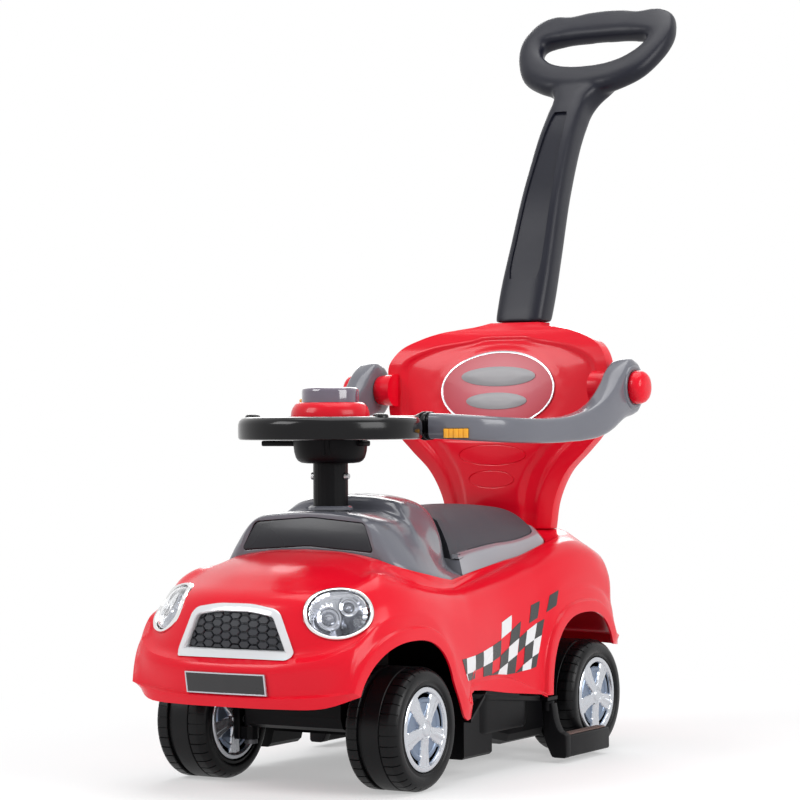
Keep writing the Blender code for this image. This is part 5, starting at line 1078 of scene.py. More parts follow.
def make_grille():
    """Chrome frame round a panel of raised flat hexagons."""
    tree = skin_tree()
    rows = []
    for grow, lift in metres([(-0.1, -6.5), (0, 0.7), (1.2, 0.9), (1.5, 2.2), (0.4, 3.3),
                              (-5.8, 3.5), (-6.9, 2.4), (-7.4, 0.4), (-7.8, -6.5)]):
        rows.append([on_nose(tree, u, v, lift)
                     for u, v in offset_outline(grille_outline(6), grow)])
    material = finish("grille_chrome", (0.72, 0.73, 0.75), 0.12, 0.20, metallic=0.20, shade=0.94,
                      grain=200.0, bump=0.02, coat=0.6, coat_roughness=0.05)
    hand_in(skinned("grille_frame", rows, loop=True), "grille_frame", "car",
            material, "grille_bezel", 50)

    middle = (GRILLE_LOW + GRILLE_HIGH) / 2
    inner = grille_loop(-0.0077)
    sheets = []
    for lift in (-0.0062, -0.0046):
        sheets.append([[on_nose(tree, u * shrink, middle + (v - middle) * shrink, lift)
                        for u, v in inner] for shrink in (0.02, 0.25, 0.5, 0.75, 1.0)])
    panel = skinned("grille_panel", sheets[0] + sheets[1][::-1])
    width, row = sizes().cell_width, sizes().cell_height
    border = grille_loop(-0.0083)
    hexagon = ((0.50, 0.0), (0.27, 0.50), (-0.27, 0.50), (-0.50, 0.0), (-0.27, -0.50),
               (0.27, -0.50))
    pads = bmesh.new()
    for j in range(-8, 9):
        for i in range(-4, 5):
            core = Vector(((i + 0.5 * (j % 2)) * 1.54 * width, middle + 0.001 + j * row / 2))
            shape = clip([core + Vector((0.91 * a * width, 0.86 * b * row)) for a, b in hexagon],
                         border)
            if len(shape) < 3 or area(shape) <= 4e-6:
                continue
            core = sum(shape, Vector((0, 0))) / len(shape)
            layers = [[pads.verts.new(on_nose(tree, *(core + (p - core) * grow), lift))
                       for p in shape]
                      for grow, lift in ((1.0, -0.005), (1.0, -0.0034), (0.84, -0.0024))]
            for low, high in zip(layers, layers[1:]):
                for k in range(len(low)):
                    m = (k + 1) % len(low)
                    pads.faces.new((low[k], low[m], high[m], high[k]))
            pads.faces.new(layers[-1])
            pads.faces.new(layers[0][::-1])
    bmesh.ops.recalc_face_normals(pads, faces=pads.faces)
    material = finish("grille_grey", (0.022, 0.024, 0.031), 0.28, 0.40, bump=0.08)
    hand_in(unify([panel, built("cells", pads)]), "grille_panel", "car",
            material, "grille_mesh", 25)


def make_plate():
    """Bare plate with a thin bright border, bent round the bumper."""
    tree = skin_tree()

    def place(u, v, lift):
        low, high = (onto_front(tree, u, z, -0.15).y for z in (0.1115, 0.1345))
        return Vector((u, low + (high - low) * (v - 0.1115) / 0.023 - lift, v))

    def row(inset, lift):
        half, low, high = 0.0505 - inset, 0.1115 + inset, 0.1345 - inset
        across = [half * (2 * k / 14 - 1) for k in range(15)]
        upright = [low + (high - low) * k / 4 for k in range(1, 4)]
        path = [(u, low) for u in across] + [(half, v) for v in upright]
        path += [(u, high) for u in reversed(across)] + [(-half, v) for v in reversed(upright)]
        return [place(u, v, lift) for u, v in path]
    border = skinned("border", [row(*pair) for pair in metres(
        [(0, 0.7), (0, 2.9), (0.4, 3.4), (1.3, 3.4), (1.7, 2.9), (1.7, 0.7)])], loop=True)
    hand_in(border, "plate_border", "car", silver(), angle=40)
    sections = []
    for i in range(25):
        u = 0.0488 * (i / 12 - 1)
        low, high = (Vector((u, onto_front(tree, u, v, -0.15).y, v)) for v in (0.1131, 0.1329))
        sections.append([p + Vector((0, -lift, 0)) for p, lift in
                         ((low, 0.0007), (low, 0.0029), (high, 0.0029), (high, 0.0007))])
    material = finish("plate_charcoal", (0.021, 0.02, 0.022), 0.22, 0.32, grain=700.0)
    hand_in(skinned("plate_face", sections), "plate_face", "car", material,
            "number_plate", 30)


def make_tyres():
    """Tyres with lugged bands, a wide groove and a fine line, all from one mould."""
    r, half = TYRE_RADIUS * 1000, HALF_TYRE * 1000
    rim = [(46, 4), (46, 26.2), (46.6, 30), (47.8, 31.2), (49.2, 30.6), (50.6, 30.6), (52, 31.8),
           (54, half)]
    tread = [(58.5, half), (60.5, 31.8), (62.2, 30.6), (64, 29), (65.3, 26.8), (66.2, 24.5),
             (66.8, 23.2), (r, 21.5), (r, 12.8), (66.4, 12.4), (65.6, 12.1), (65.6, 11.2),
             (66.4, 10.8), (r, 10.4), (r, 0), (r, -9.8), (66.2, -10.6), (63.2, -11),
             (63.2, -16), (66.2, -16.4), (r, -17.2), (r, -26.2), (66.8, -27.6), (65.5, -30),
             (63, -31.6), (60.5, -half)]
    profile = rim + tread + [(reach, -x) for reach, x in reversed(rim)] + [
        (11, -4), (11, -22.5), (4.6, -22.5), (4.6, 22.5), (11, 22.5), (11, 4), (46, 4)]
    steps = sizes().lug_count * 8
    tyre = spun("tyre", profile, steps, axis='X')
    mesh = bmesh.new()
    mesh.from_mesh(tyre.data)
    slits = []
    for face in mesh.faces:
        centre = face.calc_center_median()
        out = sqrt(centre.y ** 2 + centre.z ** 2)
        turn = (pi - atan2(centre.y, centre.z)) / (2 * pi) * steps
        band = out > 0.0625 and (centre.x > 0.0125 or centre.x < -0.0168) and abs(centre.x) < 0.031
        if band and int(turn) % 8 == (0 if centre.x > 0 else 4):
            slits.append(face)
    grown = bmesh.ops.extrude_face_region(mesh, geom=slits)
    sunk = {v for v in grown["geom"] if isinstance(v, bmesh.types.BMVert)}
    bmesh.ops.delete(mesh, geom=slits, context='FACES')
    for vert in sunk:
        share = 1 - sizes().lug_depth / sqrt(vert.co.y ** 2 + vert.co.z ** 2)
        vert.co.y *= share
        vert.co.z *= share
    bmesh.ops.recalc_face_normals(mesh, faces=mesh.faces)
    mesh.to_mesh(tyre.data)
    mesh.free()
    for label, side, y in WHEELS:
        made = own_copy(tyre, "tyre_" + label,
                        Matrix.Translation((side * WHEEL_X, y, TYRE_RADIUS)))
        hand_in(made, "tyre_" + label, label + "_wheel", tyre_black(),
                "wheel_" + label, 28)
    remove(tyre)


# Radius at which a wheel cover meets its tyre, and the angle between its spokes
RIM = 0.0457


def ease(value, low, high):
    t = min(1.0, max(0.0, (value - low) / (high - low)))
    return t * t * (3 - 2 * t)


SPOKE_SHARE = 2 * pi / 5
def from_spoke(turn):
    """Angle from the nearest spoke of a wheel cover."""
    return (turn + SPOKE_SHARE / 2) % SPOKE_SHARE - SPOKE_SHARE / 2


def cover_height(r, turn):
    """Height of a wheel cover's face above its lowest panel, and whether it is a recess."""
    near = from_spoke(turn)
    aside = abs(r * sin(near))
    width = 0.0046 + 0.004 * (r / 0.04) ** 1.5
    spoke = 1 - ease(aside, width, width + 0.0022)
    ridge = 0.0009 * ease(aside, 0.0006, 0.003) * ease(r, 0.014, 0.02)
    rim = ease(r, 0.0392, 0.0408)
    band = ease(r, 0.0285, 0.0298) * (1 - ease(r, 0.0332, 0.0342))
    petal = 0.0006 * (1 - ease(abs(r - 0.0225) + 0.5 * abs(near) * r, 0.004, 0.006))
    floor = 0.0004 + 0.0014 * band + petal
    height = floor + (0.004 - ridge - 0.0006 * ease(r, 0.016, 0.034) - floor) * spoke
    height += (0.0046 - height) * rim - 0.0012 * ease(r, 0.0446, 0.0455)
    hub = 1 - ease(r, 0.0105, 0.0128)
    height += (0.0046 - height) * hub
    height -= 0.001 * hub * ease(r, 0.0072, 0.0078) * (1 - ease(r, 0.0094, 0.01))
    height += 0.001 * (1 - ease(r, 0.006, 0.0068))
    return height, spoke < 0.5 and rim < 0.5 and hub < 0.5


def make_covers():
    """Five-spoked covers pressed into the rims; one spoke points straight down."""
    turns, rings = 240, 60
    radii = [0.001 + (RIM - 0.001) * k / rings for k in range(rings + 1)]
    bm = bmesh.new()
    rows, marks = [], []
    for r in radii:
        row, mark = [], []
        for i in range(turns):
            turn = 2 * pi * i / turns
            height, recess = cover_height(r, turn)
            row.append(bm.verts.new((height, -r * sin(turn), -r * cos(turn))))
            mark.append(recess)
        rows.append(row)
        marks.append(mark)
    for k in range(rings):
        r = (radii[k] + radii[k + 1]) / 2
        for i in range(turns):
            j = (i + 1) % turns
            aside = abs(from_spoke(2 * pi * (i + 0.5) / turns)) * r
            if 0.0346 < r < 0.0388 and aside > 0.011:
                continue
            face = bm.faces.new((rows[k][i], rows[k][j], rows[k + 1][j], rows[k + 1][i]))
            # Recess faces take the darker metal, which is painted shade in the recesses.
            face.material_index = 1 if marks[k][i] and marks[k + 1][j] else 0
    bm.faces.new(rows[0])
    bmesh.ops.recalc_face_normals(bm, faces=bm.faces)
    if sum(face.normal.x for face in bm.faces) < 0:
        bmesh.ops.reverse_faces(bm, faces=bm.faces)
    cover = built("cover", bm)
    for material in (silver(), recess_painted_shade()):
        cover.data.materials.append(material)
    modify(cover, 'SOLIDIFY', thickness=0.0012, offset=-1.0)
    cover.data.transform(Matrix.Translation((HALF_TYRE - 0.0012 - 0.004, 0, 0)))
    for label, side, y in WHEELS:
        faces = [("outer", side)] + ([("inner", -side)] if label.startswith("front") else [])
        for face, way in faces:
            name = "cover_%s_%s" % (label, face)
            made = sided(own_copy(cover, name), way)
            placed(made, Matrix.Translation((side * WHEEL_X, y, TYRE_RADIUS)))
            hand_in(made, name, label + "_wheel", [silver(), recess_painted_shade()],
                    "wheel_cover_%s_%s" % (label, face), 38)
    remove(cover)


def make_steering():
    """Wheel rim, spokes, thumb rests, hub bowl with ribs, dome and horn cap."""
    low, high, into = 0.3775, 0.403, 0.074
    middle = (0, COLUMN_Y, 0)
    key_middle = (-0.0375, COLUMN_Y, 0)

    def round_hub(piece, degrees):
        turn = Matrix.Rotation(radians(degrees), 4, 'Z')
        return placed(piece, Matrix.Translation(middle) @ turn)
    parts = [spun("rim", [(74, 385), (75.5, 380.5), (79, 377.8), (99, 377.5), (101.8, 378.2),
                          (103, 380), (103.2, 388), (103, 395), (101.8, 398.4), (99, 401.2),
                          (94, 402.8), (88, 403), (82, 402.6), (77, 400.5), (74.4, 396),
                          (74, 390), (74, 385)], 128, centre=middle),
             spun("hub", [(0, 378.5), (42.5, 378.5), (43, 379.1), (43, 401.4), (42.4, 402),
                          (0, 402)], 72, centre=middle)]
    for turn in (0, 120, 240):
        parts.append(round_hub(slab("spoke", (-0.013, 0.038, low + 0.004),
                                    (0.013, into + 0.01, high - 0.005), 0.0035, 4), turn))
    for side in (-1, 1):
        parts.append(spun("thumb_rest", [(0, 400), (8.8, 400), (8.6, 403.6), (7.4, 405.2),
                                         (5, 406.1), (0, 406.4)], 40,
                          centre=(side * 0.084, COLUMN_Y - 0.03, 0)))
    hand_in(unify(parts), "steering_rim", "steering", black_gloss(),
            "steering_wheel", 40)

    bits = [spun("bowl", [(20, 351), (27, 351), (32.5, 351.7), (36.2, 353.8), (38.8, 357.5),
                          (40.6, 364), (41.5, 372), (41.6, 378.1), (15.8, 378.1), (15.8, 355.6),
                          (20, 355.6), (20, 351)], 72, centre=middle)]
    for way, reach in ((-1, 0.088), (1, 0.048)):
        bits.append(slab("stalk", (way * 0.034, COLUMN_Y - 0.008, low - 0.0075),
                         (way * reach, COLUMN_Y + 0.008, low - 0.0012), 0.0018, 3))
    for turn in (22, 30):
        bits.append(round_hub(slab("rib", (-0.0011, -0.0424, 0.36), (0.0011, -0.038, 0.377),
                                   0.0008, 2), turn))
    hand_in(unify(bits), "hub_bowl_shell", "steering", black(), "hub_bowl")

    dome = spun("dome", [(0, 402.4), (44, 402.4), (44.2, 405), (43.6, 409), (42, 413),
                         (39.6, 416.4), (36.8, 418.4), (34.4, 419), (33, 418.8), (32.4, 418),
                         (32.4, 405.8), (0, 405.8)], 72, centre=middle)
    cut(dome, spun("well", [(0, 412), (3.5, 412), (3.5, 429), (0, 429)], 32, centre=key_middle))
    hand_in(dome, "hub_dome_shell", "steering", red(), "hub_dome", 40)
    cap = spun("cap", [(0, 414), (31.8, 414), (31.8, 431), (31.4, 433), (30.4, 434.5),
                       (28.8, 435.3), (26, 435.6), (15, 435.8), (0, 436)], 72, centre=middle)
    hand_in(cap, "horn_shell", "horn", smoke(), "horn_cap")
    key = spun("key", [(0, 415), (3, 415), (3, 421.6), (2.6, 422.6), (1.6, 423.2), (0, 423.3)],
               36, centre=key_middle)
    hand_in(key, "melody_key_cap", "melody_key", orange(), "melody_button", 40)


def rounded_section(point, run, width, height, power=3.4, count=28):
    """Superellipse across a bar running level in a direction."""
    side = Vector((run.y, -run.x, 0)).normalized()
    return [point + side * (bulge(c, 2 / power) * width / 2)
            + Vector((0, 0, bulge(s, 2 / power) * height / 2)) for c, s in round_turn(count)]


def run_along(line, i):
    """Direction of a row of points at one of them."""
    return line[min(i + 1, len(line) - 1)] - line[max(i - 1, 0)]


def make_guard():
    """Arms with their pivot rings, caps and keys, and the front bar with its two clamps."""
    places = through([row[:3] for row in GUARD_LINE], 5)
    girths = through([(*row[3:], 0) for row in GUARD_LINE], 5)
    for side, label in SIDES:
        line = [Vector((p.x * side, p.y + AXLE_Y, p.z)) for p in places]
        rings = []
        for i, (p, girth) in enumerate(zip(line, girths)):
            run = run_along(line, i)
            behind = p.y - AXLE_Y
            if behind >= GUARD_PIVOT_Y - 0.026:
                run = Vector((0, -1, 0))
            if i == len(line) - 1:
                run = Vector((-side, 0, 0))
            rings.append(rounded_section(p, Vector((run.x, run.y, 0)), girth.y, girth.x,
                                         4.2 if behind < 0.40 else 4.8))
        arm = skinned("arm", rings)
        pivot = Vector((side * GUARD_PIVOT_X, GUARD_PIVOT_Y + AXLE_Y, GUARD_PIVOT_Z))
        cut(arm, spun("bore", [(0, -30), (6.3, -30), (6.3, 30), (0, 30)], 32, 'X', centre=pivot))
        place = key_place(side)
        cut(arm, placed(slab("pocket", (-0.0145, -0.009, -0.006), (0.0145, 0.02, 0.006), 0),
                        place))
        ring = spun("ring", [(20.2, 11), (26.2, 11), (26.2, 15.2), (25.4, 16.4), (24, 16.8),
                             (22.2, 16.8), (20.8, 16), (20.2, 11)], 64, 'X')
        placed(sided(ring, side), Matrix.Translation(pivot))
        hand_in(unify([arm, ring]), "guard_arm_shell_" + label, "guard", trim_grey(),
                "guard_arm_" + label, 50)

        teeth = []
        for k in range(5):
            start = -0.014 + k * 0.0056
            proud = 0.002 if k % 2 == 0 else 0.0012
            teeth.append(slab("step", (start, -0.006, -0.0053), (start + 0.0056, proud, 0.0053),
                              0.0007, 2))
        hand_in(placed(unify(teeth), place), "release_key_" + label, "release_" + label,
                orange(), "guard_button_" + label)

        cap = spun("cap", [(0, 142.5), (6, 142.5), (6, 194), (19, 194), (20, 195), (20.1, 199),
                           (19.6, 203), (18.2, 206.4), (15.8, 209), (12, 210.7), (7, 211.4),
                           (0, 211.5)], 64, 'X', centre=(0, pivot.y, pivot.z))
        hand_in(sided(cap, side), "pivot_cap_" + label, "guard", red(),
                "guard_cap_" + label, 45)

    half = [(-0.0794, 0.1465), (-0.072, 0.148), (-0.066, 0.1512), (-0.045, 0.1632),
            (-0.022, 0.1712), (0, 0.174)]
    path = half + [(-x, y) for x, y in half[-2::-1]]
    line = through([(x, y + AXLE_Y, 0.392) for x, y in path], 8)
    rings = []
    for i, p in enumerate(line):
        run = Vector((1, 0, 0)) if i in (0, len(line) - 1) else run_along(line, i)
        swell = ease(abs(p.x), 0.05, 0.066)
        rings.append(rounded_section(p, run, 0.021 + 0.0028 * swell, 0.024 + 0.006 * swell,
                                     2.8, 32))
    pieces = [skinned("bar", rings)]
    thick = 0.0014
    for side in (-1, 1):
        for x, y, grow, slant in ((0.0757, 0.1468, 0.0022, 0.1), (0.069, 0.1496, 0.003, 0.35)):
            run = Vector((1, -slant * side, 0)).normalized()
            rows = []
            for shift, swell in ((-1, -0.0006), (-0.6, 0.0), (0.6, 0.0), (1, -0.0006)):
                p = Vector((side * x, y + AXLE_Y, 0.392)) + run * (thick * shift)
                size = grow + swell
                rows.append(rounded_section(p, run, 0.0238 + size, 0.03 + size, 2.8, 32))
            pieces.append(skinned("clamp", rows))
    hand_in(unify(pieces), "front_bar_shell", "guard",
            black_gloss(), "guard_front_bar", 40)


def key_place(side):
    """Frame of a release key: origin on the arm's face, +Y pointing out of it."""
    a = Vector((side * 0.125, 0.164, 0))
    b = Vector((side * 0.09, 0.1482, 0))
    run = (b - a).normalized()
    out = Vector((-run.y, run.x, 0)) * side
    if out.y > 0:
        out = -out
    spot = Vector((side * 0.107, 0.1532 + AXLE_Y, 0.3835)) + out * 0.0115
    level = out.cross(Vector((0, 0, 1)))
    turn = Matrix((level, out, Vector((0, 0, 1)))).transposed().to_4x4()
    return Matrix.Translation(spot) @ turn


def backrest_rows():
    """Finely interpolated sections of the backrest."""
    first = through([row[:3] for row in BACKREST_LEVELS], 7)
    second = through([row[3:] for row in BACKREST_LEVELS], 7)
    return [(a.x, a.y, a.z, b.x, b.y, b.z) for a, b in zip(first, second)]


def panel_share(x, z, outline):
    """How fully a point of the backrest's front belongs to the set-in panel, 0 to 1."""
    from_edge = min(sqrt((w - abs(x)) ** 2 + (h - z) ** 2) for w, h in outline)
    share = ease(from_edge, 0.0175, 0.0235)
    rise = min(1.0, max(0.0, (z - 0.3) / 0.072))
    half = 0.0385 + 0.039 * rise ** 1.9
    tongue = (1 - ease(abs(x), half - 0.001, half + 0.0035)) * (1 - ease(z, 0.372, 0.3775))
    oval = sqrt((x / 0.09) ** 2 + ((z - BADGE_Z) / 0.0545) ** 2)
    groove = 0.22 * max(0.0, 1 - abs(oval - 1.0) / 0.045)
    return share * (1 - tongue) + groove * share


def oval_tube(tree, centre_z, half_width, half_height, radius, count=72):
    """Thin tube along an oval on the backrest's front, to engrave it with."""
    rings = []
    for c, s in round_turn(count):
        p = onto_front(tree, half_width * c, centre_z + half_height * s, 0.44)
        rings.append([p + Vector((-c, 0, -s)) * (radius * a) + Vector((0, -radius * b, 0))
                      for a, b in round_turn(8)])
    return skinned("oval_tube", rings, loop=True)


def make_backrest():
    """Backrest with raised rim, set-in panel, oval badge, engraved ovals and pivot bosses."""
    rows = backrest_rows()
    outline = [(row[1], row[0]) for row in rows]
    outline += [(x * rows[-1][1] / 40, rows[-1][0]) for x in range(40)]
    columns = 34
    rings = []
    for z, width, middle, edge, back_middle, back_edge in rows:
        front, back = [], []
        for k in range(-columns, columns + 1):
            u = sin(pi / 2 * k / columns)
            bend = abs(u) ** 2.2
            x = u * width
            sunk = sizes().panel_depth * panel_share(x, z, outline)
            front.append(Vector((x, middle + (edge - middle) * bend + sunk + AXLE_Y, z)))
            if abs(k) < columns:
                back.append(Vector((x, back_middle + (back_edge - back_middle) * bend + AXLE_Y,
                                    z)))
        rings.append(front + back[::-1])
    shell = skinned("backrest_shell", rings)
    round_edges(shell, 0.0022, 50)
    tree = tree_of(shell)
    for z, w, h in ((0.3545, 0.047, 0.0125), (0.3245, 0.0315, 0.0105)):
        cut(shell, oval_tube(tree, z, w, h, 0.00085))
    for side, _ in SIDES:
        boss = spun("boss", [(0, 140), (20.5, 140), (19.6, 150), (18, 162.2), (17.2, 163.2),
                             (6.3, 163.2), (6.3, 142), (0, 142)], 64, 'X',
                    centre=(0, GUARD_PIVOT_Y + AXLE_Y, GUARD_PIVOT_Z))
        cut(shell, sided(boss, side), 'UNION')
    hand_in(shell, "backrest_shell", "car", red(), "backrest", 40)

    rest = tree_of(shell)

    def ovals(rows, count=96, centre=BADGE_Z):
        """Ovals on the backrest, each of a half width, half height and lift."""
        return [[onto_front(rest, wide * c, centre + tall * s, 0.44, lift)
                 for c, s in round_turn(count)] for wide, tall, lift in rows]
    w, h = 0.08, 0.048
    badge = skinned("badge", ovals([(a * w, b * h, lift) for a, b, lift in (
        (0.03, 0.03, 0.0009), (0.97, 0.96, 0.0008), (0.97, 0.96, 0.0018), (0.7, 0.7, 0.0022),
        (0.35, 0.35, 0.0024), (0.03, 0.03, 0.0025))]))
    hand_in(badge, "badge_oval", "car", badge_smoke(), "backrest_badge", 50)
    edge = skinned("edge", ovals([(w - inset, h - inset, lift) for inset, lift in metres(
        [(0, 0.7), (0, 1.8), (0.5, 2.5), (2.2, 2.5), (2.8, 1.8), (2.8, 0.7)])]), loop=True)
    hand_in(edge, "badge_edge", "car", silver(), "badge_ring", 45)
    for label, z, half, tall in (("upper", 0.452, 0.052, 0.0122),
                                 ("lower", 0.4215, 0.0425, 0.0104)):
        pad = skinned("pad", ovals([(0.03 * half, 0.03 * tall, 0.0026), (half, tall, 0.0024),
                                    (half, tall, 0.0031), (half - 0.0012, tall - 0.0012, 0.0037),
                                    (0.5 * half, 0.5 * tall, 0.0041),
                                    (0.03 * half, 0.03 * tall, 0.0043)], count=72, centre=z))
        hand_in(pad, "badge_pad_" + label, "car", pad_silver(), angle=40)


def badge_smoke():
    """Smoky red of the badge, paler towards its middle as a painted highlight and darker at its
    edge as painted shade.
    """
    material = finish("badge_smoke", (0.60, 0.10, 0.14), 0.26, 0.36, grain=400.0, bump=0.03,
                      coat=0.15, specular=0.28)
    # Paler middle is a painted highlight, darker edge is painted shade.
    return shaded_oval(material, (0.56, 0.1, 0.13), (0.46, 0.02, 0.042), 0.08, 0.048, BADGE_Z)


def pad_silver():
    return finish("pad_silver", (0.40, 0.39, 0.405), 0.34, 0.44, shade=0.70, cloud=22.0,
                  grain=500.0, bump=0.03, specular=0.35)


def shaded_oval(material, inner, outer, half_width, half_height, height):
    """Blend a finish's colour from the middle of an oval in X and Z to its edge, painting light
    and shade onto it.
    """
    nodes = material.node_tree.nodes
    place = add(nodes, 'TexCoord')
    centre = add(nodes, 'Mapping', {"Location": (0, 0, -height / half_height),
                                    "Scale": (1 / half_width, 0.0, 1 / half_height)})
    reach = add(nodes, 'VectorMath', operation='LENGTH')
    ramp = add(nodes, 'ValToRGB')
    for stop, position, colour in zip(ramp.color_ramp.elements, (0.35, 1.0), (inner, outer)):
        stop.position = position
        stop.color = (*colour, 1.0)
    join(material.node_tree.links, (place, "Object", centre, "Vector"),
         (centre, "Vector", reach, 0), (reach, "Value", ramp, "Fac"),
         (ramp, "Color", nodes["Principled BSDF"], "Base Color"))
    return material


def stem_sections(line):
    """Rounded sections square to the stem's line."""
    rings = []
    last = len(line) - 1
    for i, (y, z, width, depth) in enumerate(line):
        before, after = line[max(i - 1, 0)], line[min(i + 1, last)]
        run = Vector((0, after[0] - before[0], after[1] - before[1])).normalized()
        if i == 0:
            run = Vector((0, 0, 1))
        out = Vector((0, run.z, -run.y))
        rings.append([Vector((bulge(c, 0.5) * width / 2, y + AXLE_Y, z))
                      + out * (bulge(s, 0.5) * depth / 2) for c, s in round_turn(32)])
    return rings


def make_handle():
    """Push handle: stem and grip loop blended into one moulding, with a set-in front panel."""
    line = through([row[:3] for row in STEM_LINE], 5)
    depths = through([(row[3], 0, 0) for row in STEM_LINE], 5)
    line = [(p.x, p.y, p.z, d.x) for p, d in zip(line, depths)]
    stem = skinned("stem", stem_sections(line))
    tilt = radians(41.0)
    up = Vector((0, sin(tilt), cos(tilt)))
    out = Vector((0, -cos(tilt), sin(tilt)))
    foot = Vector((0, 0.68 + AXLE_Y, 0.845))

    def closed(half):
        points = [p.to_2d() for p in spline([(x, y, 0) for x, y in half], 48)]
        return points + [Vector((-p.x, p.y)) for p in reversed(points[1:-1])]
    outer, hole = closed(GRIP_OUTER), closed(GRIP_HOLE)
    centre = Vector((0, 0.052))
    rings = []
    for way in round_turn(96, 0.5):
        o, inner = at_angle(outer, centre, way), at_angle(hole, centre, way)
        ring = []
        for c, s in round_turn(24):
            q = inner.lerp(o, 0.5 + 0.5 * bulge(c, 0.72))
            ring.append(foot + Vector((q.x, 0, 0)) + up * q.y + out * (bulge(s, 0.72) * 0.0146))
        rings.append(ring)
    cut(stem, skinned("loop", rings, loop=True), 'UNION')
    modify(stem, 'REMESH', mode='VOXEL', voxel_size=0.0022, adaptivity=0.0)
    modify(stem, 'SMOOTH', factor=0.5, iterations=22)
    panel = []
    goal = [row for row in line if 0.56 <= row[1] <= 0.785]
    for i, (y, z, _, depth) in enumerate(goal):
        half = 0.0225 - 0.012 * i / (len(goal) - 1)
        half *= (0.84, 0.97, 1.0)[min(i, len(goal) - 1 - i, 2)]
        before, after = goal[max(i - 1, 0)], goal[min(i + 1, len(goal) - 1)]
        run = Vector((0, after[0] - before[0], after[1] - before[1])).normalized()
        front = -Vector((0, run.z, -run.y))
        middle = Vector((0, y + AXLE_Y, z)) + front * (depth / 2 - 0.0034)
        panel.append([middle + Vector((x, 0, 0)) + front * w for x, w in
                      ((-half, 0.0), (half, 0.0), (half, 0.012), (-half, 0.012))])
    cut(stem, skinned("panel", panel))
    tongue = skinned("tongue", stem_sections([(0.512, z, 0.05, 0.024)
                                              for z in (0.49, 0.51, 0.523)]))
    hand_in(unify([stem, tongue]), "handle_moulding", "car",
            handle_grey(), "push_handle", 32)


def rim_at(y):
    """Half width and height of the recess rim beside a point behind the front axle."""
    rim = [p for p in rim_row() if p.x > 0.03]
    goal = y + AXLE_Y
    for a, b in zip(rim, rim[1:]):
        if a.y <= goal <= b.y and b.y > a.y:
            t = (goal - a.y) / (b.y - a.y)
            return a.x + (b.x - a.x) * t, a.z + (b.z - a.z) * t
    return rim[-1].x, rim[-1].z


def lid_share(y):
    """0 at the seat lid's front, 1 at its rear."""
    return min(1.0, max(0.0, (y - AXLE_Y - 0.159) / 0.27))


def lid_loop(inset, lift):
    """Loop round the seat lid: inset from the rim and raised above it."""
    front_x, front_z = rim_at(0.16)
    half = [(p, front_z) for p in on_body(
        [(0, 176.5, 0), (17, 176.2, 0), (34, 175.5, 0), (48, 174, 0), (62, 171.6, 0),
         (70, 169.6, 0), (78, 167.2, 0), (85, 164.2, 0), (92, 161, 0)])]
    half.append((Vector((front_x, 0.16 + AXLE_Y, 0)), front_z))
    half += [(Vector((p.x, p.y, 0)), p.z) for p in rim_row() if p.y > 0.17 + AXLE_Y]
    full = half + [(Vector((-p.x, p.y, 0)), z) for p, z in reversed(half[1:-1])]
    flat = offset_outline([(p.x, p.y) for p, _ in full], -inset - 0.0007)
    low = min(p[1] for p in flat)
    loop = []
    for (_, z), q in zip(full, flat):
        rise = lift(lid_share(q[1])) if callable(lift) else lift
        loop.append(Vector((q[0], max(q[1], low), z + rise)))
    return loop


def band_rise(t):
    return 0.0225 - 0.0115 * t ** 1.5


def half_width(loop, y):
    """Half width of a closed loop at a place along the car."""
    reach = [0.0]
    for a, b in zip(loop, loop[1:] + loop[:1]):
        if a.x > 0 and b.x > 0 and (a.y - y) * (b.y - y) <= 0 and abs(a.y - b.y) > 1e-7:
            reach.append(a.x + (b.x - a.x) * (y - a.y) / (b.y - a.y))
    return max(reach)


def band(share, rise=0.0):
    """Height rule for a loop of the lid: a share of the band's height and a bit more."""
    return lambda t: share * band_rise(t) + rise


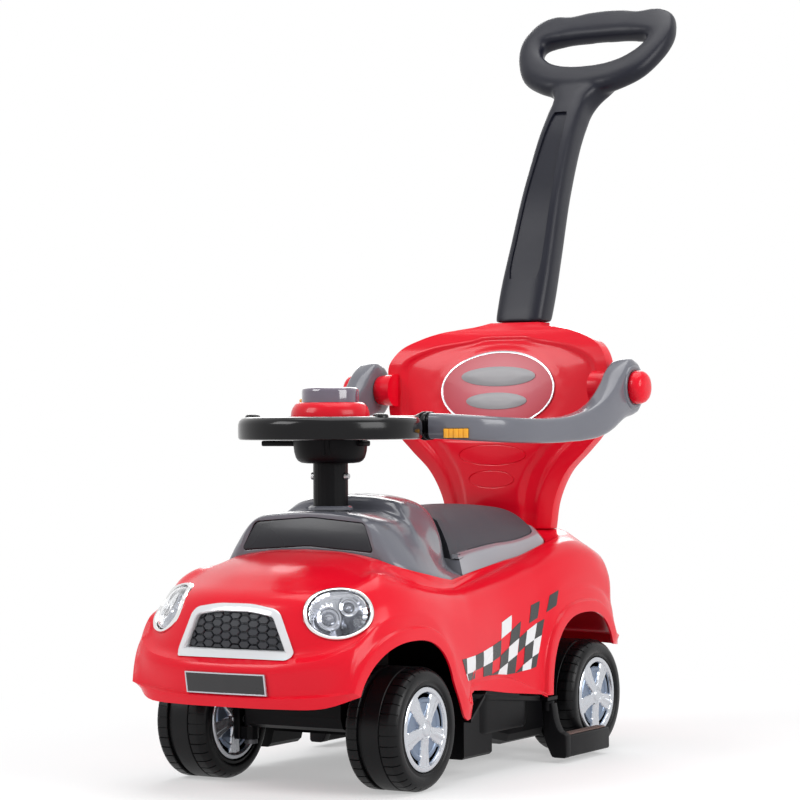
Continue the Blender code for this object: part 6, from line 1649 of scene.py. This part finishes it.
def make_seat():
    """Glossy lid band and the matte seat pad in it."""
    lid = skinned("lid", [
        lid_loop(0.0, -0.0092), lid_loop(0.0, -0.0006), lid_loop(0.0006, 0.001),
        lid_loop(0.003, band(0.32)), lid_loop(0.006, band(0.62)), lid_loop(0.0092, band(0.86)),
        lid_loop(0.0118, band(0.97)), lid_loop(0.0138, band_rise),
        lid_loop(0.0149, band(1, -0.0004)), lid_loop(0.0155, band(1, -0.002)),
        lid_loop(0.0155, -0.0092)], loop=True)
    # A paler copy of the trim grey for the seat band: painted light on the band.
    material = finish("lid_grey", (0.255, 0.26, 0.29), 0.16, 0.26, grain=300.0, bump=0.03,
                      coat=0.5, coat_roughness=0.05)
    hand_in(lid, "seat_band", "car", material, "seat_lid", 40)
    rings = [lid_loop(0.0161, -0.006), lid_loop(0.0161, band(1, -0.003)),
             lid_loop(0.0161, band(1, -0.001)), lid_loop(0.0168, band(1, 0.0004))]
    base = [p.lerp(q, 1 - ease(p.y - AXLE_Y, 0.17, 0.218)) for p, q in
            zip(lid_loop(0.0161, band_rise), lid_loop(0.006, band(0.62, 0.0014)))]
    rings.append([p + Vector((0, 0, 0.0006)) for p in base])
    front_y = min(p.y for p in base)
    rib = on_body(COWL_RIBS[-1])

    def behind_cowl(x):
        for a, b in zip(rib, rib[1:]):
            if min(a.x, b.x) <= x <= max(a.x, b.x) and a.x != b.x:
                return a.z + (b.z - a.z) * (x - a.x) / (b.x - a.x)
        return rib[0].z if x > rib[0].x else rib[-1].z
    for u in (0.985, 0.97, 0.945, 0.91, 0.87, 0.82, 0.76, 0.69, 0.61, 0.52, 0.42, 0.31, 0.20,
              0.08):
        ring = []
        for p in base:
            spine = Vector((0, min(max(p.y, 0.268 + AXLE_Y), 0.395 + AXLE_Y), 0))
            flat = spine.lerp(Vector((p.x, p.y, 0)), u)
            t = lid_share(flat.y)
            top = 0.299 - 0.002 * (1 - t) - 0.01 * max(0.0, t - 0.55) ** 1.5 / 0.3
            share = 1 - u ** 3
            if p.y < spine.y:
                wide = max(half_width(base, flat.y), abs(flat.x), 0.01)
                share = 1 - (abs(flat.x) / wide) ** 3
            height = p.z + (top - p.z) * share
            back = ease(flat.y - front_y, 0.0, 0.075)
            if p.y < spine.y and back < 1:
                front = max(p.z, min(behind_cowl(abs(flat.x)) - 0.0012, 0.3))
                height = front + (height - front) * back
            ring.append(Vector((flat.x, flat.y, height)))
        rings.append(ring)
    hand_in(skinned("pad", rings), "seat_cushion", "car", seat_grey(),
            "seat_pad", 50)


STEP_INNER, STEP_OUTER, STEP_LOW, STEP_HIGH = 0.158, 0.176, 0.006, 0.032
STEP_LENGTH = 0.108
HINGE_X, HINGE_Y = 0.15, 0.288
LUG_LOW, LUG_HIGH = 72.6, 76.6


def make_steps():
    """Folding side steps: swept bracket, shelf and a ribbed strip on each."""
    inner, outer = STEP_INNER - HINGE_X, STEP_OUTER - HINGE_X
    for side, label in SIDES:
        hinge = Vector((side * HINGE_X, HINGE_Y + AXLE_Y, 0))
        top = LUG_LOW - 0.6
        step = spun("boss", [(0, 60), (7.2, 60), (7.2, top - 0.8), (6.4, top), (3, top),
                             (3, LUG_HIGH), (0, LUG_HIGH + 0.4)], 40, centre=hinge)
        facing = Matrix(((side, 0, 0, 0), (0, 0, 1, 0), (0, 1, 0, 0), (0, 0, 0, 1)))

        def edge(*points):
            return [p.to_2d() for p in spline([(x, z, 0) for x, z in points], 20)]
        outline = edge((-0.004, 0.069), (-0.0046, 0.056), (-0.004, 0.04), (-0.0015, 0.025),
                       (inner - 0.004, 0.013), (inner - 0.001, STEP_LOW + 0.0012),
                       (inner + 0.003, STEP_LOW))
        outline += [Vector((outer - 0.002, STEP_LOW)), Vector((outer, STEP_LOW + 0.003))]
        outline += edge((outer, STEP_HIGH), (outer - 0.003, STEP_HIGH + 0.0022),
                        (outer - 0.0085, STEP_HIGH + 0.005), (0.0135, 0.044), (0.011, 0.052),
                        (0.0095, 0.061), (0.0082, 0.069))
        drop = plate("drop", outline, 0.013,
                     Matrix.Translation((hinge.x, hinge.y + 0.0008, 0)) @ facing)
        round_edges(drop, 0.0014, 50)
        cut(step, drop, 'UNION')
        low, high, far = STEP_LOW + 0.0004, STEP_HIGH, outer - 0.0004
        corners = [(inner, low), (far, low), (far, high - 0.0004), (inner, high - 0.0004)]
        shelf = plate(
            "shelf", rounded_outline(corners, 0.0026, 4), STEP_LENGTH - 0.001,
            Matrix.Translation((hinge.x, hinge.y + 0.0006 + STEP_LENGTH / 2, 0)) @ facing)
        round_edges(shelf, 0.0016, 60)
        cut(step, shelf, 'UNION')
        hand_in(step, "side_step_" + label, "step_" + label, black(),
                "footrest_" + label, 40)
        low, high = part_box("footrest_tread_" + label)
        ribs = [slab("strip", low, (high[0], high[1], high[2] - 0.0007), 0.0003, 1)]
        count = 16
        for k in range(count):
            y = low[1] + (high[1] - low[1]) * (k + 0.5) / count
            ribs.append(slab("rib", (low[0] + 0.0006, y - 0.0018, low[2] + 0.0006),
                             (high[0] - 0.0006, y + 0.0018, high[2]), 0.0005, 2))
        hand_in(unify(ribs), "grip_strip_" + label, "step_" + label, grip_brown(),
                "footrest_tread_" + label)


# Ribs of the cowl above its foot in mm: half width, distance behind the front axle and height
COWL_RIBS = [
    [(86.5, 4.5, 262.5), (80, 7.5, 279), (66, 10, 290.5), (30, 12, 295.5), (0, 12.5, 296.5)],
    [(96, 11, 262), (82.5, 13, 281.5), (66, 15, 292.5), (30, 16.5, 297), (0, 17, 298)],
    [(102, 20, 260), (84, 23, 283.5), (62, 24, 294.5), (30, 25, 297.5), (0, 25, 298.3)],
    [(104, 40, 262), (85, 40, 285), (58, 40, 295.5), (30, 40, 297.5), (0, 40, 298.4)],
    [(105.5, 70, 256), (87.5, 75, 282.5), (60, 79, 296.5), (32, 81.5, 298.4), (0, 81.5, 298.4)],
    [(105.8, 78, 254), (89, 81, 284), (64, 84, 301.5), (34, 85.5, 306.5), (0, 86, 308)],
    [(106, 86, 252), (89.5, 88, 281.5), (67, 90, 304), (36, 92, 310.5), (0, 92, 312.5)],
    [(100, 118, 245), (87, 118, 276), (69, 120, 303), (37, 120, 312.8), (0, 120, 315.8)],
    [(93, 148, 238), (83.5, 152, 269), (66.5, 154, 296), (36, 157, 307.5), (0, 158, 310.3)],
    [(90, 157, 235), (78, 165, 262), (62, 170, 286), (34, 174, 297), (0, 175, 300)],
]
COWL_FEET = [0.005, 0.01, 0.018, 0.04, 0.068, 0.077, 0.085, 0.115, 0.147, 0.1545]


def windscreen_place(lift):
    """Frame of the windscreen: leaning back, its foot on the rim of the bonnet."""
    lean = radians(13)
    foot = Vector((0, AXLE_Y + 0.0048, 0.2525))
    out = Vector((0, -cos(lean), sin(lean)))
    frame_at = Matrix((Vector((1, 0, 0)), Vector((0, sin(lean), cos(lean))), out))
    return Matrix.Translation(foot + out * lift) @ frame_at.transposed().to_4x4()


def make_cowl():
    """Grey cowl with its hump, the windscreen panel and the collar round the column."""
    halves = []
    for y, rib in zip(COWL_FEET, COWL_RIBS):
        x, z = rim_at(y)
        foot = Vector((x - 0.0007, y + AXLE_Y, z))
        halves.append([foot + Vector((0, 0, -0.0092))] + spline([foot] + on_body(rib), 30))
    columns = [through(column, 3, breaks=(3, 5)) for column in zip(*halves)]
    halves = [list(row) for row in zip(*columns)]
    rows = [[Vector((-p.x, p.y, p.z)) for p in half] + half[-2::-1] for half in halves]
    low, rim = [], []
    for p in rows[0]:
        reach = min(abs(p.x), abs(rows[0][0].x))
        y = AXLE_Y + 0.0062 - 0.0012 * (reach / 0.09) ** 2
        z = 0.2585 - 0.0095 * (p.x / 0.0923) ** 2
        low.append(Vector((p.x, y, z - 0.0092)))
        rim.append(Vector((p.x, y, z)))
    back = [Vector((q.x, q.y, 0.212)) for q in rows[-1]]
    for line, row in ((low, rows[0]), (rim, rows[0]), (back, rows[-1])):
        line[0], line[-1] = row[0], row[-1]
    for i, corner in ((1, 0), (-2, -1)):
        back[i] = rows[-1][corner].lerp(back[i + (1 if i > 0 else -1)], 0.3)
        back[i].z = rows[-1][corner].z
    cowl = skinned("cowl_moulding", [low, rim] + rows + [back], around=False, caps=False)
    if sum(polygon.normal.z for polygon in cowl.data.polygons) < 0:
        cowl.data.flip_normals()
    modify(cowl, 'SOLIDIFY', thickness=0.0022, offset=-1.0)
    cut(cowl, spun("column_hole", [(0, 270), (20.7, 270), (20.7, 340), (0, 340)], 64,
                   centre=(0, COLUMN_Y, 0)))
    corners = [(-0.0855, 0.0022), (0, 0.0082), (0.0855, 0.0022), (0.0715, 0.0345), (0, 0.0405),
               (-0.0715, 0.0345)]
    radii = [0.003, 0.10, 0.003, 0.009, 0.10, 0.009]
    cut(cowl, plate("opening", rounded_outline(offset_outline(corners, 0.0004), radii, 8), 0.03,
                    windscreen_place(0.0)))
    round_edges(cowl, 0.0006, 55, 2)
    hand_in(cowl, "cowl_moulding", "car", trim_grey(), "cowl_cover", 38)
    screen = plate("screen", rounded_outline(corners, radii, 8), 0.0052, windscreen_place(-0.001))
    round_edges(screen, 0.0011, 40)
    hand_in(screen, "windscreen_moulding", "car", screen_black(), "windscreen_panel")
    carried(trim_grey(), "column_collar")


def make_chassis():
    """Underside, linkage and axles keep their CAD shape and get their full finishes."""
    carried(black(), "chassis", "steering_knuckle_left", "steering_knuckle_right",
            "steering_column")
    carried(dark_steel(), "kingpin_left", "kingpin_right")
    carried(steel(), "stub_axle_left", "stub_axle_right", "tie_rod", "rear_axle", "column_bolt")
    wall = slab("seat_bulkhead", (-0.112, -0.032, 0.095), (0.112, -0.029, 0.213), 0.0008, 2)
    hand_in(wall, "seat_bulkhead", "car", black(), angle=40)
    for side, label in SIDES:
        tub = []
        for low, high, radii, bands in (
                (Vector((0.1, -0.186)), Vector((0.1462, -0.05)), [0.002, 0.03, 0.022, 0.002],
                 ((0.046, 0.0055), (0.0465, 0.002), (0.0495, 0), (None, 0))),
                (Vector((0.1, -0.19)), Vector((0.1486, -0.034)), [0.002, 0.034, 0.004, 0.002],
                 ((-0.0078, 0), (-0.007, -0.0007), (-0.002, -0.0007), (-0.0012, 0),
                  (-0.0012, 0.004)))):
            corners = [low, (high.x, low.y), high, (low.x, high.y)]
            for z, inset in bands:
                ring = []
                for p in rounded_outline(offset_outline(corners, -inset), radii, 10):
                    # heights below 0 and the wall's top are taken from the sill's hem
                    hem = 0.0968 - 0.104 * (p.y + 0.197)
                    height = hem - 0.0079 if z is None else hem + z if z < 0 else z
                    ring.append(Vector((side * p.x, p.y, height)))
                tub.append(ring)
        hand_in(skinned("side_skirt", tub), "side_skirt_" + label, "car",
                black(), angle=40)


# Stage

CAMERA_PLACE = Vector((1.62142, -2.82269, 0.4009))
CAMERA_TURN, CAMERA_PITCH, CAMERA_ROLL = 0.536845, -0.0066663, -0.0061976


def make_camera():
    th, ph, ro = CAMERA_TURN, CAMERA_PITCH, CAMERA_ROLL
    view = Vector((-sin(th) * cos(ph), cos(th) * cos(ph), -sin(ph)))
    right = Vector((cos(th), sin(th), 0))
    above = right.cross(view)
    level = right * cos(ro) + above * sin(ro)
    upright = above * cos(ro) - right * sin(ro)
    data = bpy.data.cameras.new("photo_camera")
    data.lens = 122.3
    data.sensor_width = 36.0
    data.clip_end = 60.0
    camera = bpy.data.objects.new("photo_camera", data)
    bpy.context.scene.collection.objects.link(camera)
    turn = Matrix((level, upright, -view)).transposed().to_4x4()
    camera.matrix_world = Matrix.Translation(CAMERA_PLACE) @ turn
    bpy.context.scene.camera = camera


def soft_light(name, place, target, width, height, power, colour=(1, 1, 1)):
    data = bpy.data.lights.new(name, 'AREA')
    data.shape = 'RECTANGLE'
    data.size, data.size_y = width, height
    data.energy = power
    data.color = colour
    light = bpy.data.objects.new(name, data)
    bpy.context.scene.collection.objects.link(light)
    light.location = place
    light.rotation_euler = (Vector(target) - Vector(place)).to_track_quat('-Z', 'Y').to_euler()
    return light


def seen_by(nodes, links, rays):
    """1 for the camera and for what metal and glass show, 0 for light on the car."""
    source, output = rays, "Is Camera Ray"
    for name in ("Is Glossy Ray", "Is Transmission Ray"):
        either = add(nodes, 'Math', operation='MAXIMUM')
        join(links, (source, output, either, 0), (rays, name, either, 1))
        source, output = either, "Value"
    return source


def floor_material():
    """Pale floor that takes the shadow near the car and fades to plain white further out."""
    material, nodes, links, _ = blank_material("studio_floor")
    nodes.clear()
    end = add(nodes, 'OutputMaterial')
    near = add(nodes, 'BsdfDiffuse', {"Color": (0.90, 0.90, 0.90, 1.0)})
    far = add(nodes, 'Emission', {"Color": (1.0, 1.0, 1.0, 1.0), "Strength": 1.0})
    place = add(nodes, 'TexCoord')
    scale = add(nodes, 'Mapping', {"Scale": (1 / 0.95, 1 / 1.05, 0.0)})
    reach = add(nodes, 'VectorMath', operation='LENGTH')
    fade = add(nodes, 'MapRange', {"From Min": 0.30, "From Max": 0.95, "To Min": 0.42},
               interpolation_type='SMOOTHSTEP')
    rays = add(nodes, 'LightPath')
    share = add(nodes, 'Math', operation='MULTIPLY')
    mix = add(nodes, 'MixShader')
    join(links, (place, "Object", scale, "Vector"), (scale, "Vector", reach, 0),
         (reach, "Value", fade, "Value"), (fade, "Result", share, 0),
         (seen_by(nodes, links, rays), "Value", share, 1), (share, "Value", mix, "Fac"),
         (near, "BSDF", mix, 1), (far, "Emission", mix, 2), (mix, "Shader", end, "Surface"))
    return material


def make_world():
    """Soft fill on the car, plain white wherever the background shows."""
    world = bpy.data.worlds.new("studio_world")
    bpy.context.scene.world = world
    world.use_nodes = True
    nodes, links = world.node_tree.nodes, world.node_tree.links
    nodes.clear()
    end = add(nodes, 'OutputWorld')
    fill = add(nodes, 'Background', {"Color": (0.93, 0.96, 1.0, 1.0), "Strength": 0.27})
    white = add(nodes, 'Background', {"Color": (1.0, 1.0, 1.0, 1.0), "Strength": 1.0})
    rays = add(nodes, 'LightPath')
    mix = add(nodes, 'MixShader')
    join(links, (seen_by(nodes, links, rays), "Value", mix, "Fac"), (fill, "Background", mix, 1),
         (white, "Background", mix, 2), (mix, "Shader", end, "Surface"))


def make_stage():
    """Floor, lights, world and the camera at the photograph's angle."""
    deselect()
    bpy.ops.mesh.primitive_plane_add(size=40.0, location=(0, 0, 0))
    floor = bpy.context.object
    floor.name = "studio_floor"
    floor.data.materials.append(floor_material())
    make_world()
    make_camera()
    soft_light("key_box", (-1.6, -2.6, 2.3), (0, 0, 0.3), 1.6, 1.6, 62.0)
    soft_light("side_box", (2.9, -0.4, 1.5), (0, 0, 0.25), 1.8, 1.6, 58.0)
    soft_light("top_box", (0.2, 0.3, 3.0), (0, 0, 0), 2.4, 2.4, 48.0)
    soft_light("back_box", (-1.4, 2.4, 1.6), (0, 0, 0.4), 1.4, 1.4, 26.0)
    bpy.context.scene.view_settings.view_transform = 'Standard'


class PUSHCAR_OT_stage(bpy.types.Operator):
    """Make the floor, the lights and the camera"""
    bl_idname = "pushcar.stage"
    bl_label = "Studio stage"

    def execute(self, context):
        make_stage()
        return {'FINISHED'}


class PUSHCAR_OT_body(bpy.types.Operator):
    """Make the body shell with its lamp and grille openings"""
    bl_idname = "pushcar.body"
    bl_label = "Body shell"

    def execute(self, context):
        make_body()
        return {'FINISHED'}


class PUSHCAR_OT_chequers(bpy.types.Operator):
    """Lay the chequer foils on the body's sides"""
    bl_idname = "pushcar.chequers"
    bl_label = "Chequer foils"

    def execute(self, context):
        make_chequers()
        return {'FINISHED'}


class PUSHCAR_OT_headlights(bpy.types.Operator):
    """Make the bezels, lenses, reflectors and lamps"""
    bl_idname = "pushcar.headlights"
    bl_label = "Headlights"

    def execute(self, context):
        make_headlights()
        return {'FINISHED'}


class PUSHCAR_OT_grille(bpy.types.Operator):
    """Make the grille's frame and its panel of hexagons"""
    bl_idname = "pushcar.grille"
    bl_label = "Grille"

    def execute(self, context):
        make_grille()
        return {'FINISHED'}


class PUSHCAR_OT_plate(bpy.types.Operator):
    """Make the bare plate and its border"""
    bl_idname = "pushcar.plate"
    bl_label = "Plate"

    def execute(self, context):
        make_plate()
        return {'FINISHED'}


class PUSHCAR_OT_cowl(bpy.types.Operator):
    """Make the cowl, windscreen panel and collar"""
    bl_idname = "pushcar.cowl"
    bl_label = "Cowl"

    def execute(self, context):
        make_cowl()
        return {'FINISHED'}


class PUSHCAR_OT_seat(bpy.types.Operator):
    """Make the seat band and the seat pad"""
    bl_idname = "pushcar.seat"
    bl_label = "Seat"

    def execute(self, context):
        make_seat()
        return {'FINISHED'}


class PUSHCAR_OT_tyres(bpy.types.Operator):
    """Make the four tyres with their tread"""
    bl_idname = "pushcar.tyres"
    bl_label = "Tyres"

    def execute(self, context):
        make_tyres()
        return {'FINISHED'}


class PUSHCAR_OT_covers(bpy.types.Operator):
    """Make the spoked wheel covers"""
    bl_idname = "pushcar.covers"
    bl_label = "Wheel covers"

    def execute(self, context):
        make_covers()
        return {'FINISHED'}


class PUSHCAR_OT_steering(bpy.types.Operator):
    """Make the steering wheel, hub, horn and key"""
    bl_idname = "pushcar.steering"
    bl_label = "Steering wheel"

    def execute(self, context):
        make_steering()
        return {'FINISHED'}


class PUSHCAR_OT_guard(bpy.types.Operator):
    """Make the guard arms, keys, caps and front bar"""
    bl_idname = "pushcar.guard"
    bl_label = "Guard"

    def execute(self, context):
        make_guard()
        return {'FINISHED'}


class PUSHCAR_OT_backrest(bpy.types.Operator):
    """Make the backrest and its badge"""
    bl_idname = "pushcar.backrest"
    bl_label = "Backrest"

    def execute(self, context):
        make_backrest()
        return {'FINISHED'}


class PUSHCAR_OT_handle(bpy.types.Operator):
    """Make the push handle with its grip loop"""
    bl_idname = "pushcar.handle"
    bl_label = "Push handle"

    def execute(self, context):
        make_handle()
        return {'FINISHED'}


class PUSHCAR_OT_steps(bpy.types.Operator):
    """Make the folding side steps and their strips"""
    bl_idname = "pushcar.steps"
    bl_label = "Side steps"

    def execute(self, context):
        make_steps()
        return {'FINISHED'}


class PUSHCAR_OT_chassis(bpy.types.Operator):
    """Give the underside and the linkage their finishes"""
    bl_idname = "pushcar.chassis"
    bl_label = "Chassis"

    def execute(self, context):
        make_chassis()
        return {'FINISHED'}


STEPS = [PUSHCAR_OT_stage, PUSHCAR_OT_body, PUSHCAR_OT_chequers, PUSHCAR_OT_headlights,
         PUSHCAR_OT_grille, PUSHCAR_OT_plate, PUSHCAR_OT_cowl, PUSHCAR_OT_seat,
         PUSHCAR_OT_tyres, PUSHCAR_OT_covers, PUSHCAR_OT_steering, PUSHCAR_OT_guard,
         PUSHCAR_OT_backrest, PUSHCAR_OT_handle, PUSHCAR_OT_steps, PUSHCAR_OT_chassis]


class PUSHCAR_PT_panel(bpy.types.Panel):
    """Lists the car's pieces and their sizes and colours"""
    bl_idname = "PUSHCAR_PT_panel"
    bl_label = "Push car"
    bl_space_type = 'VIEW_3D'
    bl_region_type = 'UI'
    bl_category = "Push car"

    def draw(self, context):
        for operator in STEPS:
            self.layout.operator(operator.bl_idname)
        for group in (context.scene.push_car_sizes, context.scene.push_car_colours):
            for key in group.bl_rna.properties.keys():
                if key not in ("rna_type", "name"):
                    self.layout.prop(group, key)


CLASSES = [PushCarSizes, PushCarColours, *STEPS, PUSHCAR_PT_panel]


def register():
    for item in CLASSES:
        bpy.utils.register_class(item)
    bpy.types.Scene.push_car_sizes = bpy.props.PointerProperty(type=PushCarSizes)
    bpy.types.Scene.push_car_colours = bpy.props.PointerProperty(type=PushCarColours)


def unregister():
    del bpy.types.Scene.push_car_colours
    del bpy.types.Scene.push_car_sizes
    for item in reversed(CLASSES):
        bpy.utils.unregister_class(item)


def main():
    register()
    for operator in STEPS:
        group, name = operator.bl_idname.split(".")
        getattr(getattr(bpy.ops, group), name)()
    deselect()


if __name__ == "__main__":
    main()
